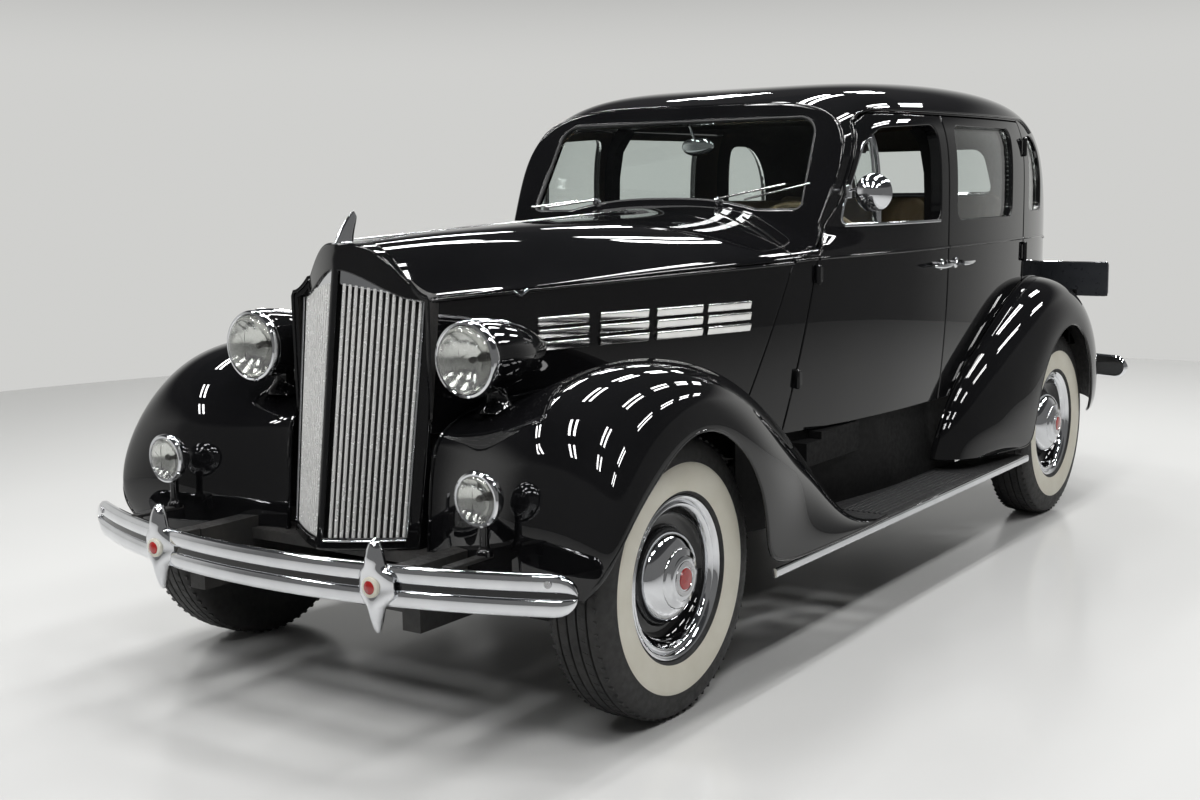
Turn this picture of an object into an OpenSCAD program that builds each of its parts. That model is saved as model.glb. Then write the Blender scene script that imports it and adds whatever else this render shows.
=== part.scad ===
// Four-door touring sedan of the late 1930s.
// Millimetres, +X forward, +Y to the car's left, +Z up, origin on the ground at mid length.

/* [Overall] */
// Distance between the axles
wheelbase = 2921; // [2880:1:2960]
// Front axle to the front of the bumper
front_overhang = 700; // [685:1:720]
// Rear axle to the back of the bumper
rear_overhang = 1150; // [1130:1:1180]
// Half the width over the fenders
half_w = 908; // [895:1:925]

/* [Wheels] */
// Outer radius of a tyre
tyre_r = 372; // [360:1:378]
// Width of a tyre
tyre_w = 178; // [165:1:184]
// Radius of the rim at the tyre bead
rim_r = 214; // [205:1:225]
// Distance between the front wheel centres
front_track = 1490; // [1480:1:1510]
// Distance between the rear wheel centres
rear_track = 1510; // [1500:1:1520]
// Kingpin to wheel centre
scrub = 85; // [80:1:95]
// Radius of the wheel spindles
spindle_r = 20; // [16:1:24]

/* [Body] */
// Front axle to the tail of the body
body_len = 3900; // [3870:1:3930]
// Half the body width at the belt line
body_half_w = 755; // [745:1:765]
// Height of the belt line
belt_z = 1140; // [1130:1:1150]
// Height of the roof
roof_z = 1742; // [1725:1:1760]
// Height of the body's lower edge
sill_z = 585; // [575:1:590]
// Thickness of doors and walls
wall = 40; // [34:1:44]
// Thickness of fender sheet
sheet = 7; // [5:0.5:9]
// Thickness of the hood
hood_t = 14; // [10:1:18]
// Gap round doors and lids
panel_gap = 5; // [4:0.5:6]
// Thickness of window glass
glass_t = 6; // [4:0.5:8]

/* [Doors and windows] */
// Front door's front edge at the bottom, behind the front axle
door_low_d = 975; // [965:1:985]
// Front door's front edge at the belt
door_belt_d = 1112; // [1100:1:1120]
// Seam between front and rear door
mid_seam_d = 1950; // [1940:1:1960]
// Rear edge of the rear door
rear_seam_d = 2800; // [2790:1:2810]
// Lower edge of the side windows
win_low_z = 1232; // [1225:1:1240]
// Upper edge of the side windows
win_top_z = 1568; // [1560:1:1575]
// Upper edge of the doors
door_top_z = 1602; // [1598:1:1606]

/* [Windshield] */
// Foot of the windshield behind the front axle, on the centre line
shield_d = 1222; // [1215:1:1230]
// Height of that foot
shield_z = 1300; // [1295:1:1305]
// Lean of the windshield
shield_rake = 29; // [27:0.5:31]
// Half width of the glass
shield_half_w = 540; // [525:1:550]
// Height of the glass along its slope
shield_h = 305; // [290:1:315]

/* [Front] */
// Front of the hood ahead of the front axle
hood_front_d = 285; // [280:1:290]
// Rear edge of the hood at the belt
hood_rear_d = 1000; // [990:1:1005]
// Height of the hood crest above the belt line
crest_h = 150; // [140:1:155]
// Half width of the grille
grille_half_w = 226; // [220:1:230]
// Lowest edge of the grille
grille_low_z = 452; // [445:1:460]
// Bars on each side of the grille
bar_count = 13; // [9:1:15]
// Headlamp lens radius
lamp_r = 94; // [88:1:98]
// Fog lamp radius
fog_r = 66; // [60:1:70]

/* [Bumpers] */
// Radius of the bumpers' sweep in plan
bumper_r = 1990; // [1900:5:2100]
// Height of the bumper bar
bumper_h = 104; // [95:1:112]
// Height of the bumper's middle
bumper_z = 444; // [440:1:450]
// Half width of the bumpers
bumper_half_w = 862; // [850:1:870]

/* [Hidden] */
front_axle_x = (wheelbase + rear_overhang - front_overhang) / 2;
rear_axle_x = front_axle_x - wheelbase;
overrun = 60;
far = 2400;
fit = 0.3;
seat_gap = 0.3;
running_fit = 0.05;

// Body plan: share of body length, share of the half width
plan_shares = [
  [-0.12, 0.312], [-0.074, 0.318], [0, 0.421], [0.077, 0.546], [0.154, 0.678], [0.218, 0.784],
  [0.256, 0.837], [0.285, 0.872], [0.333, 0.921], [0.41, 0.974], [0.505, 1], [0.615, 1],
  [0.718, 0.966], [0.795, 0.908], [0.859, 0.83], [0.91, 0.735], [0.949, 0.62], [0.974, 0.49],
  [0.991, 0.32], [1, 0.06]];
// Belt line: share of body length, rise in shares of the height from sill to belt
belt_shares = [
  [-0.12, -0.085], [-0.074, -0.082], [0, -0.067], [0.128, -0.036], [0.256, -0.009], [0.31, 0],
  [0.82, 0], [0.859, -0.03], [0.892, -0.11], [0.913, -0.19], [0.936, -0.27], [0.962, -0.36],
  [0.982, -0.47], [0.994, -0.58], [1, -0.68]];
// Roof line: share of body length, rise in shares of the height from belt to roof
roof_shares = [
  [0.2, 0.6], [0.31, 0.73], [0.359, 0.832], [0.385, 0.895], [0.423, 0.946], [0.487, 0.983],
  [0.59, 1], [0.692, 0.988], [0.769, 0.95], [0.82, 0.885], [0.855, 0.77], [0.882, 0.61],
  [0.905, 0.4], [0.925, 0.19], [0.942, 0.055], [0.962, -0.04], [0.982, -0.17], [0.994, -0.33],
  [1, -0.46]];
// Squareness of the roof section, share of body length first
square_shares = [[0.2, 5.5], [0.31, 5.4], [0.359, 5.2], [0.41, 5.2], [0.505, 5.2], [0.72, 5.4],
  [0.82, 5.2], [0.88, 4], [0.94, 2.4], [1, 2.2]];
// Inset of the pillars from the belt, share of body length first
flare_shares = [[0.2, 0.075], [0.285, 0.075], [0.32, 0.065], [0.359, 0.032], [0.41, 0.005], [0.46, 0],
  [1, 0]];
// Hood crest: share of body length, rise in shares of crest height
crest_shares = [[-0.12, 0.62], [-0.074, 0.65], [0, 0.765], [0.128, 0.885], [0.256, 0.965], [0.315, 1.14],
  [0.34, 1.3]];
// Yoke share of the hood section, share of body length first
yoke_shares = [[-0.12, 1], [-0.074, 1], [0.02, 0.75], [0.13, 0.45], [0.256, 0.25], [0.34, 0.2]];
tuck_share = 0.045;
flare_h = 110;

function px(d) = front_axle_x - d;
function row_at(t, table, i = 0) =
  i >= len(table) - 2 || t < table[i + 1][0] ? i : row_at(t, table, i + 1);
function slope_at(table, i, k) =
  let (a = max(i - 1, 0), b = min(i + 1, len(table) - 1))
  (table[b][k] - table[a][k]) / (table[b][0] - table[a][0]);
function read_at(t, table, k = 1) =
  let (i = row_at(t, table),
       h = table[i + 1][0] - table[i][0],
       u = min(max((t - table[i][0]) / h, 0), 1),
       v = 1 - u)
  v * v * (1 + 2 * u) * table[i][k] + u * u * (3 - 2 * u) * table[i + 1][k]
  + h * u * v * (v * slope_at(table, i, k) - u * slope_at(table, i + 1, k));
function smooth(t) = let (c = min(max(t, 0), 1)) c * c * (3 - 2 * c);

function plan(d) = body_half_w * read_at(d / body_len, plan_shares);
function belt(d) = belt_z + (belt_z - sill_z) * read_at(d / body_len, belt_shares);
function roof(d) = belt_z + (roof_z - belt_z) * read_at(d / body_len, roof_shares);
function crest(d) = belt_z + crest_h * read_at(d / body_len, crest_shares);
function squareness(d) = read_at(d / body_len, square_shares);
function flare(d) = body_half_w * read_at(d / body_len, flare_shares);
function yoke(d) = read_at(d / body_len, yoke_shares);

// Height field of the body side below the belt
function side_y(d, z) =
  let (k = (belt(d) - z) / (belt_z - sill_z))
  plan(d) * (1 - tuck_share * k * abs(k));

side_steps = [0, 0.25, 0.5, 0.75];
arch_steps = [0 : 0.1 : 1];
// Half section of cabin, from the lower edge up to the roof's middle
function cabin_half(d, inset, low) =
  let (zb = belt(d), w = max(plan(d) - inset, fit), q = squareness(d), rise = roof(d) - inset - zb,
       fl = flare(d))
  concat(
    [for (k = side_steps)
      let (z = low + (zb - low) * k, g = (zb - z) / (belt_z - sill_z))
      [w * (1 - tuck_share * g * g), z]],
    [for (k = arch_steps)
      let (a = 90 * k, r = pow(pow(cos(a), q) + pow(sin(a), q), 1 / q),
           z = max(rise, fit) * sin(a) / r)
      [max(w - fl * smooth(z / flare_h), fit * 0.5) * cos(a) / r, zb + z]]);
hood_steps = [1, 0.93, 0.85, 0.75, 0.62, 0.48, 0.32, 0.16, 0];
// Half section of hood and cowl
function hood_half(d, inset, low) =
  let (zb = belt(d), w = plan(d) - inset, rise = crest(d) - inset - zb, y = yoke(d))
  concat(
    [for (k = side_steps)
      let (z = low + (zb - low) * k, g = (zb - z) / (belt_z - sill_z))
      [w * (1 - tuck_share * g * g), z]],
    [for (s = hood_steps)
      [w * s, zb + rise * (y * (1 + cos(180 * pow(s, 1.5))) / 2
        + (1 - y) * pow(max(1 - pow(s, 2.4), 0), 0.62))]]);
function ring(d, half) = concat(
  [for (p = half) [px(d), -p[0], p[1]]],
  [for (i = [len(half) - 2 : -1 : 0]) [px(d), half[i][0], half[i][1]]]);

// Solid through closed rings of equally many points
module loft(rings) {
  n = len(rings[0]);
  m = len(rings);
  polyhedron(
    points = [for (r = rings) each r],
    faces = concat(
      [[for (j = [0 : n - 1]) j]],
      [for (i = [0 : m - 2], j = [0 : n - 1])
        each [[i * n + j, (i + 1) * n + j, i * n + (j + 1) % n],
              [i * n + (j + 1) % n, (i + 1) * n + j, (i + 1) * n + (j + 1) % n]]],
      [[for (j = [n - 1 : -1 : 0]) (m - 1) * n + j]]),
    convexity = 8);
}
// Curved sheet metal is kept as one facetted mesh
module pressed() {
  resize([0, 0, 0]) children();
}
// Outline in the side view, taken across the car from y0 to y1
module side_prism(y0, y1) {
  translate([0, y1, 0]) rotate([90, 0, 0]) linear_extrude(y1 - y0, convexity = 6) children();
}
// Outline in the end view, taken along the car from x0 to x1
module end_prism(x0, x1) {
  translate([x0, 0, 0]) rotate([90, 0, 90]) linear_extrude(x1 - x0, convexity = 6) children();
}
// Same piece on the left and the right
module both_sides() {
  children();
  mirror([0, 1, 0]) children();
}

station_shares = [0.205, 0.24, 0.285, 0.31, 0.335, 0.36, 0.385, 0.42, 0.46, 0.51, 0.57, 0.63, 0.69, 0.73,
  0.77, 0.8, 0.825, 0.85, 0.872, 0.892, 0.912, 0.935, 0.957, 0.975, 0.988, 0.996, 1];
module cabin(inset, low = sill_z) {
  end = body_len - inset;
  loft([for (s = station_shares)
    let (d = min(s * body_len, end))
    if (s * body_len < end || s == 1) ring(d, cabin_half(d, inset, low))]);
}
module cabin_skin(outer = 0, inner = wall) {
  difference() {
    cabin(outer);
    cabin(inner, sill_z - overrun);
  }
}
hood_station_shares = [-0.073, -0.04, 0, 0.04, 0.08, 0.12, 0.16, 0.2, 0.235, 0.256, 0.285, 0.31, 0.335];
side_low_z = 740;
cowl_low_z = 600;
module hood_body(inset, low) {
  loft([for (s = hood_station_shares) ring(s * body_len, hood_half(s * body_len, inset, low))]);
}
module hood_skin(inner, low) {
  difference() {
    hood_body(0, low);
    translate([overrun * (inner > 0 ? 0 : 1), 0, 0]) hood_body(inner, low - overrun);
  }
}

// Outlines in the side view
shield_tan = tan(shield_rake);
function shield_at(z) = shield_d + (z - shield_z) * shield_tan;
post_w = 52;
module door_front_outline() {
  polygon([
    [px(door_low_d), sill_z], [px(door_belt_d), belt_z],
    [px(shield_at(shield_z) + post_w), shield_z],
    [px(shield_at(win_top_z) + post_w), win_top_z],
    [px(shield_at(door_top_z) + post_w * 2), door_top_z],
    [px(mid_seam_d), door_top_z], [px(mid_seam_d), sill_z]]);
}
// Line where the rear fender meets the body: shares of its length and height
rear_line_shares = [[0, 0.369], [0.023, 0.492], [0.064, 0.605], [0.134, 0.708], [0.227, 0.805],
  [0.331, 0.892], [0.436, 0.964], [0.541, 1], [0.645, 0.99], [0.75, 0.944], [0.855, 0.851],
  [0.936, 0.718], [0.983, 0.554], [1, 0.431]];
rear_edge_shares = [[0.174, 0.361], [0.262, 0.361], [0.305, 0.374], [0.32, 0.472], [0.352, 0.6],
  [0.413, 0.718], [0.483, 0.785], [0.549, 0.806], [0.613, 0.788], [0.672, 0.723], [0.721, 0.615],
  [0.75, 0.492], [0.76, 0.41], [0.797, 0.388]];
rear_fender_d = 1955;
rear_fender_len = 1715;
rear_fender_h = 975;
fender_gap = 6;
line_count = len(rear_line_shares);
function on_row(u, table, k) = read_at(u, [for (i = [0 : len(table) - 1]) [i, table[i][k]]]);
rear_steps = 22;
function rear_line(u) = [
  rear_fender_d + rear_fender_len * on_row(u, rear_line_shares, 0),
  rear_fender_h * on_row(u, rear_line_shares, 1)];
function rear_edge(u) = [
  rear_fender_d + rear_fender_len * on_row(u, rear_edge_shares, 0),
  rear_fender_h * on_row(u, rear_edge_shares, 1)];
module rear_fender_outline() {
  line = [for (i = [0 : rear_steps]) rear_line(i / rear_steps * (line_count - 1))];
  polygon(concat(
    [for (p = line) [px(p[0]), p[1]]],
    [[px(line[rear_steps][0]), -overrun], [px(line[0][0]), -overrun]]));
}
module door_rear_outline() {
  difference() {
    polygon([[px(mid_seam_d), sill_z], [px(mid_seam_d), door_top_z], [px(rear_seam_d), door_top_z],
      [px(rear_seam_d), sill_z]]);
    offset(delta = fender_gap) rear_fender_outline();
  }
}
win_r = 45;
vent_d = 1472;
vent_top_z = 1500;
win_front_d = 1284;
win_mid_front_d = 1965;
module rounded(r) {
  offset(r = r, $fn = 24) offset(delta = -r) children();
}
module window_front_outline() {
  rounded(win_r) polygon([
    [px(win_front_d), win_low_z], [px(shield_at(shield_z) + post_w * 1.5), shield_z],
    [px(shield_at(vent_top_z) + post_w * 1.55), vent_top_z],
    [px(vent_d + wall * 1.4), win_top_z - wall * 0.4],
    [px(win_mid_front_d - wall * 2), win_top_z], [px(win_mid_front_d - wall * 2), win_low_z]]);
}
module window_rear_outline() {
  rounded(win_r) polygon([
    [px(mid_seam_d + wall * 2), win_low_z], [px(mid_seam_d + wall * 2), win_top_z],
    [px(rear_seam_d - wall * 4.2), win_top_z], [px(rear_seam_d - wall * 4.4), win_low_z]]);
}
quarter_front_d = 2890;
quarter_rear_d = 3160;
quarter_low_z = 1245;
quarter_top_z = 1548;
arch_in = 80;
arch_foot = 70;
module window_quarter_outline() {
  rounded(win_r * 0.8) polygon(concat(
    [[px(quarter_front_d), quarter_low_z], [px(quarter_front_d), quarter_top_z]],
    [for (a = [0 : 15 : 90]) [
      px(quarter_front_d + arch_in + (quarter_rear_d - quarter_front_d - arch_in) * sin(a)),
      quarter_low_z + arch_foot + (quarter_top_z - quarter_low_z - arch_foot) * cos(a)]],
    [[px(quarter_rear_d), quarter_low_z]]));
}

// Flat of the windshield as children laid on it, X across, Y up the slope, Z outward
module on_shield() {
  translate([px(shield_d), 0, shield_z])
    multmatrix([[0, -sin(shield_rake), cos(shield_rake), 0], [1, 0, 0, 0],
      [0, cos(shield_rake), sin(shield_rake), 0], [0, 0, 0, 1]])
    children();
}
module shield_outline() {
  rounded(win_r * 1.5) polygon([
    [-shield_half_w, 0], [shield_half_w, 0], [shield_half_w - wall / 2, shield_h],
    [-shield_half_w + wall / 2, shield_h]]);
}
// Everything behind the flat of the windshield
module behind_shield(back = 0) {
  side_prism(-far, far) polygon([
    [px(shield_at(0) + back), 0], [px(shield_at(far) + back), far], [px(body_len * 2), far],
    [px(body_len * 2), 0]]);
}

// Chassis
rail_y = 360;
rail_w = 58;
rail_low_z = 300;
rail_h = 170;
cross_h = 30;
gear_cross_d = 1330;
rail_front_d = -545;
rail_rear_d = 3640;
kick_front_d = 2420;
kick_rear_d = 2640;
kick_h = 150;
cross_w = 80;
board_z = 292;
board_t = 28;
board_in_y = 690;
board_arm_ds = [1250, 1880];
jack_d = 1500;
jack_h = 15;
splash_y = rail_y + rail_w;
module chassis_frame() {
  color("dimgray") {
    both_sides() side_prism(rail_y, rail_y + rail_w) polygon([
      [px(rail_front_d), rail_low_z], [px(kick_front_d), rail_low_z],
      [px(kick_rear_d), rail_low_z + kick_h], [px(rail_rear_d), rail_low_z + kick_h],
      [px(rail_rear_d), rail_low_z + kick_h + rail_h], [px(kick_rear_d), rail_low_z + kick_h + rail_h],
      [px(kick_front_d), rail_low_z + rail_h], [px(rail_front_d), rail_low_z + rail_h]]);
    for (d = [rail_front_d + cross_w * 2, cross_w * 2, gear_cross_d, mid_seam_d, kick_front_d - cross_w])
      translate([px(d) - cross_w / 2, -rail_y - rail_w / 2, rail_low_z])
        cube([cross_w, rail_y * 2 + rail_w, cross_h]);
    translate([px(rail_rear_d), -rail_y - rail_w / 2, rail_low_z + kick_h])
      cube([cross_w, rail_y * 2 + rail_w, cross_h]);
    translate([px(-hood_front_d) - cross_h, -rail_y - rail_w / 2, shell_low_z - seat_gap - cross_h])
      cube([cross_w * 1.4, rail_y * 2 + rail_w, cross_h]);
    both_sides() for (d = board_arm_ds)
      translate([px(d) - cross_w / 2, rail_y + rail_w / 2, board_z - rail_w / 2 - seat_gap])
        cube([cross_w, half_w - rail_y - rail_w * 2, rail_w / 2]);
    both_sides() for (d = board_arm_ds)
      translate([px(d) - cross_w / 2, rail_y + rail_w / 2, board_z - rail_w / 2 - seat_gap])
        cube([cross_w, rail_w, rail_low_z + rail_h / 2 - board_z + rail_w / 2]);
    both_sides() translate([px(jack_d) - cross_w / 2, rail_y, rail_low_z - jack_h])
      cube([cross_w, rail_w, jack_h + cross_h]);
  }
}
engine_front_d = -120;
engine_rear_d = 720;
engine_half_w = 190;
engine_low_z = rail_low_z + cross_h + seat_gap;
engine_h = 520;
mount_h = 40;
gearbox_rear_d = 1240;
gearbox_half_w = 130;
gearbox_h = 130;
module engine_block() {
  color("gray") {
    translate([px(engine_rear_d), -engine_half_w, engine_low_z])
      cube([engine_rear_d - engine_front_d, engine_half_w * 2, engine_h]);
    translate([px(gearbox_rear_d), -gearbox_half_w, engine_low_z])
      cube([gearbox_rear_d - engine_rear_d + mount_h, gearbox_half_w * 2, gearbox_h]);
    both_sides() translate([px(engine_front_d + cross_w * 2), engine_half_w - mount_h, engine_low_z + mount_h])
      cube([cross_w, rail_y - engine_half_w + mount_h - seat_gap, mount_h]);
  }
}
shaft_r = 36;
diff_r = 130;
pinion_share = 1.2;
axle_r = 42;
axle_z = tyre_r;
brake_r = 134;
brake_w = 50;
rear_hub_y = rear_track / 2;
wheel_in = 60;
module prop_shaft() {
  color("silver")
    translate([rear_axle_x + diff_r * pinion_share + seat_gap, 0, axle_z]) rotate([0, 90, 0])
    cylinder(h = px(gearbox_rear_d) - rear_axle_x - diff_r * pinion_share - seat_gap * 2, r = shaft_r);
}
module rear_axle() {
  color("dimgray") translate([rear_axle_x, 0, axle_z]) {
    sphere(r = diff_r, $fa = 6);
    translate([diff_r * 0.5, 0, 0]) rotate([0, 90, 0]) cylinder(h = diff_r * (pinion_share - 0.5), r = shaft_r * 1.6);
    rotate([90, 0, 0]) cylinder(h = (rear_hub_y - wheel_in) * 2, r = axle_r, center = true);
    rotate([90, 0, 0]) cylinder(h = rear_hub_y * 2, r = spindle_r, center = true);
    both_sides() translate([0, rear_hub_y - wheel_in, 0]) rotate([90, 0, 0])
      cylinder(h = brake_w, r = brake_r);
  }
}
spring_y = 530;
spring_w = 55;
spring_t = 34;
spring_half = 455;
spring_drop = 70;
shackle_h = 200;
module leaf_springs() {
  color("black") both_sides() {
    side_prism(spring_y, spring_y + spring_w) polygon(concat(
      [for (k = [-1 : 0.25 : 1]) [rear_axle_x + spring_half * k, axle_z + axle_r + seat_gap
        + spring_drop * k * k]],
      [for (k = [1 : -0.25 : -1]) [rear_axle_x + spring_half * k, axle_z + axle_r + seat_gap + spring_t
        + spring_drop * k * k]]));
    for (k = [-1, 1])
      translate([rear_axle_x + (spring_half - spring_t / 2) * k - spring_t / 2, rail_y + rail_w + seat_gap,
        axle_z + axle_r + spring_drop])
        cube([spring_t, spring_y + spring_w - rail_y - rail_w - seat_gap, spring_t]);
  }
}
pipe_r = 24;
muffler_r = 56;
muffler_d = 1500;
muffler_len = 560;
pipe_y = 200;
pipe_z = 240;
pipe_front_d = 620;
pipe_rear_d = 2620;
module exhaust() {
  color("silver") translate([0, -pipe_y, pipe_z]) {
    translate([px(pipe_rear_d), 0, 0]) rotate([0, 90, 0])
      cylinder(h = pipe_rear_d - pipe_front_d, r = pipe_r);
    translate([px(muffler_d + muffler_len), 0, 0]) rotate([0, 90, 0])
      cylinder(h = muffler_len, r = muffler_r);
    translate([px(mid_seam_d) - cross_w / 4, -pipe_r, 0])
      cube([cross_w / 2, pipe_r * 2, rail_low_z - pipe_z - seat_gap]);
    translate([px(gear_cross_d) - cross_w / 4, -pipe_r, 0])
      cube([cross_w / 2, pipe_r * 2, rail_low_z - pipe_z - seat_gap]);
  }
}
tank_front_d = 3150;
tank_rear_d = rail_rear_d - cross_w * 1.5;
tank_h = 170;
module fuel_tank() {
  color("gray") translate([px(tank_rear_d), -rail_y + seat_gap, rail_low_z + kick_h - tank_h / 2])
    cube([tank_rear_d - tank_front_d, rail_y * 2 - seat_gap * 2, tank_h]);
}
king_y = front_track / 2 - scrub;
king_r = 26;
king_low_z = 235;
king_top_z = 520;
arm_t = 30;
arm_w = 70;
arm_y = splash_y + sheet + seat_gap * 2;
module front_suspension() {
  color("dimgray") {
    translate([front_axle_x - cross_w * 1.2, -rail_y - rail_w, king_low_z])
      cube([cross_w * 2.4, (rail_y + rail_w) * 2, rail_low_z - king_low_z - seat_gap]);
    both_sides() {
      translate([front_axle_x - arm_w / 2, rail_y, king_low_z - seat_gap - arm_t])
        cube([arm_w, king_y + king_r - rail_y, arm_t]);
      translate([front_axle_x - arm_w / 2, rail_y, king_low_z - seat_gap - arm_t])
        cube([arm_w, rail_w, arm_t * 2]);
      translate([front_axle_x - arm_w / 2, arm_y, king_top_z + seat_gap])
        cube([arm_w, king_y + king_r - arm_y, arm_t]);
      translate([front_axle_x - arm_w / 2, arm_y, rail_low_z])
        cube([arm_w, arm_t, king_top_z - rail_low_z + arm_t]);
    }
  }
}
front_hub_y = front_track / 2;
module knuckle_shape() {
  translate([front_axle_x, king_y, king_low_z]) cylinder(h = king_top_z - king_low_z, r = king_r);
  translate([front_axle_x, king_y, axle_z]) rotate([-90, 0, 0])
    cylinder(h = front_hub_y - king_y, r = spindle_r);
  translate([front_axle_x, king_y, axle_z]) rotate([-90, 0, 0])
    cylinder(h = scrub - wheel_in, r = brake_r);
}
module knuckle_left() {
  color("dimgray") knuckle_shape();
}
module knuckle_right() {
  color("dimgray") mirror([0, 1, 0]) knuckle_shape();
}

// Wheels
tread_share = 0.74;
bead_share = 0.72;
shoulder = 34;
tread_drop = 7;
module tyre_at(x, y) {
  translate([x, y, axle_z]) rotate([90, 0, 0]) rotate_extrude($fa = 4) polygon([
    [rim_r, -tyre_w * bead_share / 2], [rim_r + shoulder, -tyre_w * 0.48],
    [rim_r + shoulder * 2, -tyre_w / 2], [tyre_r - shoulder * 1.6, -tyre_w * 0.485],
    [tyre_r - shoulder * 0.6, -tyre_w * 0.44], [tyre_r - tread_drop, -tyre_w * tread_share / 2],
    [tyre_r, -tyre_w * tread_share / 4], [tyre_r, tyre_w * tread_share / 4],
    [tyre_r - tread_drop, tyre_w * tread_share / 2], [tyre_r - shoulder * 0.6, tyre_w * 0.44],
    [tyre_r - shoulder * 1.6, tyre_w * 0.485], [rim_r + shoulder * 2, tyre_w / 2],
    [rim_r + shoulder, tyre_w * 0.48], [rim_r, tyre_w * bead_share / 2]]);
}
flange_r = 226;
cap_r = 128;
cap_bulge = 58;
disc_y = 22;
disc_t = 12;
rim_t = 12;
hub_r = 44;
// Wheel turned about its own axis, outside up
module wheel_shape() {
  difference() {
    rotate_extrude($fa = 4) polygon([
      [0, -wheel_in + disc_t * 2], [hub_r, -wheel_in + disc_t * 2], [hub_r, disc_y - disc_t],
      [cap_r, disc_y], [rim_r - rim_t * 2, -disc_y], [rim_r - rim_t * 2, -tyre_w * bead_share / 2],
      [rim_r - seat_gap, -tyre_w * bead_share / 2], [rim_r - seat_gap, tyre_w * bead_share / 2],
      [rim_r - rim_t, tyre_w * bead_share / 2 + rim_t * 0.8], [rim_r - rim_t * 2.5, tyre_w * bead_share / 2],
      [cap_r * 1.15, disc_y + disc_t * 2], [cap_r, disc_y + disc_t * 2.6],
      [cap_r * 0.94, disc_y + disc_t * 4], [cap_r * 0.6, disc_y + cap_bulge],
      [cap_r * 0.5, disc_y + cap_bulge * 1.14], [0, disc_y + cap_bulge * 1.3]]);
    translate([0, 0, -wheel_in - overrun])
      cylinder(h = wheel_in + overrun + seat_gap, r = spindle_r + running_fit);
  }
}
module wheel_at(x, y, side) {
  translate([x, y * side, axle_z]) rotate([-90 * side, 0, 0]) wheel_shape();
}
module tyre_front_left() {
  color("black") tyre_at(front_axle_x, front_hub_y);
}
module tyre_front_right() {
  color("black") tyre_at(front_axle_x, -front_hub_y);
}
module tyre_rear_left() {
  color("black") tyre_at(rear_axle_x, rear_hub_y);
}
module tyre_rear_right() {
  color("black") tyre_at(rear_axle_x, -rear_hub_y);
}
module wheel_front_left() {
  color("black") wheel_at(front_axle_x, front_hub_y, 1);
}
module wheel_front_right() {
  color("black") wheel_at(front_axle_x, front_hub_y, -1);
}
module wheel_rear_left() {
  color("black") wheel_at(rear_axle_x, rear_hub_y, 1);
}
module wheel_rear_right() {
  color("black") wheel_at(rear_axle_x, rear_hub_y, -1);
}

// Fenders
front_fender_d = -505;
front_fender_len = 1680;
front_fender_h = 932;
// Crown, outer edge and inner edge: shares of length, height and half width
crown_shares = [[0.0565, 0.43, 0.705], [0.054, 0.537, 0.705], [0.057, 0.665, 0.71], [0.08, 0.794, 0.721],
  [0.131, 0.907, 0.732], [0.214, 0.982, 0.743], [0.3125, 1, 0.749], [0.412, 0.98, 0.753],
  [0.508, 0.92, 0.757], [0.598, 0.832, 0.764], [0.688, 0.728, 0.771], [0.766, 0.62, 0.779],
  [0.822, 0.502, 0.786], [0.858, 0.408, 0.793], [0.9, 0.358, 0.806]];
edge_shares = [[0.0714, 0.43, 0.88], [0.0625, 0.494, 0.953], [0.0774, 0.579, 0.991], [0.116, 0.66, 1],
  [0.173, 0.735, 1], [0.241, 0.805, 1], [0.3125, 0.82, 1], [0.378, 0.778, 1], [0.4375, 0.697, 1],
  [0.48, 0.579, 1], [0.494, 0.461, 1], [0.508, 0.365, 1], [0.66, 0.352, 1], [0.815, 0.352, 1],
  [0.97, 0.352, 0.99]];
inner_shares = [[0.104, 0.45, 0.28], [0.109, 0.537, 0.28], [0.115, 0.644, 0.281], [0.122, 0.74, 0.285],
  [0.14, 0.807, 0.298], [0.2, 0.853, 0.327], [0.3125, 0.878, 0.369], [0.432, 0.888, 0.44],
  [0.535, 0.868, 0.505], [0.625, 0.812, 0.575], [0.706, 0.728, 0.632], [0.776, 0.62, 0.672],
  [0.827, 0.504, 0.7], [0.862, 0.412, 0.718], [0.9, 0.358, 0.73]];
front_rows = len(crown_shares) - 1;
front_steps = 24;
function front_point(u, table) = [
  px(front_fender_d + front_fender_len * on_row(u, table, 0)),
  half_w * on_row(u, table, 2),
  front_fender_h * on_row(u, table, 1)];
round_n = 2.3;
// From crown c to edge e: level at the crown, steep at the edge
function over_to(c, e, k) =
  let (a = pow(sin(90 * k), 2 / round_n), b = 1 - pow(cos(90 * k), 2 / round_n))
  [c[0] + (e[0] - c[0]) * b, c[1] + (e[1] - c[1]) * a, c[2] + (e[2] - c[2]) * b];
// From crown c to inner edge e: level at both
function down_to(c, e, k) =
  let (a = k, b = smooth(k))
  [c[0] + (e[0] - c[0]) * b, c[1] + (e[1] - c[1]) * a, c[2] + (e[2] - c[2]) * b];
inner_steps = [1, 0.8, 0.6, 0.4, 0.2];
outer_steps = [0, 0.2, 0.4, 0.55, 0.7, 0.85, 1];
function front_row(u) =
  let (c = front_point(u, crown_shares), e = front_point(u, edge_shares), i = front_point(u, inner_shares))
  concat([for (k = inner_steps) down_to(c, i, k)], [for (k = outer_steps) over_to(c, e, k)]);
rear_out_y = 905;
rear_wide_shares = [0.93, 0.975, 0.99, 1, 1, 1, 1, 1, 1, 1, 0.995, 0.985, 0.97, 0.94];
rear_over_steps = [0, 0.12, 0.25, 0.38, 0.5, 0.62, 0.74, 0.87, 1];
function rear_row(u) =
  let (l = rear_line(u), e = rear_edge(u),
       c = [px(l[0]), side_y(l[0], l[1]), l[1]],
       o = [px(e[0]), rear_out_y * read_at(u, [for (i = [0 : line_count - 1]) [i, rear_wide_shares[i]]]),
            e[1]])
  [for (k = rear_over_steps) over_to(c, o, k)];
function unit(v) = v / max(norm(v), fit / far);
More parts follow.
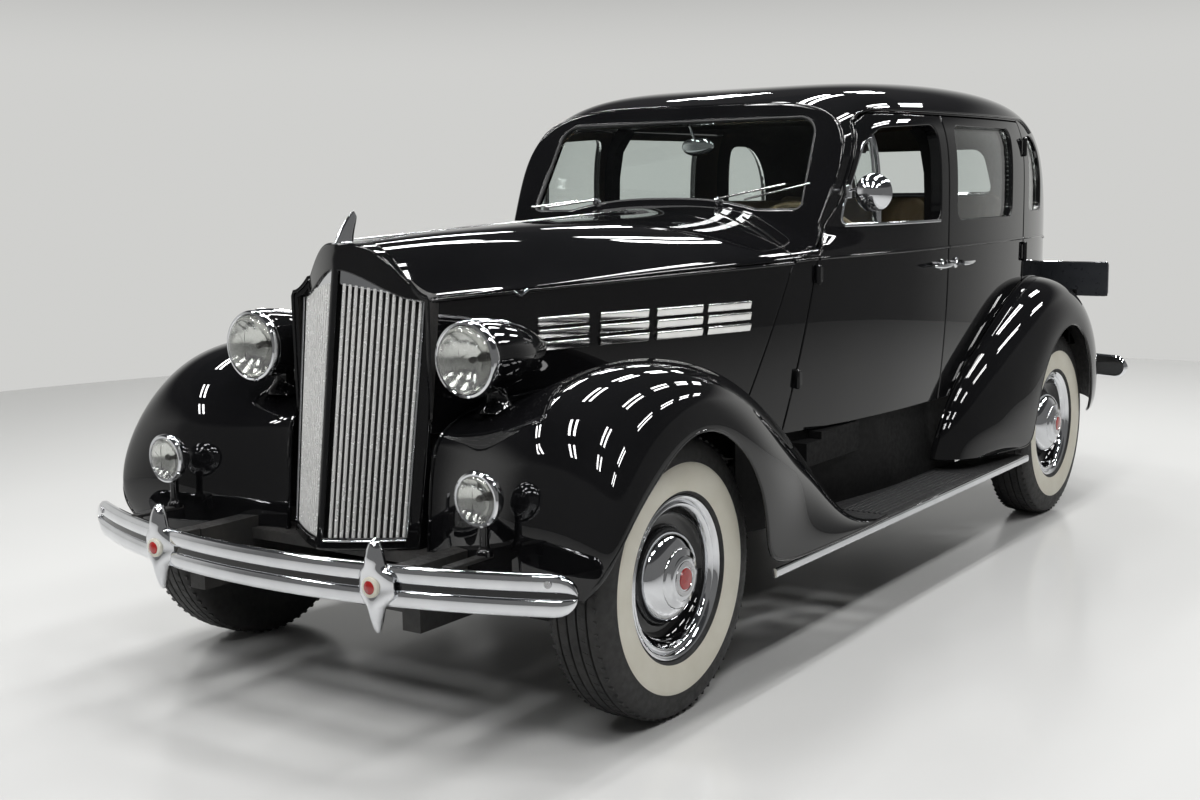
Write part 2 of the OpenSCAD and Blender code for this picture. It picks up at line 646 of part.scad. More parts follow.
function grid_normal(g, i, j) =
  let (a = g[min(i + 1, len(g) - 1)][j] - g[max(i - 1, 0)][j],
       b = g[i][min(j + 1, len(g[0]) - 1)] - g[i][max(j - 1, 0)])
  unit(cross(a, b));
// Sheet of the given thickness under a grid of points
module sheet_of(g, t) {
  m = len(g);
  n = len(g[0]);
  top = [for (r = g) each r];
  under = [for (i = [0 : m - 1], j = [0 : n - 1]) g[i][j] + grid_normal(g, i, j) * t];
  s = m * n;
  polyhedron(
    points = concat(top, under),
    faces = concat(
      [for (i = [0 : m - 2], j = [0 : n - 2])
        each [[i * n + j, (i + 1) * n + j, i * n + j + 1],
              [i * n + j + 1, (i + 1) * n + j, (i + 1) * n + j + 1],
              [s + i * n + j, s + i * n + j + 1, s + (i + 1) * n + j],
              [s + i * n + j + 1, s + (i + 1) * n + j + 1, s + (i + 1) * n + j]]],
      [for (i = [0 : m - 2])
        each [[i * n, s + i * n, (i + 1) * n], [(i + 1) * n, s + i * n, s + (i + 1) * n],
              [i * n + n - 1, (i + 1) * n + n - 1, s + i * n + n - 1],
              [(i + 1) * n + n - 1, s + (i + 1) * n + n - 1, s + i * n + n - 1]]],
      [for (j = [0 : n - 2])
        each [[j, j + 1, s + j], [j + 1, s + j + 1, s + j],
              [(m - 1) * n + j, s + (m - 1) * n + j, (m - 1) * n + j + 1],
              [(m - 1) * n + j + 1, s + (m - 1) * n + j, s + (m - 1) * n + j + 1]]]),
    convexity = 8);
}
head_d = -313;
head_y = 388;
head_z = 945;
head_len = 330;
post_r = 26;
post_d = -190;
pad_z = 842;
pad_low_z = 800;
module front_fender_left_shape() {
  difference() {
    sheet_of([for (i = [0 : front_steps]) front_row(i / front_steps * front_rows)], sheet);
    translate([px(post_d), 0, 0])
      cube([far, rail_y + rail_w + panel_gap, rail_low_z + rail_h + panel_gap]);
  }
  translate([px(post_d), head_y, pad_low_z]) cylinder(h = pad_z - pad_low_z, r = post_r * 1.4, $fn = 24);
  side_prism(splash_y + seat_gap, splash_y + seat_gap + sheet) polygon(concat(
    [for (i = [0 : splash_steps]) splash_top(splash_rows[0] + (splash_rows[1] - splash_rows[0]) * i / splash_steps)],
    [[splash_top(splash_rows[1])[0], rail_low_z + rail_h / 2],
     [splash_top(splash_rows[0])[0], rail_low_z + rail_h / 2]]));
}
// Fender sheet's height over the splash plate
function splash_top(u) =
  let (c = front_point(u, crown_shares), e = front_point(u, inner_shares),
       k = smooth((c[1] - splash_y) / (c[1] - e[1])))
  [c[0] + (e[0] - c[0]) * k, c[2] + (e[2] - c[2]) * k - sheet * 0.6];
splash_rows = [4, 7];
splash_steps = 6;
module front_fenders() {
  color("black") pressed() both_sides() front_fender_left_shape();
}
house_y = 590;
tail_share = 0.9271;
tail_d = rear_fender_d + rear_fender_len * tail_share;
tail_y = 690;
tail_pad_z = 712;
tail_pad_low_z = 640;
tail_r = 46;
module rear_fender_left_shape() {
  sheet_of([for (i = [0 : rear_steps]) rear_row(i / rear_steps * (line_count - 1))], sheet);
  translate([px(tail_d), tail_y, tail_pad_low_z])
    cylinder(h = tail_pad_z - tail_pad_low_z, r = post_r, $fn = 20);
  // Wheel house inside the body
  intersection() {
    side_prism(house_y, plan(house_rear_d) + sheet) difference() {
      offset(delta = -sheet * 0.4) rear_fender_outline();
      offset(delta = -sheet * 1.6) rear_fender_outline();
    }
    translate([px(house_rear_d), 0, house_low_z]) cube([house_rear_d - house_front_d, half_w, half_w]);
  }
  intersection() {
    side_prism(house_y, house_y + sheet) offset(delta = -sheet * 0.5) rear_fender_outline();
    translate([px(house_rear_d), 0, house_low_z]) cube([house_rear_d - house_front_d, half_w, half_w]);
  }
}
house_shares = [0.248, 0.7026];
house_front_d = rear_fender_d + rear_fender_len * house_shares[0];
house_rear_d = rear_fender_d + rear_fender_len * house_shares[1];
house_low_z = 620;
module rear_fenders() {
  color("black") pressed() both_sides() rear_fender_left_shape();
}
board_front_d = 420;
board_rear_d = 2440;
board_out_y = 896;
valance_y = 676;
rib_count = 8;
rib_h = 3;
rib_w = 10;
module running_boards() {
  color("black") both_sides() {
    translate([px(rear_fender_d + overrun), board_in_y, board_z])
      cube([rear_fender_d - door_low_d - overrun * 2, board_out_y - board_in_y, board_t]);
    translate([px(board_rear_d), board_out_y - board_t, board_z])
      cube([board_rear_d - board_front_d, board_t, board_t]);
    end_prism(px(rear_fender_d - panel_gap * 4), px(door_low_d + overrun)) polygon([
      [board_in_y, board_z], [board_in_y + sheet, board_z], [valance_y + sheet, sill_z - panel_gap * 2],
      [valance_y, sill_z - panel_gap * 2]]);
    for (i = [0 : rib_count - 1])
      translate([px(rear_fender_d - overrun),
        board_in_y + board_t + i * (board_out_y - board_in_y - board_t * 2) / rib_count, board_z])
        cube([rear_fender_d - door_low_d - overrun * 4, rib_w, board_t + rib_h]);
  }
}

// Body panels
firewall_d = 1090;
toe_d = 1330;
floor_z = rail_low_z + rail_h + seat_gap;
floor_t = 22;
heel_d = kick_front_d - panel_gap;
deck_z = rail_low_z + kick_h + rail_h + seat_gap;
floor_half_w = house_y - seat_gap;
firewall_top_z = 1090;
floor_rear_d = 3600;
module floor_pan() {
  color("dimgray") pressed() intersection() {
    side_prism(-floor_half_w, floor_half_w) polygon([
      [px(firewall_d), floor_z], [px(heel_d), floor_z], [px(heel_d), deck_z], [px(floor_rear_d), deck_z],
      [px(floor_rear_d), deck_z + floor_t], [px(heel_d - floor_t), deck_z + floor_t],
      [px(heel_d - floor_t), floor_z + floor_t], [px(firewall_d + floor_t), floor_z + floor_t],
      [px(firewall_d + floor_t), firewall_top_z], [px(firewall_d), firewall_top_z]]);
    cabin(wall + panel_gap, floor_z - overrun);
  }
}
cowl_t = 30;
module cowl() {
  color("black") pressed() difference() {
    cowl_shape();
    both_sides() front_barrels(barrel_r + seat_gap, barrel_h + seat_gap * 2);
    side_prism(-far, far) offset(delta = panel_gap / 2) door_front_outline();
  }
}
module cowl_shape() {
  intersection() {
    hood_skin(cowl_t, cowl_low_z);
    union() {
      side_prism(-far, far) offset(delta = -panel_gap / 2) polygon([
        [px(hood_low_d), cowl_low_z - overrun], [px(hood_rear_d), belt_z], [px(hood_rear_d), shield_z + overrun],
        [px(door_belt_d), shield_z + overrun], [px(door_belt_d), belt_z],
        [px(door_low_d - overrun * 0.27), cowl_low_z - overrun]]);
      side_prism(-far, far) polygon([
        [px(hood_rear_d + panel_gap), belt_z + panel_gap], [px(hood_rear_d + panel_gap), shield_z + overrun],
        [px(shield_at(shield_z + overrun)), shield_z + overrun],
        [px(shield_at(belt_z + panel_gap)), belt_z + panel_gap]]);
    }
  }
}
hood_low_d = 765;
frame_back = 46;
module windshield_frame() {
  color("black") pressed() difference() {
    intersection() {
      difference() {
        intersection() {
          cabin(0);
          behind_shield();
        }
        intersection() {
          cabin(wall, sill_z - overrun);
          behind_shield(wall);
        }
      }
      side_prism(-far, far) polygon([
        [px(shield_at(shield_z - overrun)), shield_z - overrun],
        [px(shield_at(shield_z - overrun) + frame_back), shield_z - overrun],
        [px(shield_at(win_top_z) + frame_back), win_top_z],
        [px(shield_at(door_top_z) + frame_back), door_top_z],
        [px(shield_at(door_top_z)), door_top_z]]);
      translate([px(body_len), -far, shield_z - frame_low]) cube([far * 2, far * 2, far]);
    }
    on_shield() translate([0, 0, -wall * 2]) linear_extrude(wall * 4) shield_outline();
    hood_body(0, cowl_low_z);
    side_prism(-far, far) offset(delta = panel_gap / 2) door_front_outline();
  }
}
frame_low = 30;
module roof_region() {
  polygon([[px(shield_at(door_top_z) - overrun), door_top_z], [px(roof_end_d), door_top_z],
    [px(roof_end_d), roof_z + overrun], [px(shield_at(door_top_z) - overrun), roof_z + overrun]]);
}
roof_end_d = 3020;
module roof() {
  color("black") pressed() intersection() {
    difference() {
      intersection() {
        cabin(0);
        behind_shield();
      }
      cabin(wall, sill_z - overrun);
    }
    side_prism(-far, far) roof_region();
  }
}
pillar_w = 64;
sill_in_y = house_y;
sill_w = 78;
sill_h = 100;
sill_step_h = 24; // room for the leaning door's foot
sill_step_walls = 3.6;
module side_frames() {
  color("black") pressed() both_sides() {
    intersection() {
      difference() {
        cabin(wall + panel_gap);
        cabin(wall * 2, sill_z - overrun);
      }
      translate([px(mid_seam_d) - pillar_w / 2, 0, sill_z])
        cube([pillar_w, far, door_top_z - sill_z + wall * 0.4]);
    }
    difference() {
      translate([px(mid_seam_d + pillar_w), sill_in_y, sill_z - panel_gap - sill_h])
        cube([mid_seam_d + pillar_w - door_low_d - wall, sill_w, sill_h]);
      translate([px(door_low_d + wall * sill_step_walls), sill_in_y - overrun, sill_z - panel_gap - sill_step_h])
        cube([wall * sill_step_walls, sill_w + overrun * 2, sill_step_h + overrun]);
    }
    translate([px(mid_seam_d) - pillar_w / 2, sill_in_y + wall * 0.6, sill_z - panel_gap * 2])
      cube([pillar_w, wall * 0.8, panel_gap * 12]);
  }
}
back_half_w = 455;
module quarter_panels() {
  color("black") pressed() difference() {
    intersection() {
      cabin_skin();
      union() {
        side_prism(back_half_w, far) quarter_region();
        side_prism(-far, -back_half_w) quarter_region();
      }
    }
    side_prism(-far, far) window_quarter_outline();
    both_sides() rear_barrels(barrel_r + seat_gap, barrel_h + seat_gap * 2);
  }
}
module quarter_region() {
  difference() {
    polygon([[px(rear_seam_d + panel_gap), sill_z - overrun], [px(rear_seam_d + panel_gap), door_top_z],
      [px(roof_end_d), door_top_z], [px(roof_end_d), far], [px(body_len + overrun), far],
      [px(body_len + overrun), sill_z - overrun]]);
    offset(delta = seat_gap) rear_fender_outline();
  }
}
back_win_half_w = 330;
back_win_low_z = 1325;
back_win_top_z = 1535;
lid_half_w = 400;
lid_low_z = 690;
lid_top_z = 1175;
lid_r = 90;
module back_window_outline() {
  rounded(win_r) translate([-back_win_half_w, back_win_low_z])
    square([back_win_half_w * 2, back_win_top_z - back_win_low_z]);
}
module lid_outline() {
  rounded(lid_r) translate([-lid_half_w, lid_low_z]) square([lid_half_w * 2, lid_top_z - lid_low_z]);
}
module back_panel() {
  color("black") pressed() difference() {
    intersection() {
      cabin_skin();
      translate([px(body_len + overrun), -back_half_w, 0])
        cube([body_len + overrun - roof_end_d, back_half_w * 2, far]);
    }
    end_prism(px(body_len + overrun), px(roof_end_d)) back_window_outline();
    end_prism(px(body_len + overrun), px(roof_end_d)) lid_outline();
  }
  color("black") both_sides() lid_barrel(lid_hinge_y + barrel_h + seat_gap, wall * 0.5);
}
module trunk_lid() {
  color("black") pressed() {
    intersection() {
      cabin_skin();
      end_prism(px(body_len + overrun), px(lid_front_d)) offset(delta = -panel_gap) lid_outline();
    }
    both_sides() lid_barrel(lid_hinge_y, -wall * 0.5);
  }
}
// Hinge barrel above the lid's upper edge, with a leaf that reaches into the panel beside it
module lid_barrel(y, reach) {
  translate([px(lid_hinge_d), y, lid_top_z + hinge_out * 2]) {
    rotate([-90, 0, 0]) cylinder(h = barrel_h, r = barrel_r, $fn = 20);
    translate([reach > 0 ? 0 : reach * 2, 0, reach > 0 ? -barrel_r * 0.8 : reach - barrel_r])
      cube([abs(reach) * 2, barrel_h, reach > 0 ? barrel_r : abs(reach) + barrel_r]);
  }
}
lid_hinge_d = 3676;
lid_hinge_y = 170;
lid_front_d = 3400;

// Doors, each with its hinge barrels and handle
barrel_r = 10;
barrel_h = 60;
hinge_out = 6;
handle_z = 1078;
handle_len = 130;
handle_r = 9;
handle_out = 46;
handle_in = 62;
hinge_low_z = 760;
hinge_top_z = 1085;
rear_hinge_zs = [1085, 1500];
function front_hinge_d(z) = door_low_d + (door_belt_d - door_low_d) * (z - sill_z) / (belt_z - sill_z)
  + panel_gap;
function hinge_at(z) = [px(front_hinge_d(z)), plan(front_hinge_d(hinge_top_z)) + hinge_out, z];
function hinge_leaf(z) = hinge_at(z)[1] - side_y(front_hinge_d(z), z) + wall * 0.5;
hinge_dir = unit(hinge_at(hinge_top_z) - hinge_at(hinge_low_z));
hinge_lean = atan2(hinge_dir[0], hinge_dir[2]);
mirror_z = 1345;
mirror_d = 1311;
mirror_r = 60;
mirror_out = 165;
module handle_at(d, way) {
  translate([px(d), plan(mid_seam_d) - wall / 2, handle_z]) {
    rotate([-90, 0, 0]) cylinder(h = handle_out + wall / 2, r = handle_r, $fn = 12);
    translate([0, handle_out + wall / 2 - handle_r, 0]) rotate([0, 90 * way, 0])
      cylinder(h = handle_len, r = handle_r, $fn = 12);
  }
}
module door_front_shape() {
  difference() {
    intersection() {
      cabin_skin();
      side_prism(0, far) offset(delta = -panel_gap / 2) door_front_outline();
    }
    side_prism(0, far) window_front_outline();
    linear_extrude(far) polygon([[px(mid_seam_d), front_bevel_y], [px(mid_seam_d), 0],
      [px(mid_seam_d) + front_bevel_y * front_bevel_share, 0]]);
  }
  intersection() {
    cabin_skin(wall * 0.2, wall * 0.8);
    side_prism(0, far) intersection() {
      offset(delta = panel_gap) window_front_outline();
      translate([px(vent_d) - rail_w / 4, 0]) square([rail_w / 2, far]);
    }
  }
  for (z = [hinge_low_z, hinge_top_z])
    translate(hinge_at(z)) rotate([0, hinge_lean, 0])
      translate([-barrel_h / 2, -hinge_leaf(z), -barrel_h / 4])
      cube([barrel_h / 2, hinge_leaf(z), barrel_h / 2]);
  handle_at(mid_seam_d - handle_in, 1);
}
module front_barrels(r, h) {
  for (z = [hinge_low_z, hinge_top_z])
    translate(hinge_at(z)) rotate([0, hinge_lean, 0]) translate([0, 0, -h / 2]) cylinder(h = h, r = r);
}
module rear_barrels(r, h) {
  for (z = rear_hinge_zs)
    translate([px(rear_seam_d), rear_hinge_y, z - h / 2]) cylinder(h = h, r = r);
}
module door_rear_shape() {
  difference() {
    intersection() {
      cabin_skin();
      side_prism(0, far) offset(delta = -panel_gap / 2) door_rear_outline();
    }
    side_prism(0, far) window_rear_outline();
    linear_extrude(far) polygon([[px(mid_seam_d), rear_bevel_y], [px(mid_seam_d), 0],
      [px(mid_seam_d) - rear_bevel_y * rear_bevel_share, 0]]);
  }
  for (z = rear_hinge_zs)
    translate([px(rear_seam_d), rear_hinge_y, z])
      translate([0, -wall - rear_hinge_y + plan(rear_seam_d) * (z > belt_z ? 0.93 : 1), -barrel_h / 4])
      cube([barrel_h / 2, rear_hinge_y - plan(rear_seam_d) * (z > belt_z ? 0.93 : 1) + wall, barrel_h / 2]);
  handle_at(mid_seam_d + handle_in, -1);
}
rear_hinge_y = plan(rear_seam_d) + hinge_out;
// Bevels inside the seam between the doors, for their swing
front_bevel_y = 640;
front_bevel_share = 0.06;
rear_bevel_y = 655;
rear_bevel_share = 0.16;
module mirror_arm() {
  translate([px(mirror_d), plan(mirror_d) - wall * 1.5, mirror_z]) {
    rotate([-90, 0, 0]) cylinder(h = mirror_out, r = handle_r * 0.7, $fn = 10);
    translate([0, mirror_out, 0]) rotate([0, -90, 0]) cylinder(h = handle_r * 1.6, r = mirror_r, $fn = 32);
  }
}
module door_front_left() {
  color("black") {
    pressed() {
      door_front_shape();
      mirror_arm();
    }
    front_barrels(barrel_r, barrel_h);
  }
}
module door_front_right() {
  color("black") {
    pressed() mirror([0, 1, 0]) door_front_shape();
    mirror([0, 1, 0]) front_barrels(barrel_r, barrel_h);
  }
}
module door_rear_left() {
  color("black") {
    pressed() door_rear_shape();
    rear_barrels(barrel_r, barrel_h);
  }
}
module door_rear_right() {
  color("black") {
    pressed() mirror([0, 1, 0]) door_rear_shape();
    mirror([0, 1, 0]) rear_barrels(barrel_r, barrel_h);
  }
}
glass_in = 17;
module glass_of(y0, y1) {
  intersection() {
    cabin_skin(glass_in, glass_in + glass_t);
    side_prism(y0, y1) offset(delta = -fit) children();
  }
}
module front_glass_outline(open) {
  intersection() {
    window_front_outline();
    if (open)
      translate([px(vent_d) + rail_w / 4, 0]) square([far, far]);
    else
      difference() {
        square([far * 2, far * 2], center = true);
        translate([px(vent_d) - rail_w / 4, 0]) square([rail_w / 2, far]);
      }
  }
}
module glass_front_left() {
  color("lightblue") pressed() glass_of(0, far) front_glass_outline(true);
}
module glass_front_right() {
  color("lightblue") pressed() glass_of(-far, 0) front_glass_outline(false);
}
module glass_rear_left() {
  color("lightblue") pressed() glass_of(0, far) window_rear_outline();
}
module glass_rear_right() {
  color("lightblue") pressed() glass_of(-far, 0) window_rear_outline();
}
module fixed_glass() {
  color("lightblue") pressed() {
    glass_of(0, far) window_quarter_outline();
    glass_of(-far, 0) window_quarter_outline();
    intersection() {
      cabin_skin(glass_in, glass_in + glass_t);
      end_prism(px(body_len + overrun), px(roof_end_d)) offset(delta = -fit) back_window_outline();
    }
    on_shield() translate([0, 0, -glass_in - glass_t]) linear_extrude(glass_t)
      offset(delta = -fit) shield_outline();
  }
}

// Hood
module hood_half_shape() {
  intersection() {
    hood_skin(hood_t, side_low_z);
    translate([0, panel_gap / 2, 0]) side_prism(0, far) polygon(concat(
      [[px(hood_rear_d), far], [px(-hood_front_d + panel_gap), far]],
      [for (k = [0 : 0.1 : 1])
        let (d = -hood_front_d + panel_gap + (hood_rear_d + hood_front_d - panel_gap) * k)
        [px(d), belt(d) + panel_gap / 2]]));
  }
}
module hood_left() {
  color("black") pressed() hood_half_shape();
}
module hood_right() {
  color("black") pressed() mirror([0, 1, 0]) hood_half_shape();
}
rod_r = 2.2;
rod_rise = 6.3;
rod_from = [px(-hood_front_d) - seat_gap, 0, crest(-hood_front_d) + rod_rise];
rod_to = [px(hood_rear_d) - panel_gap * 2, 0, crest(hood_rear_d) + rod_rise];
// Hinge rod along the middle of the hood
module hood_hinge() {
  color("silver") translate(rod_to)
    rotate([0, atan2(rod_from[0] - rod_to[0], rod_from[2] - rod_to[2]), 0])
    cylinder(h = norm(rod_from - rod_to), r = rod_r);
  color("silver") translate([px(hood_rear_d) - panel_gap * 2, -rod_r * 2, crest(hood_rear_d + panel_gap * 2) + fit])
    cube([panel_gap, rod_r * 4, rod_rise]);
}
louver_ds = [60, 265, 460, 645];
louver_len = 165;
louver_count = 3;
louver_low_z = 935;
louver_pitch = 34;
louver_h = 16;
louver_out = 9;
module hood_side_shape() {
  intersection() {
    hood_skin(hood_t, side_low_z);
    side_prism(0, far) polygon(concat(
      [[px(hood_low_d - panel_gap * 0.7 + (hood_rear_d - hood_low_d) * 0.26), side_low_z - overrun],
       [px(-hood_front_d + panel_gap), side_low_z - overrun]],
      [for (k = [0 : 0.1 : 1])
        let (d = -hood_front_d + panel_gap + (hood_rear_d + hood_front_d - panel_gap * 1.6) * k)
        [px(d), belt(d) - panel_gap / 2]]));
  }
  for (d = louver_ds, i = [0 : louver_count - 1])
    louver(d, louver_low_z + louver_pitch * i);
}
// Raised louver along the hood side
module louver(d, z) {
  a = [px(d), side_y(d, z), z];
  b = [px(d + louver_len), side_y(d + louver_len, z), z];
  translate(a) rotate([0, 0, atan2(b[1] - a[1], b[0] - a[0])])
    rotate([90, 0, 90]) linear_extrude(norm(b - a))
    polygon([[hood_t / 2, 0], [hood_t / 2, louver_h], [-louver_out, louver_h * 0.3], [-louver_out, 0]]);
}
module hood_sides() {
  color("black") pressed() both_sides() hood_side_shape();
}

// Grille: a raked V with upright bars
nose_top_d = -359;
nose_low_d = -467;
nose_top_z = 1242;
grille_top_z = 1120;
side_back = 122;
nose_tan = (nose_top_d - nose_low_d) / (nose_top_z - grille_low_z);
function nose_x(z) = px(nose_low_d + (z - grille_low_z) * nose_tan);
// Point on the grille face, s from the middle to the side
function face_at(s, z, back = 0) = [
  nose_x(z) - side_back * pow(abs(s), 1.25) - back,
  grille_half_w * s * (0.9 + 0.1 * (z - grille_low_z) / (grille_top_z - grille_low_z)),
  z];
shell_low_z = 440;
shell_w = 12;
module nose_wedge(back = 0) {
  s = (grille_half_w + shell_w * 4) / grille_half_w;
  loft([for (z = [shell_low_z - overrun, nose_top_z + overrun]) concat(
    [for (k = [-1 : 0.25 : 1]) face_at(k * s, z, back)],
    [[px(-hood_front_d) - overrun, half_w / 3, z], [px(-hood_front_d) - overrun, -half_w / 3, z]])]);
}
module shell_block(inset) {
  d0 = nose_low_d - overrun;
  d1 = -hood_front_d - (inset > 0 ? -overrun : 0);
  loft([for (d = [d0, d1]) ring(d, hood_half(-hood_front_d, inset, shell_low_z - (inset > 0 ? overrun : 0)))]);
}
bar_w = 6;
bar_depth = 16;
bar_back = 8;
shell_depth = 46;
function opening_top(s) = crest(-hood_front_d) - shell_w * 3
  - (crest(-hood_front_d) - belt(-hood_front_d) - shell_w) * smooth(abs(s) * 1.1);
module grille_shell() {
  color("black") pressed() {
    difference() {
      intersection() {
        shell_block(0);
        nose_wedge();
      }
      intersection() {
        shell_block(shell_w);
        nose_wedge(shell_depth);
      }
      end_prism(px(-hood_front_d) - overrun, px(nose_low_d - overrun)) polygon(concat(
        [for (s = [-1 : 0.125 : 1]) [face_at(s, grille_top_z)[1] * 0.965, opening_top(s)]],
        [[face_at(1, grille_low_z)[1], grille_low_z], [-face_at(1, grille_low_z)[1], grille_low_z]]));
    }
    intersection() {
      nose_wedge(-fit);
      translate([px(nose_low_d), -shell_w, shell_low_z - overrun])
        mirror([1, 0, 0]) cube([shell_depth * 5, shell_w * 2, nose_top_z - shell_low_z + overrun * 0.5]);
      difference() {
        nose_wedge(-fit);
        nose_wedge(shell_depth * 0.7);
      }
      translate([px(nose_low_d - overrun), -half_w, shell_low_z]) mirror([1, 0, 0])
        cube([far, half_w * 2, far]);
    }
    ornament();
  }
}
fin_d = -356;
fin_len = 64;
fin_h = 92;
fin_w = 16;
fin_z = 1226;
module ornament() {
  side_prism(-fin_w / 2, fin_w / 2) polygon([
    [px(fin_d), fin_z], [px(fin_d + fin_len), fin_z], [px(fin_d + fin_len), fin_z + fin_h * 0.3],
    [px(fin_d + fin_len * 1.5), fin_z + fin_h * 0.8], [px(fin_d + fin_len * 1.35), fin_z + fin_h],
    [px(fin_d + fin_len * 0.5), fin_z + fin_h * 0.7]]);
}
module grille_bar(s) {
  top = opening_top(s) - bar_w;
  loft([for (z = [grille_low_z + fit, top])
    let (p = face_at(s, z, bar_back))
    [[p[0], p[1] - bar_w / 2, z], [p[0], p[1] + bar_w / 2, z],
     [p[0] - bar_depth, p[1] + bar_w / 2, z], [p[0] - bar_depth, p[1] - bar_w / 2, z]]]);
}
rail_zs = [480, 800];
rail_shares = [0.11, 0.5, 0.95];
module grille_bars() {
  color("silver") pressed() both_sides() {
    for (i = [1 : bar_count]) grille_bar((i + 0.9) / (bar_count + 2));
    for (z = rail_zs)
      loft([for (h = [z, z + bar_w * 2]) concat(
        [for (s = rail_shares) face_at(s, h, bar_back + bar_depth * 0.5)],
        [for (i = [len(rail_shares) - 1 : -1 : 0]) face_at(rail_shares[i], h, bar_back + bar_depth * 1.2)])]);
  }
}

// Lamps
module lamp_shape(r, len) {
  rotate([0, -90, 0]) rotate_extrude($fa = 6) polygon([
    [0, 0], [r * 0.9, 0], [r, r * 0.14], [r * 1.02, r * 0.35], [r * 0.97, len * 0.3],
    [r * 0.82, len * 0.52], [r * 0.58, len * 0.75], [r * 0.28, len * 0.93], [0, len]]);
}
module headlamps() {
  color("black") both_sides() {
    translate([px(head_d), head_y, head_z]) lamp_shape(lamp_r, head_len);
    translate([px(post_d), head_y, pad_z + seat_gap])
      cylinder(h = head_z - pad_z - lamp_r * 0.4, r = post_r);
  }
}
fog_d = -492;
fog_y = 561;
fog_z = 638;
fog_len = 70;
fog_arm_z = 500;
fog_arm_w = 30;
fog_arm_t = 10;
module fog_lamps() {
  color("silver") both_sides() {
    translate([px(fog_d), fog_y, fog_z]) lamp_shape(fog_r, fog_len);
    translate([px(fog_d) - fog_len * 0.3, fog_y, fog_arm_z + seat_gap])
      cylinder(h = fog_z - fog_arm_z - fog_r * 0.5, r = fog_arm_w * 0.4);
  }
}
lens_t = 10;
module lens_shape(r) {
  rotate([0, 90, 0]) rotate_extrude($fa = 6) polygon([
    [0, seat_gap], [r * 0.88, seat_gap], [r * 0.86, lens_t], [r * 0.5, lens_t * 2], [0, lens_t * 2.4]]);
}
module lamp_lenses() {
  color("lightyellow") both_sides() {
    translate([px(head_d), head_y, head_z]) lens_shape(lamp_r);
    translate([px(fog_d), fog_y, fog_z]) lens_shape(fog_r);
  }
}
tail_z = 790;
tail_len = 90;
plate_w = 305;
plate_h = 152;
plate_t = 8;
plate_z = 850;
module tail_lamps() {
  color("black") both_sides() {
    translate([px(tail_d), tail_y, tail_pad_z + seat_gap])
      cylinder(h = tail_z - tail_pad_z, r = post_r * 0.6);
    translate([px(tail_d + tail_len * 0.6), tail_y, tail_z]) mirror([1, 0, 0]) lamp_shape(tail_r, tail_len * 1.6);
  }
  color("black") {
    translate([px(tail_d + tail_len * 0.5), tail_y - plate_w / 2, plate_z])
      cube([plate_t, plate_w, plate_h]);
    translate([px(tail_d + tail_len * 0.5), tail_y - fog_arm_w / 2, tail_z])
      cube([plate_t, fog_arm_w, plate_z - tail_z + fog_arm_w]);
  }
}

// Bumpers
bumper_t = 26;
guard_y = 388;
guard_h = 232;
guard_w = 58;
guard_t = 52;
bracket_w = 46;
bracket_h = 60;
groove_h = 18;
groove_in = 9;
module bumper_bar() {
  translate([-bumper_r, 0, 0]) intersection() {
    rotate([0, 0, -bumper_sweep]) rotate_extrude(angle = bumper_sweep * 2, $fa = 3) translate([bumper_r, 0])
      polygon([
        [-bumper_t, -bumper_h * 0.4], [-bumper_t * 0.4, -bumper_h * 0.5], [0, -bumper_h * 0.3],
        [0, -groove_h * 0.6], [-groove_in, -groove_h * 0.4], [-groove_in, groove_h * 0.4], [0, groove_h * 0.6],
        [0, bumper_h * 0.3], [-bumper_t * 0.4, bumper_h * 0.5], [-bumper_t, bumper_h * 0.4]]);
    end_prism(0, bumper_r * 2) {
      square([(bumper_half_w - bumper_h / 2) * 2, bumper_h * 2], center = true);
      for (s = [-1, 1]) translate([(bumper_half_w - bumper_h / 2) * s, 0]) circle(r = bumper_h / 2);
    }
  }
}
bumper_sweep = asin(bumper_half_w / bumper_r) + 0.5;
function bumper_back(y) = bumper_r - sqrt(bumper_r * bumper_r - y * y);
module bumper(reach) {
  bumper_bar();
  both_sides() {
    translate([-bumper_back(guard_y) - bumper_t, guard_y - guard_w / 2, -guard_h / 2])
      translate([0, guard_w, 0]) rotate([90, 0, 0]) linear_extrude(guard_w) polygon([
        [0, guard_h * 0.1], [bumper_t * 0.8, 0], [bumper_t + guard_t * 0.35, guard_h * 0.14],
        [bumper_t + guard_t * 0.5, guard_h * 0.45], [bumper_t + guard_t * 0.3, guard_h * 0.8],
        [bumper_t * 0.8, guard_h], [0, guard_h * 0.9]]);
    translate([-reach, rail_y + rail_w / 2 - bracket_w / 2, -bracket_h / 2])
      cube([reach - bumper_back(guard_y) - bumper_t * 0.5, bracket_w, bracket_h]);
  }
}
module front_bumper() {
  color("silver") {
    translate([px(-front_overhang), 0, bumper_z])
      bumper(front_overhang + rail_front_d - seat_gap);
    both_sides() translate([px(fog_d) - fog_arm_w * 2, fog_y - fog_arm_w / 2, fog_arm_z - fog_arm_t])
      cube([front_overhang + fog_d - bumper_back(fog_y) - bumper_t * 0.5 + fog_arm_w * 2, fog_arm_w, fog_arm_t]);
    both_sides() translate([px(fog_d) + fog_arm_w * 1.4, fog_y - fog_arm_w / 2, bumper_z])
      cube([front_overhang + fog_d - bumper_back(fog_y) - bumper_t * 0.5 - fog_arm_w * 1.4, fog_arm_w,
        fog_arm_z - bumper_z]);
  }
}
rear_bumper_rise = 60;
module rear_bumper() {
  color("silver") translate([px(wheelbase + rear_overhang), 0, bumper_z + rear_bumper_rise])
    mirror([1, 0, 0]) bumper(wheelbase + rear_overhang - rail_rear_d - seat_gap);
}

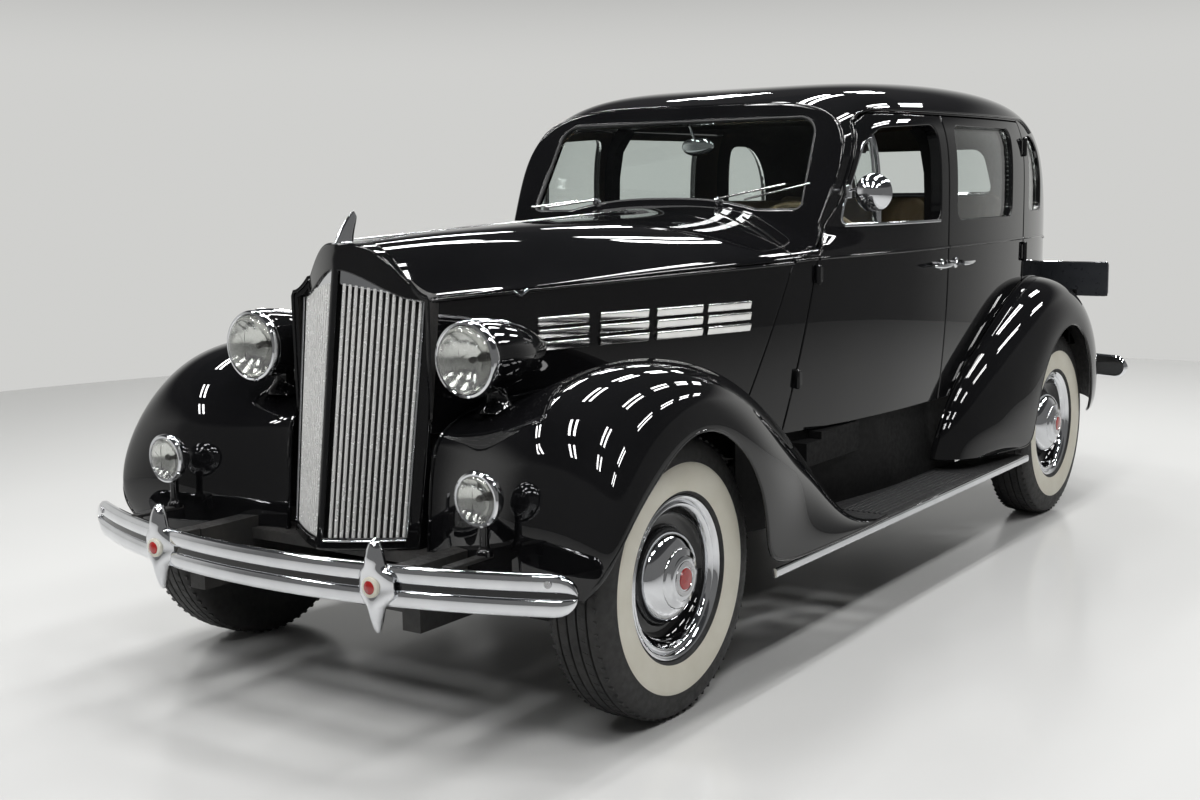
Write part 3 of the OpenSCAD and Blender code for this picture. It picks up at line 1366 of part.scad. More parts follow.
// Cabin fittings
seat_half_w = 575;
front_seat_d = 1590;
front_seat_len = 480;
cushion_z = 690;
cushion_t = 140;
back_t = 120;
back_h = 560;
seat_lean = 12;
base_in = 40;
module bench(d, len, z, foot_z, half) {
  translate([px(d + len), -half, z]) cube([len, half * 2, cushion_t]);
  translate([px(d + len) - back_t * 0.2, -half, z]) rotate([0, -seat_lean, 0]) translate([-back_t * 0.1, 0, 0])
    cube([back_t, half * 2, back_h]);
  translate([px(d + len - base_in), -half + base_in, foot_z])
    cube([len - base_in * 2, half * 2 - base_in * 2, z - foot_z + base_in]);
}
module front_seat() {
  color("tan") bench(front_seat_d, front_seat_len, cushion_z, floor_z + floor_t + seat_gap, seat_half_w);
}
rear_seat_d = 2500;
rear_seat_len = 430;
rear_cushion_z = 690;
module rear_seat() {
  color("tan") bench(rear_seat_d, rear_seat_len, rear_cushion_z, deck_z + floor_t + seat_gap,
    house_y - base_in);
}
dash_d = 1235;
dash_len = 90;
dash_low_z = 1000;
dash_top_z = 1235;
dash_half_w = 560;
col_r = 22;
col_low = [1160, 360, 700];
wheel_c = [1665, 360, 1140];
col_lean = atan2(wheel_c[0] - col_low[0], wheel_c[2] - col_low[2]);
col_len = norm(wheel_c - col_low);
dash_leg = 30;
module along_column() {
  translate([px(col_low[0]), col_low[1], col_low[2]]) rotate([0, -col_lean, 0]) children();
}
module dashboard() {
  color("dimgray") difference() {
    union() {
      translate([px(dash_d + dash_len), -dash_half_w, dash_low_z])
        cube([dash_len, dash_half_w * 2, dash_top_z - dash_low_z]);
      both_sides() translate([px(dash_d + dash_len * 0.5), dash_half_w - dash_leg, dash_low_z])
        cube([dash_d + dash_len * 0.5 - firewall_d - floor_t - seat_gap, dash_leg, dash_leg]);
      translate([px(dash_d + dash_len), wheel_c[1] - col_r * 2, dash_low_z - col_r * 11])
        cube([dash_len * 0.6, col_r * 4, col_r * 12]);
    }
    along_column() cylinder(h = col_len, r = col_r + fit);
  }
}
module steering_column() {
  color("black") along_column() {
    cylinder(h = col_len - rim_drop, r = col_r);
    cylinder(h = col_len + rim_drop * 0.4, r = col_r * 0.6);
  }
}
rim_drop = 60;
hand_r = 215;
hand_t = 14;
spoke_r = 9;
module steering_wheel() {
  color("tan") along_column() translate([0, 0, col_len]) {
    rotate_extrude($fa = 6) translate([hand_r - hand_t, 0]) circle(r = hand_t);
    for (a = [90, 210, 330]) rotate([0, 0, a]) rotate([0, 90, 0])
      translate([0, 0, col_r]) cylinder(h = hand_r - col_r - hand_t, r = spoke_r);
    difference() {
      translate([0, 0, -rim_drop * 0.5]) cylinder(h = rim_drop * 0.9, r = col_r * 1.5);
      translate([0, 0, -rim_drop]) cylinder(h = rim_drop * 1.4 + fit, r = col_r * 0.6 + fit);
    }
  }
}

chassis_frame();
engine_block();
prop_shaft();
rear_axle();
leaf_springs();
exhaust();
fuel_tank();
front_suspension();
knuckle_left();
knuckle_right();
tyre_front_left();
tyre_front_right();
tyre_rear_left();
tyre_rear_right();
wheel_front_left();
wheel_front_right();
wheel_rear_left();
wheel_rear_right();
front_fenders();
rear_fenders();
running_boards();
floor_pan();
cowl();
windshield_frame();
roof();
side_frames();
quarter_panels();
back_panel();
trunk_lid();
door_front_left();
door_front_right();
door_rear_left();
door_rear_right();
glass_front_left();
glass_front_right();
glass_rear_left();
glass_rear_right();
fixed_glass();
hood_left();
hood_right();
hood_hinge();
hood_sides();
grille_shell();
grille_bars();
headlamps();
fog_lamps();
lamp_lenses();
tail_lamps();
front_bumper();
rear_bumper();
front_seat();
rear_seat();
dashboard();
steering_column();
steering_wheel();
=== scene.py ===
import math
import bpy
import bmesh
import numpy as np
from mathutils import Matrix, Vector
from mathutils.geometry import delaunay_2d_cdt


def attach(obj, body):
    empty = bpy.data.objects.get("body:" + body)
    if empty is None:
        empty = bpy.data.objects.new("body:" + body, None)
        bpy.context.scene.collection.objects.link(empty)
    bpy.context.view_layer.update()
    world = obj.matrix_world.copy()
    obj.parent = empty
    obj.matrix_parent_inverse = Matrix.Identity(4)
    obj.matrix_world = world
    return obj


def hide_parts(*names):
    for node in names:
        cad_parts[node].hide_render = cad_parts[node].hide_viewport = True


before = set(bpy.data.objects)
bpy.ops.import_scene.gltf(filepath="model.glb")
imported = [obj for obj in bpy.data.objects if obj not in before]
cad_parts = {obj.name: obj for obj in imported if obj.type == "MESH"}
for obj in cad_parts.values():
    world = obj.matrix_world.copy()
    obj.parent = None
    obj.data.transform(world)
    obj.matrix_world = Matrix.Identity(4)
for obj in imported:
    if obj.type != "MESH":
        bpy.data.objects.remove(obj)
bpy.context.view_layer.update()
print("frame loaded:", len(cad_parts), "nodes")

# camera at the photograph's place
cameraSet = {"place": (4.9065, 2.824, 1.372), "yaw": 214.835, "pitch": -8.034, "roll": -0.955, "lens": 45.387}


def setCamera():
    yaw, pitch, roll = (math.radians(cameraSet[k]) for k in ("yaw", "pitch", "roll"))
    ahead = Vector((math.cos(yaw) * math.cos(pitch), math.sin(yaw) * math.cos(pitch), math.sin(pitch)))
    right = Vector((math.sin(yaw), -math.cos(yaw), 0))
    up = right.cross(ahead)
    r2 = right * math.cos(roll) + up * math.sin(roll)
    u2 = up * math.cos(roll) - right * math.sin(roll)
    data = bpy.data.cameras.new("photoCamera")
    data.lens = cameraSet["lens"]
    data.sensor_width = 36
    data.sensor_fit = "HORIZONTAL"
    data.clip_end = 200
    cam = bpy.data.objects.new("photoCamera", data)
    m = Matrix((r2, u2, -ahead)).transposed().to_4x4()
    m.translation = Vector(cameraSet["place"])
    cam.matrix_world = m
    bpy.context.scene.collection.objects.link(cam)
    bpy.context.scene.camera = cam


setCamera()
bpy.context.scene.view_settings.view_transform = "Standard"

# shader groups: values that change over a surface
def shaderGroup(name, ins, outs):
    tree = bpy.data.node_groups.new(name, "ShaderNodeTree")
    for label, kind, value in ins:
        s = tree.interface.new_socket(label, in_out="INPUT", socket_type=kind)
        s.default_value = value
    for label, kind in outs:
        tree.interface.new_socket(label, in_out="OUTPUT", socket_type=kind)
    return tree, tree.nodes.new("NodeGroupInput"), tree.nodes.new("NodeGroupOutput")


def put(tree, kind, links=(), **values):
    n = tree.nodes.new(kind)
    for k, v in values.items():
        setattr(n, k, v)
    for socket, source in links:
        if isinstance(source, bpy.types.NodeSocket):
            tree.links.new(source, n.inputs[socket])
        else:
            n.inputs[socket].default_value = source
    return n


def makeGrain():
    tree, a, b = shaderGroup("surfaceGrain", [("Scale", "NodeSocketFloat", 40.0), ("Low", "NodeSocketFloat", 0.1),
        ("High", "NodeSocketFloat", 0.2), ("Detail", "NodeSocketFloat", 4.0)], [("Value", "NodeSocketFloat")])
    place = put(tree, "ShaderNodeTexCoord")
    noise = put(tree, "ShaderNodeTexNoise", [("Vector", place.outputs["Object"]), ("Scale", a.outputs["Scale"]),
        ("Detail", a.outputs["Detail"])])
    span = put(tree, "ShaderNodeMapRange", [("Value", noise.outputs[0]), ("From Min", 0.3), ("From Max", 0.7),
        ("To Min", a.outputs["Low"]), ("To Max", a.outputs["High"])])
    tree.links.new(span.outputs[0], b.inputs["Value"])
    return tree


def makeWeave():
    tree, a, b = shaderGroup("threadWeave", [("Scale", "NodeSocketFloat", 500.0)],
        [("Mask", "NodeSocketFloat"), ("Height", "NodeSocketFloat")])
    place = put(tree, "ShaderNodeTexCoord")
    rows = []
    for axis in ("X", "Y", "Z"):
        rows.append(put(tree, "ShaderNodeTexWave", [("Vector", place.outputs["Object"]),
            ("Scale", a.outputs["Scale"]), ("Distortion", 1.2), ("Detail", 2.0)], bands_direction=axis))
    top = put(tree, "ShaderNodeMath", [(0, rows[0].outputs[1]), (1, rows[1].outputs[1])], operation="MULTIPLY")
    add = put(tree, "ShaderNodeMath", [(0, top.outputs[0]), (1, rows[2].outputs[1])], operation="ADD")
    half = put(tree, "ShaderNodeMath", [(0, add.outputs[0]), (1, 0.5)], operation="MULTIPLY")
    tree.links.new(half.outputs[0], b.inputs["Mask"])
    tree.links.new(half.outputs[0], b.inputs["Height"])
    return tree


def makeStreak():
    tree, a, b = shaderGroup("fineScratches", [("Scale", "NodeSocketFloat", 20.0), ("Low", "NodeSocketFloat", 0.0),
        ("High", "NodeSocketFloat", 1.0)], [("Value", "NodeSocketFloat")])
    place = put(tree, "ShaderNodeTexCoord")
    stretch = put(tree, "ShaderNodeMapping", [("Vector", place.outputs["Object"]), ("Scale", (1.0, 7.0, 9.0))])
    noise = put(tree, "ShaderNodeTexNoise", [("Vector", stretch.outputs[0]), ("Scale", a.outputs["Scale"]),
        ("Detail", 6.0)])
    span = put(tree, "ShaderNodeMapRange", [("Value", noise.outputs[0]), ("From Min", 0.35), ("From Max", 0.65),
        ("To Min", a.outputs["Low"]), ("To Max", a.outputs["High"])])
    tree.links.new(span.outputs[0], b.inputs["Value"])
    return tree


grainGroup, weaveGroup, streakGroup = makeGrain(), makeWeave(), makeStreak()


# colour, second colour, patch scale, roughness low and high, bump height in mm and its scale
def finish(name, color, second, patch, rough, bump=(0.0, 300.0), grain=60.0, metal=0.0, coat=0.0, weave=0.0,
           streak=False, **direct):
    mat = bpy.data.materials.new(name)
    mat.use_nodes = True
    tree = mat.node_tree
    bsdf = tree.nodes["Principled BSDF"]
    bsdf.inputs["Metallic"].default_value = metal
    if coat:
        bsdf.inputs["Coat Weight"].default_value = coat
        bsdf.inputs["Coat Roughness"].default_value = 0.02
    for k, v in direct.items():
        bsdf.inputs[k].default_value = v
    g = put(tree, "ShaderNodeGroup", [("Scale", patch), ("Low", 0.0), ("High", 1.0)], node_tree=grainGroup)
    mix = put(tree, "ShaderNodeMix", [("Factor", g.outputs[0])], data_type="RGBA")
    mix.inputs[6].default_value, mix.inputs[7].default_value = (*color, 1), (*second, 1)
    shade = mix.outputs[2]
    height = None
    if weave:
        w = put(tree, "ShaderNodeGroup", [("Scale", weave)], node_tree=weaveGroup)
        dark = put(tree, "ShaderNodeMix", [("Factor", w.outputs["Mask"])], data_type="RGBA", blend_type="MULTIPLY")
        tree.links.new(shade, dark.inputs[6])
        dark.inputs[7].default_value = (0.62, 0.60, 0.58, 1)
        shade, height = dark.outputs[2], w.outputs["Height"]
    tree.links.new(shade, bsdf.inputs["Base Color"])
    r = put(tree, "ShaderNodeGroup", [("Scale", grain), ("Low", rough[0]), ("High", rough[1])],
        node_tree=streakGroup if streak else grainGroup)
    tree.links.new(r.outputs[0], bsdf.inputs["Roughness"])
    if bump[0]:
        if height is None:
            h = put(tree, "ShaderNodeGroup", [("Scale", bump[1]), ("Low", 0.0), ("High", 1.0)], node_tree=grainGroup)
            height = h.outputs[0]
        node = put(tree, "ShaderNodeBump", [("Strength", 1.0), ("Distance", bump[0] * 0.001), ("Height", height)])
        tree.links.new(node.outputs[0], bsdf.inputs["Normal"])
    return mat


paint = finish("blackPaint", (0.0035, 0.0035, 0.004), (0.006, 0.006, 0.0065), 3.0, (0.05, 0.1), grain=9.0, coat=1.0,
    **{"Specular IOR Level": 0.0})
paintUnder = finish("underPaint", (0.012, 0.012, 0.012), (0.024, 0.022, 0.02), 14.0, (0.5, 0.75), (0.4, 500))
chrome = finish("brightChrome", (0.74, 0.75, 0.77), (0.66, 0.67, 0.69), 12.0, (0.035, 0.09), grain=30.0, metal=1.0,
    streak=True)
chromeDull = finish("dullPlate", (0.55, 0.55, 0.56), (0.44, 0.44, 0.45), 25.0, (0.16, 0.3), metal=1.0)
rubber = finish("tyreRubber", (0.012, 0.012, 0.0125), (0.022, 0.021, 0.02), 18.0, (0.5, 0.72), (0.15, 900))
whitewall = finish("whiteWall", (0.74, 0.715, 0.62), (0.66, 0.63, 0.53), 9.0, (0.4, 0.55), (0.08, 700))
matRubber = finish("boardRubber", (0.01, 0.01, 0.011), (0.02, 0.02, 0.02), 20.0, (0.35, 0.55), (0.1, 900))
doorCard = finish("cardCloth", (0.115, 0.09, 0.06), (0.085, 0.066, 0.043), 8.0, (0.8, 0.95), (0.25, 0), weave=420.0)
headliner = finish("roofLining", (0.05, 0.043, 0.034), (0.035, 0.03, 0.024), 6.0, (0.85, 0.98), (0.2, 0), weave=520.0)
seatCloth = finish("seatCloth", (0.2, 0.15, 0.085), (0.155, 0.115, 0.062), 7.0, (0.75, 0.92), (0.35, 0), weave=360.0)
pane = finish("windowGlass", (0.86, 0.9, 0.88), (0.84, 0.885, 0.87), 2.0, (0.0, 0.02), grain=5.0)
sillCoat = finish("sillPaint", (0.004, 0.004, 0.0042), (0.007, 0.007, 0.007), 9.0, (0.45, 0.6), (0.08, 500),
    **{"Specular IOR Level": 0.12})
# painted reflection: near white and only half metal, so the grille bars show bright, like chrome reflecting a pale
# room, under any light
barPaintedSheen = finish("barPaintedSheen", (0.94, 0.94, 0.92), (0.87, 0.87, 0.86), 30.0, (0.2, 0.3), metal=0.45)
chassisCoat = finish("chassisPaint", (0.014, 0.014, 0.014), (0.03, 0.028, 0.026), 9.0, (0.4, 0.65), (0.3, 350))
castSteel = finish("castSteel", (0.16, 0.155, 0.15), (0.1, 0.095, 0.09), 16.0, (0.35, 0.6), (0.4, 260), metal=0.8)
dashPaint = finish("dashPaint", (0.03, 0.022, 0.016), (0.045, 0.033, 0.024), 12.0, (0.2, 0.32), coat=0.4)
ivory = finish("wheelPlastic", (0.42, 0.33, 0.2), (0.35, 0.27, 0.15), 14.0, (0.25, 0.36), (0.05, 400))
carpet = finish("floorCarpet", (0.035, 0.03, 0.026), (0.02, 0.018, 0.016), 40.0, (0.85, 1.0), (1.2, 700))
redGlass = finish("redLens", (0.42, 0.012, 0.01), (0.3, 0.006, 0.006), 30.0, (0.08, 0.16), coat=0.6)
lampSilver = finish("lampSilver", (0.86, 0.86, 0.84), (0.78, 0.78, 0.77), 22.0, (0.1, 0.2), metal=1.0)
lensClear = finish("lensGlass", (0.93, 0.94, 0.92), (0.9, 0.91, 0.9), 18.0, (0.02, 0.06), grain=40.0)
plateBlank = finish("blankPlate", (0.02, 0.022, 0.026), (0.03, 0.032, 0.036), 16.0, (0.25, 0.4), (0.1, 300))
for glassy in (pane, lensClear):
    sockets = glassy.node_tree.nodes["Principled BSDF"].inputs
    sockets["Transmission Weight"].default_value, sockets["IOR"].default_value = 1.0, 1.45
print("finishes made")

# numbers of the body, in millimetres, d counted back from the front axle
bodySet = {"axle": 1685.5, "length": 3900.0, "halfWidth": 755.0, "beltZ": 1140.0, "sillZ": 585.0, "roofZ": 1742.0,
    "crestH": 150.0, "tuck": 0.045, "flareH": 110.0, "wall": 40.0, "gap": 2.5}
planRows = [[-0.12, 0.312], [-0.074, 0.318], [0, 0.421], [0.077, 0.546], [0.154, 0.678], [0.218, 0.784],
    [0.256, 0.837], [0.285, 0.872], [0.333, 0.921], [0.41, 0.974], [0.505, 1], [0.615, 1], [0.718, 0.966],
    [0.795, 0.908], [0.859, 0.83], [0.91, 0.735], [0.949, 0.62], [0.974, 0.49], [0.991, 0.32], [1, 0.06]]
beltRows = [[-0.12, -0.085], [-0.074, -0.082], [0, -0.067], [0.128, -0.036], [0.256, -0.009], [0.31, 0], [0.82, 0],
    [0.859, -0.03], [0.892, -0.11], [0.913, -0.19], [0.936, -0.27], [0.962, -0.36], [0.982, -0.47], [0.994, -0.58],
    [1, -0.68]]
roofRows = [[0.2, 0.6], [0.31, 0.73], [0.359, 0.832], [0.385, 0.895], [0.423, 0.946], [0.487, 0.983], [0.59, 1],
    [0.692, 0.988], [0.769, 0.95], [0.82, 0.885], [0.855, 0.77], [0.882, 0.61], [0.905, 0.4], [0.925, 0.19],
    [0.942, 0.055], [0.962, -0.04], [0.982, -0.17], [0.994, -0.33], [1, -0.46]]
squareRows = [[0.2, 5.5], [0.31, 5.4], [0.359, 5.2], [0.41, 5.2], [0.505, 5.2], [0.72, 5.4], [0.82, 5.2], [0.88, 4],
    [0.94, 2.4], [1, 2.2]]
flareRows = [[0.2, 0.075], [0.285, 0.075], [0.32, 0.065], [0.359, 0.032], [0.41, 0.005], [0.46, 0], [1, 0]]
crestRows = [[-0.12, 0.62], [-0.074, 0.65], [0, 0.765], [0.128, 0.885], [0.256, 0.965], [0.315, 1.14], [0.34, 1.3]]
yokeRows = [[-0.12, 1], [-0.074, 1], [0.02, 0.75], [0.13, 0.45], [0.256, 0.25], [0.34, 0.2]]


def cols(*rows):
    return np.stack(np.broadcast_arrays(*rows), -1)


def around(n):
    return np.linspace(0, 2 * np.pi, n, endpoint=False)


def smooth(t):
    t = np.clip(t, 0, 1)
    return t * t * (3 - 2 * t)


def readAt(t, table, k=1):
    rows = np.array([[r[0], r[k]] for r in table], float)
    x, y, n = rows[:, 0], rows[:, 1], len(rows)
    a, b = np.maximum(np.arange(n) - 1, 0), np.minimum(np.arange(n) + 1, n - 1)
    m = (y[b] - y[a]) / (x[b] - x[a])
    t = np.asarray(t, float)
    i = np.clip(np.searchsorted(x, t, side="right") - 1, 0, n - 2)
    h = x[i + 1] - x[i]
    u = np.clip((t - x[i]) / h, 0, 1)
    v = 1 - u
    return v * v * (1 + 2 * u) * y[i] + u * u * (3 - 2 * u) * y[i + 1] + h * u * v * (v * m[i] - u * m[i + 1])


# a line of the body with its small kinks eased out, raw again at the tail
def lineOf(table, base, scale, ease=48.0, closed=False):
    ds = np.arange(-560.0, 3902.0, 1.0)
    t = ds / bodySet["length"]
    raw = readAt(t, table)
    if closed:
        x = np.clip(1.0003 - t, 0, 1)
        raw = np.where(t > 0.991, np.sqrt(np.maximum(11.46 * x - 48.4 * x * x, 0)), raw)
    reach = np.arange(-160, 161)
    weight = np.exp(-0.5 * (reach / ease) ** 2)
    soft = np.convolve(np.pad(raw, 160, mode="reflect", reflect_type="odd"), weight / weight.sum(), "valid")
    tail = smooth((ds - 3500) / 200)
    out = base + scale * (soft * (1 - tail) + raw * tail)
    return lambda d: np.interp(d, ds, out)


plan = lineOf(planRows, 0, bodySet["halfWidth"], closed=True)
belt = lineOf(beltRows, bodySet["beltZ"], bodySet["beltZ"] - bodySet["sillZ"])
roof = lineOf(roofRows, bodySet["beltZ"], bodySet["roofZ"] - bodySet["beltZ"], 60)
square = lineOf(squareRows, 0, 1)
flare = lineOf(flareRows, 0, bodySet["halfWidth"])
crest = lineOf(crestRows, bodySet["beltZ"], bodySet["crestH"])
yoke = lineOf(yokeRows, 0, 1)


def px(d):
    return bodySet["axle"] - d


def sideY(d, z):
    k = (belt(d) - z) / (bodySet["beltZ"] - bodySet["sillZ"])
    return plan(d) * (1 - bodySet["tuck"] * k * np.abs(k))


def cabinY(d, z):
    low, q = belt(d), square(d)
    rise = roof(d) - low
    h = np.clip((z - low) / rise, 0, 1)
    up = (plan(d) - flare(d) * smooth((z - low) / bodySet["flareH"])) * (1 - h ** q) ** (1 / q)
    return np.where(z > low, up, sideY(d, z))


# where the cabin's back stands over a point of the end view
def backAt(y, z):
    y, z = np.broadcast_arrays(np.abs(np.asarray(y, float)), np.asarray(z, float))
    low, high = np.full(y.shape, 2900.0), np.full(y.shape, 3901.1)
    for _ in range(44):
        mid = (low + high) / 2
        inside = cabinY(mid, z) > y
        low, high = np.where(inside, mid, low), np.where(inside, high, mid)
    return (low + high) / 2


def hoodZ(d, s):
    s = np.clip(np.abs(s), 0, 1)
    y = yoke(d)
    return belt(d) + (crest(d) - belt(d)) * (y * (1 + np.cos(np.pi * s ** 1.5)) / 2
        + (1 - y) * np.maximum(1 - s ** 2.4, 0) ** 0.62)


# sheet metal: a trimmed piece of a curved surface, with rounded edges, a wall and an inner side
def unitRows(a):
    return a / np.maximum(np.linalg.norm(a, axis=-1, keepdims=True), 1e-9)


def loopFrom(parts, step):
    points, rolls = [], []
    for p, roll in parts:
        p = np.asarray(p, float)
        t = np.r_[0, np.cumsum(np.linalg.norm(np.diff(p, axis=0), axis=1))]
        n = max(2, int(round(t[-1] / step)) + 1)
        s = np.linspace(0, t[-1], n)
        points.append(cols(np.interp(s, t, p[:, 0]), np.interp(s, t, p[:, 1]))[:-1])
        rolls.append(np.full(n - 1, float(roll)))
    return np.concatenate(points), np.concatenate(rolls)


def turnedWay(p):
    q = np.roll(p, -1, 0)
    return np.sum(p[:, 0] * q[:, 1] - q[:, 0] * p[:, 1]) > 0


def insetLoop(p, dist):
    a, b = unitRows(p - np.roll(p, 1, 0)), unitRows(np.roll(p, -1, 0) - p)
    na, nb = cols(-a[:, 1], a[:, 0]), cols(-b[:, 1], b[:, 0])
    n = unitRows(na + nb)
    c = np.clip(np.sum(n * na, 1), 0.5, 1)
    return p + n * (dist / c)[:, None], -n


def insideOf(points, loop):
    hit = np.zeros(len(points), bool)
    x, y = points[:, 0], points[:, 1]
    for (x0, y0), (x1, y1) in zip(loop, np.roll(loop, -1, 0)):
        if y0 != y1:
            hit ^= ((y0 > y) != (y1 > y)) & (x < (x1 - x0) * (y - y0) / (y1 - y0) + x0)
    return hit


def triangles(loops, grid):
    points = np.concatenate(loops + [grid])
    edges, start = [], 0
    for loop in loops:
        n = len(loop)
        edges += [(start + i, start + (i + 1) % n) for i in range(n)]
        start += n
    out = delaunay_2d_cdt([Vector(p) for p in points.tolist()], edges, [], 0, 1e-4)
    back = [o[0] if o else -1 for o in out[3]]
    tri = np.array([[back[i] for i in f] for f in out[2]])
    tri = tri[(tri >= 0).all(1)]
    mid = points[tri].mean(1)
    keep = insideOf(mid, loops[0])
    for hole in loops[1:]:
        keep &= ~insideOf(mid, hole)
    tri = tri[keep]
    a, b, c = points[tri[:, 0]], points[tri[:, 1]], points[tri[:, 2]]
    area = (b[:, 0] - a[:, 0]) * (c[:, 1] - a[:, 1]) - (b[:, 1] - a[:, 1]) * (c[:, 0] - a[:, 0])
    tri[area < 0] = tri[area < 0][:, ::-1]
    return tri


ringAngles = np.radians([90, 58, 28, 0])


def panel(outer, place, holes=(), step=24.0, edge=9.0, wall=20.0, out=(0, 0, 0), inMat=1, lift=0.0):
    loops = []
    for i, parts in enumerate([outer] + list(holes)):
        p, roll = loopFrom(parts, edge)
        if turnedWay(p) != (i == 0):
            p, roll = p[::-1], roll[::-1]
        loops.append((p, roll))
    rings = []
    for p, roll in loops:
        rows = [insetLoop(p, np.maximum(roll, 0.6) * (1 - math.sin(a)))[0] for a in ringAngles]
        rings.append((rows, insetLoop(p, roll)[1], roll))
    inner = [r[0][-1] for r in rings]
    low, high = inner[0].min(0), inner[0].max(0)
    gx, gy = np.meshgrid(np.arange(low[0] + step / 2, high[0], step), np.arange(low[1] + step / 2, high[1], step))
    gx[1::2] += step / 2
    grid = cols(gx.ravel(), gy.ravel())
    keep = insideOf(grid, inner[0])
    for hole in inner[1:]:
        keep &= ~insideOf(grid, hole)
    grid = grid[keep]
    for loop in inner:
        near = np.full(len(grid), 1e9)
        for k in range(0, len(loop), 200):
            near = np.minimum(near, np.linalg.norm(grid[:, None] - loop[None, k:k + 200], axis=2).min(1))
        grid = grid[near > min(step, 2 * edge) * 0.55]
    tri = triangles(inner, grid)
    # all points of the flat pattern: the inner loops and the grid first, then the outer rings
    flat, drops, tilts, outs, first = [*inner, grid], [], [], [], []
    count = 0
    for (rows, outward, roll) in rings:
        first.append(count)
        count += len(roll)
        drops.append(np.zeros(len(roll)))
        tilts.append(np.zeros(len(roll)))
        outs.append(outward)
    drops.append(np.zeros(len(grid)))
    tilts.append(np.zeros(len(grid)))
    outs.append(np.tile([1.0, 0.0], (len(grid), 1)))
    count += len(grid)
    ringStart = []
    for (rows, outward, roll) in rings:
        starts = []
        for a, row in zip(ringAngles[:-1], rows[:-1]):
            starts.append(count)
            count += len(roll)
            flat.append(row)
            drops.append(roll * (1 - math.cos(a)))
            tilts.append(np.where(roll > 0, a, 0.0))
            outs.append(outward)
        ringStart.append(starts)
    flat, drops, tilts, outs = (np.concatenate(v) for v in (flat, drops, tilts, outs))
    h = 2.5
    P = place(flat[:, 0], flat[:, 1])
    du = place(flat[:, 0] + h, flat[:, 1]) - place(flat[:, 0] - h, flat[:, 1])
    dv = place(flat[:, 0], flat[:, 1] + h) - place(flat[:, 0], flat[:, 1] - h)
    N = unitRows(np.cross(du, dv))
    middle = cols(P[:, 0], np.zeros(len(P)), 750.0)
    guide = np.asarray(out, float) if np.any(out) else P - middle
    sign = 1.0 if np.sum(N * guide) > 0 else -1.0
    N = N * sign
    T = du * outs[:, :1] + dv * outs[:, 1:]
    T = unitRows(T - N * np.sum(T * N, 1, keepdims=True))
    top = P + N * (lift - drops)[:, None]
    under = P + N * (lift - wall)
    topN = unitRows(N * np.cos(tilts)[:, None] + T * np.sin(tilts)[:, None])
    n = len(P)
    faces, corners, mats = [], [], []

    def add(f, c, m):
        if sign < 0:
            f, c = f[::-1], c[::-1]
        faces.append(f)
        corners.append(c)
        mats.append(m)

    quads = []
    bands = []
    for k, starts in enumerate(ringStart):
        rows = starts + [first[k]]
        m = len(rings[k][2])
        for a, b in zip(rows[:-1], rows[1:]):
            quads += [(a + i, a + (i + 1) % m, b + (i + 1) % m, b + i) for i in range(m)]
        bands += [(starts[0] + i, starts[0] + (i + 1) % m) for i in range(m)]
    tops = [tuple(t) for t in tri.tolist()] + quads
    for f in tops:
        add(f, f, 0)
    for f in tops:
        add(tuple(n + i for i in f[::-1]), tuple(n + i for i in f[::-1]), inMat)
    for i, j in bands:
        add((n + i, n + j, j, i), (2 * n + i, 2 * n + j, 2 * n + j, 2 * n + i), 0)
    return {"verts": np.concatenate([top, under]), "norms": np.concatenate([topN, -N, T]), "faces": faces,
        "corners": corners, "mats": mats}


def allIn(geo, mat):
    geo["mats"] = [mat] * len(geo["mats"])
    return geo


def flipY(geo):
    s = np.array([1.0, -1.0, 1.0])
    return {"verts": geo["verts"] * s, "norms": None if geo["norms"] is None else geo["norms"] * s,
        "faces": [f[::-1] for f in geo["faces"]],
        "corners": None if geo["corners"] is None else [c[::-1] for c in geo["corners"]], "mats": list(geo["mats"])}


def bothSides(geos):
    return list(geos) + [flipY(g) for g in geos]


def joined(geos):
    verts, norms, faces, corners, mats = [], [], [], [], []
    v = c = 0
    for g in geos:
        verts.append(g["verts"])
        norms.append(g["norms"])
        faces += [tuple(i + v for i in f) for f in g["faces"]]
        corners += [tuple(i + c for i in f) for f in g["corners"]]
        mats += g["mats"]
        v += len(g["verts"])
        c += len(g["norms"])
    return {"verts": np.concatenate(verts), "norms": np.concatenate(norms), "faces": faces, "corners": corners,
        "mats": mats}


# millimetres to a finished piece that rides on a body
def makePiece(name, geos, mats, body, stands=(), sharp=36.0):
    geos = geos if isinstance(geos, list) else [geos]
    geo = joined([withNormals(g, sharp) if g["norms"] is None else g for g in geos])
    mesh = bpy.data.meshes.new(name)
    mesh.from_pydata((geo["verts"] * 0.001).tolist(), [], geo["faces"])
    for m in mats:
        mesh.materials.append(m)
    mesh.polygons.foreach_set("use_smooth", [True] * len(mesh.polygons))
    mesh.polygons.foreach_set("material_index", np.minimum(geo["mats"], len(mats) - 1).astype(np.int32))
    norms = geo["norms"][np.concatenate([np.asarray(c) for c in geo["corners"]])]
    mesh.normals_split_custom_set(norms.tolist())
    mesh.update()
    obj = bpy.data.objects.new(name, mesh)
    bpy.context.scene.collection.objects.link(obj)
    return settle(obj, body, stands)


def settle(obj, body, stands=()):
    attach(obj, body)
    if stands:
        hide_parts(*stands)
    return obj


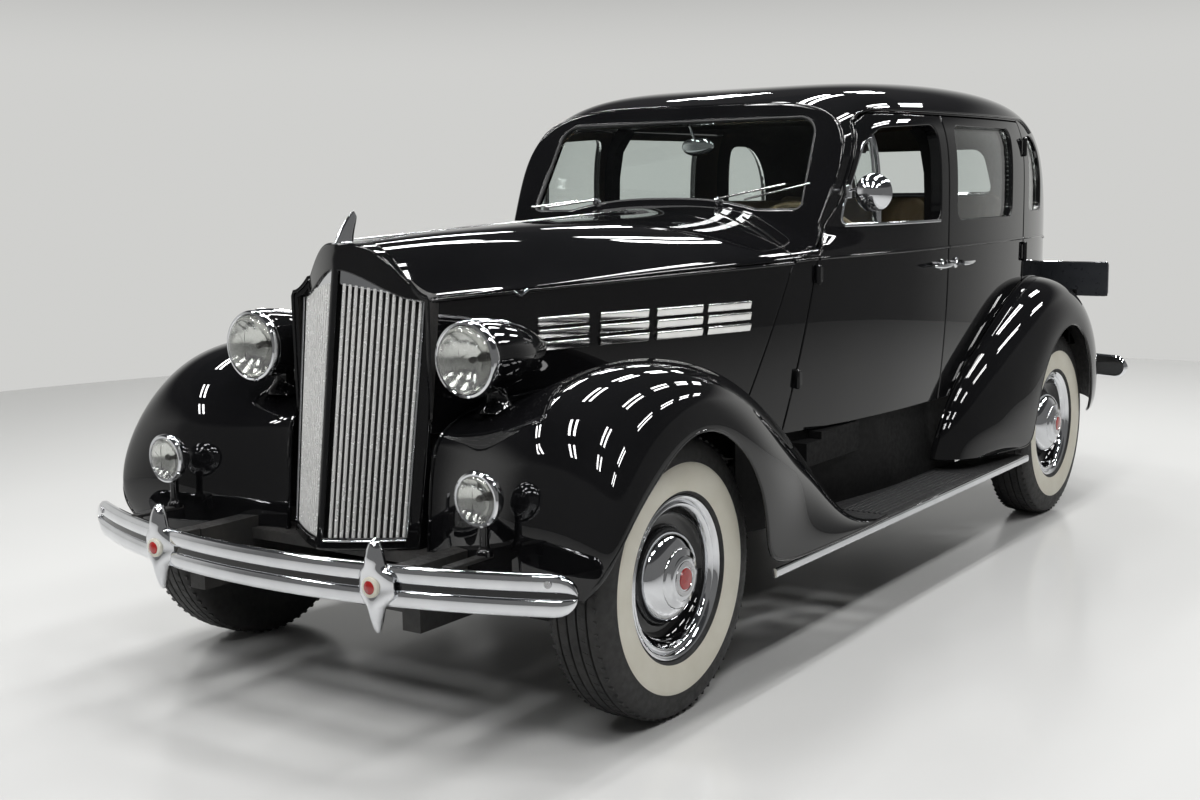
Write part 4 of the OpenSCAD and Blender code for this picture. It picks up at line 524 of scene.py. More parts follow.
# corner normals for plain meshes: smooth under the given angle, sharp over it
def withNormals(geo, sharp):
    verts, faces = geo["verts"], geo["faces"]
    fn = np.zeros((len(faces), 3))
    touch = [[] for _ in range(len(verts))]
    for i, f in enumerate(faces):
        p = verts[list(f)]
        q = np.roll(p, -1, 0)
        fn[i] = np.cross(p - p[0], q - p[0]).sum(0) if len(f) > 3 else np.cross(p[1] - p[0], p[2] - p[0])
        for v in f:
            touch[v].append(i)
    flatN = unitRows(fn)
    limit = math.cos(math.radians(sharp))
    norms, corners = [], []
    for i, f in enumerate(faces):
        row = []
        for v in f:
            near = touch[v]
            use = [k for k in near if flatN[k] @ flatN[i] >= limit]
            row.append(len(norms))
            norms.append(fn[use].sum(0))
        corners.append(tuple(row))
    return {"verts": verts, "norms": unitRows(np.array(norms)), "faces": faces, "corners": corners,
        "mats": geo["mats"]}


def plain(verts, faces, mat=0):
    return {"verts": np.asarray(verts, float), "norms": None, "faces": [tuple(f) for f in faces], "corners": None,
        "mats": [mat] * len(faces)}


# profile of (radius, height, material) turned about an axis
def turned(profile, at, axis, n=96, mat=0, closed=False):
    axis = Vector(axis).normalized()
    side = axis.orthogonal().normalized()
    other = axis.cross(side)
    verts, faces, mats, rows = [], [], [], []
    for r, h, *_ in profile:
        if r < 1e-6:
            rows.append([len(verts)])
            verts.append(Vector(at) + axis * h)
            continue
        rows.append(list(range(len(verts), len(verts) + n)))
        for k in range(n):
            a = 2 * math.pi * k / n
            verts.append(Vector(at) + axis * h + (side * math.cos(a) + other * math.sin(a)) * r)
    pairs = list(zip(rows[:-1], rows[1:])) + ([(rows[-1], rows[0])] if closed else [])
    for j, (a, b) in enumerate(pairs):
        m = profile[j][2] if len(profile[j]) > 2 else mat
        for k in range(n):
            k2 = (k + 1) % n
            if len(a) == 1 and len(b) == 1:
                continue
            if len(a) == 1:
                f = (a[0], b[k2], b[k])
            elif len(b) == 1:
                f = (a[k], a[k2], b[0])
            else:
                f = (a[k], a[k2], b[k2], b[k])
            faces.append(f)
            mats.append(m)
    geo = plain([tuple(v) for v in verts], faces)
    geo["mats"] = mats
    return outward(geo)


# profile (across, out), one or one a point, carried along a path with given out directions
def swept(path, outs, profile, mat=0, caps=True, closed=False):
    path = np.asarray(path, float)
    outs = unitRows(np.broadcast_to(np.asarray(outs, float), path.shape))
    if closed:
        along = unitRows(np.roll(path, -1, 0) - np.roll(path, 1, 0))
    else:
        along = unitRows(np.gradient(path, axis=0))
    outs = unitRows(outs - along * np.sum(outs * along, 1, keepdims=True))
    across = np.cross(outs, along)
    rows = np.asarray(profile, float)
    rows = np.broadcast_to(rows, (len(path), *rows.shape[-2:]))
    m, n = rows.shape[:2]
    verts = np.concatenate([path[i] + across[i] * rows[i][:, :1] + outs[i] * rows[i][:, 1:] for i in range(m)])
    faces = []
    for i in range(m if closed else m - 1):
        a, b = i * n, ((i + 1) % m) * n
        faces += [(a + j, b + j, b + (j + 1) % n, a + (j + 1) % n) for j in range(n)]
    if caps and not closed:
        faces.append(tuple(range(n)))
        faces.append(tuple((m - 1) * n + j for j in reversed(range(n))))
    geo = plain(verts, faces, mat)
    return outward(geo)


# faces of a closed shape turned to point out
def outward(geo):
    v, vol = geo["verts"] - geo["verts"].mean(0), 0.0
    for f in geo["faces"]:
        for a, b in zip(f[1:-1], f[2:]):
            vol += np.dot(v[f[0]], np.cross(v[a], v[b]))
    if vol < 0:
        geo["faces"] = [f[::-1] for f in geo["faces"]]
    return geo


def ringProfile(r, n=10, flat=1.0):
    return [(math.cos(2 * math.pi * k / n) * r, math.sin(2 * math.pi * k / n) * r * flat) for k in range(n)]


def roundedOutline(points, r, n=7):
    p = np.asarray(points, float)
    out = []
    for i in range(len(p)):
        a, b, c = p[i - 1], p[i], p[(i + 1) % len(p)]
        u, v = (a - b) / np.linalg.norm(a - b), (c - b) / np.linalg.norm(c - b)
        half = math.acos(np.clip(u @ v, -1, 1)) / 2
        cut = min(r / math.tan(half), 0.48 * np.linalg.norm(a - b), 0.48 * np.linalg.norm(c - b))
        rr = cut * math.tan(half)
        mid = b + (u + v) / np.linalg.norm(u + v) * (rr / math.sin(half))
        s, e = b + u * cut - mid, b + v * cut - mid
        for k in range(n):
            t = k / (n - 1)
            w = s * (1 - t) + e * t
            out.append(mid + w / np.linalg.norm(w) * rr)
    return np.array(out)


def closeLoop(p):
    return np.concatenate([p, p[:1]])


print("shape tools ready")

# outlines in the side view, d and z
shield = {"d": 1222.0, "z": 1300.0, "rake": 29.0, "halfW": 540.0, "openTop": 336.0, "openLow": -14.0}
shieldTan = math.tan(math.radians(shield["rake"]))


def shieldAt(z):
    return shield["d"] + (z - shield["z"]) * shieldTan


doorSet = {"lowD": 975.0, "beltD": 1112.0, "midD": 1950.0, "rearD": 2800.0, "topZ": 1602.0, "winLow": 1232.0,
    "winTop": 1568.0, "winR": 45.0, "post": 52.0, "roll": 4.0}
rearFender = {"d": 1955.0, "len": 1715.0, "h": 975.0, "outY": 905.0}
lineShares = [[0, 0.369], [0.023, 0.492], [0.064, 0.605], [0.134, 0.708], [0.227, 0.805], [0.331, 0.892],
    [0.436, 0.964], [0.541, 1], [0.645, 0.99], [0.75, 0.944], [0.855, 0.851], [0.936, 0.718], [0.983, 0.554],
    [1, 0.431]]
archShares = [[0.174, 0.361], [0.262, 0.361], [0.305, 0.374], [0.32, 0.472], [0.352, 0.6], [0.413, 0.718],
    [0.483, 0.785], [0.549, 0.806], [0.613, 0.788], [0.672, 0.723], [0.721, 0.615], [0.75, 0.492], [0.76, 0.41],
    [0.797, 0.388]]
wideShares = [0.93, 0.975, 0.99, 1, 1, 1, 1, 1, 1, 1, 0.995, 0.985, 0.97, 0.94]


# a column of a fender's table along its rows, eased
def easedRow(u, values, ease=0.45):
    us = np.linspace(-2, len(values) + 1, 40 * (len(values) + 3) + 1)
    raw = readAt(us, [[i, v] for i, v in enumerate(values)])
    ends = us < 0
    raw = np.where(ends, values[0] + (values[1] - values[0]) * us, raw)
    n = len(values) - 1
    raw = np.where(us > n, values[n] + (values[n] - values[n - 1]) * (us - n), raw)
    step = us[1] - us[0]
    reach = np.arange(-60, 61) * step
    weight = np.exp(-0.5 * (reach / ease) ** 2)
    soft = np.convolve(np.pad(raw, 60, mode="reflect", reflect_type="odd"), weight / weight.sum(), "valid")
    return np.interp(u, us, soft)


def rearLine(u):
    return (rearFender["d"] + rearFender["len"] * easedRow(u, [r[0] for r in lineShares], 0.3),
        rearFender["h"] * easedRow(u, [r[1] for r in lineShares], 0.3))


lineRows = np.stack(rearLine(np.linspace(0, 13, 400)), 1)


def doorFrontLine():
    s = doorSet
    return [(s["lowD"], bodySet["sillZ"]), (s["beltD"], bodySet["beltZ"]), (shieldAt(1300.0) + s["post"], 1300.0),
        (shieldAt(s["winTop"]) + s["post"], s["winTop"]), (shieldAt(s["topZ"]) + 2 * s["post"], s["topZ"])]


def doorFrontAt(z):
    line = doorFrontLine()
    return np.interp(z, [p[1] for p in line], [p[0] for p in line])


def shifted(points, dist):
    p = np.asarray(points, float)
    t = unitRows(np.gradient(p, axis=0))
    return p + cols(-t[:, 1], t[:, 0]) * dist


def sideMap(d, z):
    return cols(px(d), cabinY(d, z), z + 0 * d)


# shell of roof, quarters and back: v runs along the car, s over it from the roof's middle
stretchD = np.arange(900.0, 3901.5, 1.0)
stretchV = np.r_[0, np.cumsum(np.sqrt(1 + np.diff(plan(stretchD)) ** 2 + 0.6 * np.diff(roof(stretchD)) ** 2))]
archL = 1000.0


def toShell(d, y, z):
    low = belt(d)
    wide = plan(d) - flare(d) * smooth((z - low) / bodySet["flareH"])
    a = np.arctan2(np.maximum(z - low, 0) / (roof(d) - low), np.abs(y) / wide)
    s = np.where(z > low, archL * (1 - a / (np.pi / 2)), archL + low - z)
    return cols(np.interp(d, stretchD, stretchV), s * np.where(y < 0, -1.0, 1.0))


def shellMap(v, s):
    d = np.interp(v, stretchV, stretchD)
    low, q, side = belt(d), square(d), np.abs(s)
    a = (np.pi / 2) * (1 - np.clip(side / archL, 0, 1))
    c, n = np.maximum(np.cos(a), 0), np.maximum(np.sin(a), 0)
    r = (c ** q + n ** q) ** (1 / q)
    up = (roof(d) - low) * n / r
    y = (plan(d) - flare(d) * smooth(up / bodySet["flareH"])) * c / r
    z = np.where(side > archL, low - (side - archL), low + up)
    y = np.where(side > archL, sideY(d, z), y)
    return cols(px(d), y * np.sign(s), z)


# curve where the windshield's flat meets the cabin, angle 0 at the belt and 90 at the roof's middle
def shieldRim(a):
    low, high = np.full(a.shape, 1090.0), np.full(a.shape, 1500.0)
    for _ in range(40):
        d = (low + high) / 2
        lowZ, q = belt(d), square(d)
        c, n = np.cos(a), np.sin(a)
        z = lowZ + (roof(d) - lowZ) * n / (c ** q + n ** q) ** (1 / q)
        ahead = d < shieldAt(z)
        low, high = np.where(ahead, d, low), np.where(ahead, high, d)
    return d, cabinY(d, z), z


backSet = {"winHalf": 330.0, "winLow": 1325.0, "winTop": 1535.0, "winR": 45.0, "lidHalf": 400.0, "lidLow": 690.0,
    "lidTop": 1175.0, "lidR": 90.0}
gap = bodySet["gap"]


# straight in front and below, arched behind
def quarterWindow():
    a = np.radians(np.arange(0, 91, 7.5))
    arch = cols(2970 + 190 * np.sin(a), 1315 + 233 * np.cos(a))
    foot = roundedOutline([arch[-1], (3160, 1245), (2890, 1245), (2890, 1548), arch[0]], 36, 10)[10:-10]
    return np.concatenate([foot, arch[:-1]])


# the pillar's foot: first rim point behind the door's front line
def rimStart(rim):
    return int(np.argmax(doorFrontAt(rim[2]) - gap > rim[0] + 6))


def backMap(y, z):
    return cols(px(backAt(y, z)), y, z)


def backWindow():
    w, low, top = backSet["winHalf"], backSet["winLow"], backSet["winTop"]
    return roundedOutline([(-w, low), (w, low), (w, top), (-w, top)], backSet["winR"], 10)


def bodyShell():
    rim = shieldRim(np.linspace(0.02, np.pi / 2, 120))
    rimD, rimY, rimZ = (r[rimStart(rim):] for r in rim)
    edgeZ = np.linspace(rimZ[0], doorSet["winTop"], 60)
    pillar = cols(doorFrontAt(edgeZ) - gap, edgeZ)
    top = doorSet["topZ"]
    head = [(shieldAt(top) + 2 * doorSet["post"] - gap, top + gap), (doorSet["rearD"] + gap, top + gap)]
    fender = lineRows[(lineRows[:, 0] > doorSet["rearD"] + gap) & (lineRows[:, 1] > bodySet["sillZ"])]
    side = [(pillar, 3), (np.array([pillar[-1], head[0]]), 3), (np.array(head), 3),
        (np.array([head[1], fender[0]]), 3), (fender, 0)]
    lidY, lowZ = backSet["lidHalf"] + gap, bodySet["sillZ"]
    tailD = backAt(lidY, lowZ)
    side.append((np.array([fender[-1], (tailD, lowZ)]), 2))
    left = []
    for points, roll in side:
        i = np.linspace(0, len(points) - 1, 60)
        d, z = (np.interp(i, np.arange(len(points)), points[:, k]) for k in (0, 1))
        left.append((toShell(d, cabinY(d, z), z), roll))
    # round the lid's opening, from the lower left over the top to the middle
    r = backSet["lidR"] + gap
    top = backSet["lidTop"] + gap
    turn = np.radians(np.linspace(0, 90, 24))
    yz = np.concatenate([cols(lidY, np.linspace(lowZ, top - r, 60)),
        cols(lidY - r + r * np.cos(turn), top - r + r * np.sin(turn)),
        cols(np.linspace(lidY - r, 0, 60), top)])
    lid = toShell(backAt(yz[:, 0], yz[:, 1]), yz[:, 0], yz[:, 1])
    front = toShell(rimD[::-1], rimY[::-1], rimZ[::-1])
    mirror = np.array([1.0, -1.0])
    outer = left + [(lid, 3), ((lid * mirror)[::-1], 3)]
    outer += [((p * mirror)[::-1], roll) for p, roll in left[::-1]]
    outer += [((front * mirror)[::-1], 9), (front, 9)]
    holes = []
    quarter = quarterWindow()
    q = toShell(quarter[:, 0], cabinY(quarter[:, 0], quarter[:, 1]), quarter[:, 1])
    holes += [[(closeLoop(q), 5)], [(closeLoop(q * mirror), 5)]]
    win = backWindow()
    win = np.concatenate([np.linspace(win[i - 1], win[i], 12)[:-1] for i in range(len(win))])
    holes.append([(closeLoop(toShell(backAt(win[:, 0], win[:, 1]), win[:, 0], win[:, 1])), 5)])
    shell = panel(outer, shellMap, holes, step=26, edge=10, wall=bodySet["wall"] * 0.8)
    # below the lid
    lidZ = backSet["lidLow"] - gap
    low = panel([(np.array([(-lidY, lowZ), (lidY, lowZ), (lidY, lidZ), (-lidY, lidZ), (-lidY, lowZ)]), 2)],
        backMap, wall=30, out=(-1, 0, 0))
    return makePiece("body_shell", [shell, low], [paint, headliner], "car_body",
        ["roof", "quarter_panels", "back_panel"])


bodyShell()
print("body shell made")


def luggageLid():
    b = backSet
    o = roundedOutline([(-b["lidHalf"], b["lidLow"]), (b["lidHalf"], b["lidLow"]), (b["lidHalf"], b["lidTop"]),
        (-b["lidHalf"], b["lidTop"])], b["lidR"], 12)
    o = o * np.array([1 - gap / b["lidHalf"], 1.0])
    geo = panel([(closeLoop(o), 4)], backMap, wall=28, out=(-1, 0, 0))
    makePiece("luggage_lid_panel", geo, [paint, paintUnder], "luggage_lid", ["trunk_lid"])


luggageLid()


def frontWindow():
    low, top = doorSet["winLow"], doorSet["winTop"]
    return roundedOutline([(1284, low), (shieldAt(1300) + 78, 1300), (shieldAt(1500) + 80.6, 1500), (1528, 1552),
        (1885, top), (1885, low)], doorSet["winR"], 10)


def rearWindow():
    low, top = doorSet["winLow"], doorSet["winTop"]
    return roundedOutline([(2030, low), (2030, top), (2632, top), (2624, low)], doorSet["winR"], 10)


def frontDoor():
    line = np.array(doorFrontLine())
    s = doorSet
    o = np.concatenate([line, [(s["midD"], s["topZ"]), (s["midD"], bodySet["sillZ"])]])
    o[:, 0] += np.where(o[:, 0] < 1700, gap, -gap)
    o[:, 1] += np.where(o[:, 1] > 1600, -gap, 0)
    o = roundedOutline(o, 14, 5)
    return panel([(closeLoop(o), doorSet["roll"])], sideMap, [[(closeLoop(frontWindow()), 5)]],
        wall=bodySet["wall"])


def rearDoor():
    front, rear, low, top = doorSet["midD"], doorSet["rearD"] - gap, bodySet["sillZ"], doorSet["topZ"] - gap
    line = lineRows[(lineRows[:, 0] > front) & (lineRows[:, 0] < rear) & (lineRows[:, 1] > low)]
    line = shifted(line, 6.0)
    o = np.concatenate([[(front + gap, low)], [(max(line[0][0], front + 2.6), low + 0.1)], line, [(rear, top),
        (front + gap, top)]])
    o = o[o[:, 0] > front]
    return panel([(closeLoop(o), doorSet["roll"])], sideMap, [[(closeLoop(rearWindow()), 5)]],
        wall=bodySet["wall"])


doorPanels = {"front": frontDoor(), "rear": rearDoor()}
for end, geo in doorPanels.items():
    for hand in ("left", "right"):
        makePiece(f"{end}_{hand}_door_panel", geo if hand == "left" else flipY(geo), [paint, doorCard],
            f"{end}_{hand}_door", [f"door_{end}_{hand}"])
print("doors made")

# hood, its sides and the cowl
hoodSet = {"front": -280.0, "rear": 1000.0, "lowZ": 740.0, "thick": 12.0, "across": 620.0}


def hoodMap(d, t):
    s = np.sin(np.pi / 2 * np.clip(np.abs(t) / hoodSet["across"], 0, 1)) * np.sign(t)
    return cols(px(d), plan(d) * s, hoodZ(d, s))


def hoodHalf():
    h = hoodSet
    ds = np.linspace(h["front"], h["rear"], 60)
    low = cols(ds, h["across"] - 6)
    high = cols(ds, 2.5 / plan(ds) * h["across"] * 2 / np.pi)
    outer = [(low, 3), (np.array([low[-1], high[-1]]), 3), (high[::-1], 2), (np.array([high[0], low[0]]), 3)]
    return panel(outer, hoodMap, wall=h["thick"], step=26)


hoodGeo = hoodHalf()
for hand in ("left", "right"):
    makePiece(f"{hand}_hood_panel", hoodGeo if hand == "left" else flipY(hoodGeo), [paint, paintUnder],
        f"{hand}_hood", [f"hood_{hand}"])


def hoodSide():
    h = hoodSet
    ds = np.linspace(h["front"], h["rear"] - 3, 60)
    top = cols(ds, belt(ds) - 2.5)
    rear, low = np.array([top[-1], (825, h["lowZ"]), (769, 612)]), (h["front"], h["lowZ"])
    foot = np.array([rear[-1], (560, 700), (470, h["lowZ"]), low])    # down behind the fender
    outer = [(top, 3), (rear, 3), (foot, 2), (np.array([low, top[0]]), 3)]
    return panel(outer, lambda d, z: cols(px(d), sideY(d, z), z), wall=h["thick"], step=26)


sideGeo = hoodSide()
makePiece("hood_side_panels", bothSides([sideGeo]), [paint, paintUnder], "car_body", ["hood_sides"])


def cowlMap(d, s):
    side = np.abs(s)
    t = np.sin(np.pi / 2 * np.clip(side / archL, 0, 1))
    z = np.where(side > archL, belt(d) - (side - archL), hoodZ(d, t))
    y = np.where(side > archL, sideY(d, z), plan(d) * t)
    return cols(px(d), y * np.sign(s), z)


# where the cowl meets the windshield's flat, ts counted over the cowl from its middle
def cowlMeets(ts):
    share = np.sin(np.pi / 2 * ts / archL)
    low, high = np.full(ts.shape, 1010.0), np.full(ts.shape, 1320.0)
    for _ in range(40):
        d = (low + high) / 2
        ahead = d < shieldAt(hoodZ(d, share))
        low, high = np.where(ahead, d, low), np.where(ahead, high, d)
    return d, share, hoodZ(d, share)


cowlSet = {"topZ": 1140.0, "footZ": 600.0, "footD": 765.0}


def cowlPiece():
    c, seam = cowlSet, hoodSet["rear"] + gap
    ts = np.linspace(0, archL, 160)
    d, _, z = cowlMeets(ts)
    rear = cols(d, ts)[d < doorFrontAt(z) - gap]
    zs = np.linspace(c["topZ"], c["footZ"], 40)

    def over(d, z):
        return cols(d, archL + belt(d) - z)

    edge = over(doorFrontAt(zs) - gap, zs)
    back = over(seam - (hoodSet["rear"] - c["footD"]) * (c["topZ"] - zs) / (c["topZ"] - c["footZ"]), zs)[::-1]
    left = [(rear, 2), (np.array([rear[-1], edge[0]]), 2), (edge, 3), (np.array([edge[-1], back[0]]), 2), (back, 3),
        (np.array([back[-1], (seam, archL)]), 0), (np.array([(seam, archL), (seam, 0)]), 3)]
    mirror = np.array([1.0, -1.0])
    outer = left + [((p * mirror)[::-1], r) for p, r in left[::-1]]
    geo = panel(outer, cowlMap, wall=24, step=24)
    makePiece("cowl_panel", geo, [paint, paintUnder], "car_body", ["cowl"])


cowlPiece()
print("hood and cowl made")


# flat surround of the windshield, x across and y up the slope
def shieldSurround():
    lean = math.radians(shield["rake"])
    rim = shieldRim(np.linspace(0.02, np.pi / 2, 160))

    def up(z):
        return (z - shield["z"]) / math.cos(lean)

    side = cols(rim[1], up(rim[2]))[rimStart(rim):]
    d, share, z = cowlMeets(np.linspace(archL, 0, 200))
    foot = cols(plan(d) * share, up(z) - 4)
    foot = foot[foot[:, 0] < side[0][0] - 4]
    mirror = np.array([-1.0, 1.0])
    outer = [(side, 9), ((side * mirror)[::-1], 9), (np.array([side[0] * mirror, foot[0] * mirror]), 2),
        (foot * mirror, 2), (foot[::-1], 2), (np.array([foot[0], side[0]]), 2)]
    w, h = shield["halfW"], shield["openTop"]
    lowRow = np.linspace(-w, w, 41)
    lowB = np.maximum(np.interp(np.abs(lowRow), foot[::-1, 0], foot[::-1, 1]) + 20, shield["openLow"])
    hole = [(y, b) for y, b in zip(lowRow[2:-2], lowB[2:-2])]
    corners = [hole[-1], (w + 2, lowB[-1]), (w - 22, h), (-w + 22, h), (-w - 2, lowB[0]), hole[0]]
    hole = np.concatenate([hole, roundedOutline(corners, 74, 14)[14:-14]])

    def place(a, b):
        return cols(px(shield["d"]) - b * math.sin(lean), a, shield["z"] + b * math.cos(lean))

    geo = panel(outer, place, [[(closeLoop(hole), 6)]], wall=36, out=(1, 0, 0.5))
    makePiece("windshield_surround", geo, [paint, headliner], "car_body", ["windshield_frame"])
    return place, hole


shieldPlace, shieldHole = shieldSurround()

# window panes
glassSet = {"deep": 17.0, "thick": 5.0}


def sidePane(outline):
    return panel([(closeLoop(outline), 1.0)], sideMap, wall=glassSet["deep"] + glassSet["thick"],
        lift=-glassSet["deep"], step=60, edge=18, inMat=0)


ventLine = 1472.0


# the part of an outline on one side of an upright line
def cutAt(loop, d, way):
    out = []
    for a, b in zip(loop, np.roll(loop, -1, axis=0)):
        inA, inB = (a[0] - d) * way > 0, (b[0] - d) * way > 0
        if inA:
            out.append(a)
        if inA != inB:
            out.append(a + (b - a) * (d - a[0]) / (b[0] - a[0]))
    return np.array(out)


ventPane = sidePane(cutAt(frontWindow(), ventLine - 5, -1))
dropPane = sidePane(cutAt(frontWindow(), ventLine + 5, 1))
rearPane = sidePane(rearWindow())
makePiece("front_left_vent_glass", ventPane, [pane], "front_left_door", ["glass_front_left"])
makePiece("front_right_panes", [flipY(ventPane), flipY(dropPane)], [pane], "front_right_door",
    ["glass_front_right"])
makePiece("rear_left_pane", rearPane, [pane], "rear_left_door", ["glass_rear_left"])
makePiece("rear_right_pane", flipY(rearPane), [pane], "rear_right_door", ["glass_rear_right"])


def fixedPanes():
    quarter = sidePane(quarterWindow())
    deep, wall = glassSet["deep"], glassSet["deep"] + glassSet["thick"]
    back = panel([(closeLoop(backWindow()), 1)], backMap, wall=wall, lift=-deep, step=50, edge=18, out=(-1, 0, 0), inMat=0)
    front = panel([(closeLoop(shieldHole), 1)], shieldPlace, wall=wall, lift=-deep, step=90, edge=18, out=(1, 0, 0.5),
        inMat=0)
    makePiece("fixed_panes", [quarter, flipY(quarter), back, front], [pane], "car_body",
        ["fixed_glass"])


fixedPanes()
print("glass made")

# fenders
frontFender = {"d": -505.0, "len": 1680.0, "h": 932.0, "w": 908.0, "sheet": 7.0, "roundness": 2.3}
crownShares = [[0.0565, 0.43, 0.705], [0.054, 0.537, 0.705], [0.057, 0.665, 0.71], [0.08, 0.794, 0.721],
    [0.131, 0.907, 0.732], [0.214, 0.982, 0.743], [0.3125, 1, 0.749], [0.412, 0.98, 0.753], [0.508, 0.92, 0.757],
    [0.598, 0.832, 0.764], [0.688, 0.728, 0.771], [0.766, 0.62, 0.779], [0.822, 0.502, 0.786], [0.858, 0.408, 0.793],
    [0.9, 0.358, 0.806]]
edgeShares = [[0.0714, 0.43, 0.88], [0.0625, 0.494, 0.953], [0.0774, 0.579, 0.991], [0.116, 0.66, 1], [0.173, 0.735, 1],
    [0.241, 0.805, 1], [0.3125, 0.82, 1], [0.378, 0.778, 1], [0.4375, 0.697, 1], [0.48, 0.579, 1], [0.494, 0.461, 1],
    [0.508, 0.365, 1], [0.66, 0.352, 1], [0.815, 0.352, 1], [0.97, 0.352, 0.99]]
innerShares = [[0.104, 0.45, 0.28], [0.109, 0.537, 0.28], [0.115, 0.644, 0.281], [0.122, 0.74, 0.285],
    [0.14, 0.807, 0.298], [0.2, 0.853, 0.327], [0.3125, 0.878, 0.369], [0.432, 0.888, 0.44], [0.535, 0.868, 0.505],
    [0.625, 0.812, 0.575], [0.706, 0.728, 0.632], [0.776, 0.62, 0.672], [0.827, 0.504, 0.7], [0.862, 0.412, 0.718],
    [0.9, 0.358, 0.73]]
fenderScale = (120.0, 460.0)    # pattern millimetres for one row and for crown to edge


def frontPoint(u, table, ease):
    f = frontFender
    col = lambda k: easedRow(u, [r[k] for r in table], ease)
    return cols(px(f["d"] + f["len"] * col(0)), f["w"] * col(2), f["h"] * col(1))


def overTo(c, e, k):
    n = 2 / frontFender["roundness"]
    k = np.clip(k, 0, 1)
    a = np.sin(np.pi / 2 * k) ** n
    b = 1 - np.maximum(np.cos(np.pi / 2 * k), 0) ** n
    return cols(c[:, 0] + (e[:, 0] - c[:, 0]) * b, c[:, 1] + (e[:, 1] - c[:, 1]) * a,
        c[:, 2] + (e[:, 2] - c[:, 2]) * b)


def frontFenderMap(p, q):
    u, k = p / fenderScale[0], q / fenderScale[1]
    c, e, i = (frontPoint(u, t, s) for t, s in ((crownShares, 0.5), (edgeShares, 0.4), (innerShares, 0.4)))
    # the crown's sharp top is rounded by starting both sides a little way down
    outer = overTo(c, e, np.maximum(k, 0))
    m = smooth(-k)
    inner = cols(c[:, 0] + (i[:, 0] - c[:, 0]) * m, c[:, 1] + (i[:, 1] - c[:, 1]) * np.clip(-k, 0, 1),
        c[:, 2] + (i[:, 2] - c[:, 2]) * m)
    return np.where(k[:, None] >= 0, outer, inner)


def frontFenders():
    a, b = fenderScale
    us = np.linspace(0, 14, 120) * a
    out = cols(us, b * 0.995)
    inn = cols(us, -b)
    outer = [(inn, 2), (np.array([inn[-1], out[-1]]), 2), (out[::-1], 3), (np.array([out[0], inn[0]]), 3)]
    left = panel(outer, frontFenderMap, wall=frontFender["sheet"], step=22, out=(0.05, 0.2, 1))
    edge = frontFenderMap(us, np.full(120, b * 0.995))
    wire = swept(edge + np.array([0, -5.0, 0]), (0.0, 1.0, 0.0), ringProfile(6.0, 10))
    bead = frontFenderMap(us[:80], np.full(80, -b * 0.985)) + np.array([0, 0, 3.0])
    bead = swept(bead, (0.0, 0.2, 1.0), ringProfile(4.5, 8))
    # splash plate between fender and frame
    u = np.linspace(4, 7, 30)
    c, e = frontPoint(u, crownShares, 0.5), frontPoint(u, innerShares, 0.4)
    k = smooth((c[:, 1] - 418) / (c[:, 1] - e[:, 1]))
    d = bodySet["axle"] - (c[:, 0] + (e[:, 0] - c[:, 0]) * k)
    top = cols(d, c[:, 2] + (e[:, 2] - c[:, 2]) * k - 4)
    plate = np.concatenate([top, [(top[-1][0], 385), (top[0][0], 385), tuple(top[0])]])
    splash = panel([(plate, 1)], lambda d, z: cols(px(d), 425.0, z), wall=7, step=60)
    makePiece("front_fender_panels", bothSides([left, wire, bead, allIn(splash, 1)]), [paint, paintUnder], "car_body",
        ["front_fenders"])


frontFenders()


def rearFenderMap(p, q):
    u, k = p / fenderScale[0], q / fenderScale[1]
    d, z = rearLine(u)
    c = cols(px(d), sideY(d, z) - 4, z)
    f = rearFender
    e = np.stack([px(f["d"] + f["len"] * easedRow(u, [r[0] for r in archShares], 0.35)),
        f["outY"] * easedRow(u, wideShares, 0.4), f["h"] * easedRow(u, [r[1] for r in archShares], 0.35)], -1)
    return overTo(c, e, k)


def rearFenders():
    a, b = fenderScale
    us = np.linspace(0, 13, 120) * a
    out = cols(us, b * 0.995)
    inn = cols(us, b * 0.004)
    outer = [(inn, 0), (np.array([inn[-1], out[-1]]), 2), (out[::-1], 3), (np.array([out[0], inn[0]]), 2)]
    left = panel(outer, rearFenderMap, wall=7, step=22, out=(0, 1, 0.6))
    edge = rearFenderMap(us, np.full(120, b * 0.995))
    wire = swept(edge + np.array([0, -5.0, 0]), (0.0, 1.0, 0.0), ringProfile(6.0, 10))
    bead = rearFenderMap(us[6:-2], np.full(112, b * 0.02))
    bead = swept(bead, (0.0, 1.0, 0.3), ringProfile(4.5, 8))
    # wheel house inside the body
    line = lineRows[(lineRows[:, 0] > 2380) & (lineRows[:, 0] < 3160) & (lineRows[:, 1] > 620)]
    line = shifted(line, -4.0)
    house = swept(cols(px(line[:, 0]), 660.0, line[:, 1]),
        (0.0, 1.0, 0.0), [(-4, -70), (4, -70), (4, 70), (-4, 70)], mat=1)
    wallLoop = np.concatenate([line, [(line[-1][0], 620), (line[0][0], 620), tuple(line[0])]])
    inWall = panel([(wallLoop, 1)], lambda d, z: cols(px(d), 597.0, z), wall=7, step=60)
    makePiece("rear_fender_panels", bothSides([left, wire, bead, house, allIn(inWall, 1)]), [paint, paintUnder], "car_body",
        ["rear_fenders"])


rearFenders()
print("fenders made")

# geometry trees: bars laid along lines, heads and blocks set on points
def nodeTree(name, sizes):
    tree = bpy.data.node_groups.new(name, "GeometryNodeTree")
    tree.interface.new_socket("Geometry", in_out="INPUT", socket_type="NodeSocketGeometry")
    for label, kind, value in sizes + [("Finish", "NodeSocketMaterial", None)]:
        s = tree.interface.new_socket(label, in_out="INPUT", socket_type=kind)
        if value is not None:
            s.default_value = value
    tree.interface.new_socket("Geometry", in_out="OUTPUT", socket_type="NodeSocketGeometry")
    return tree, tree.nodes.new("NodeGroupInput"), tree.nodes.new("NodeGroupOutput")


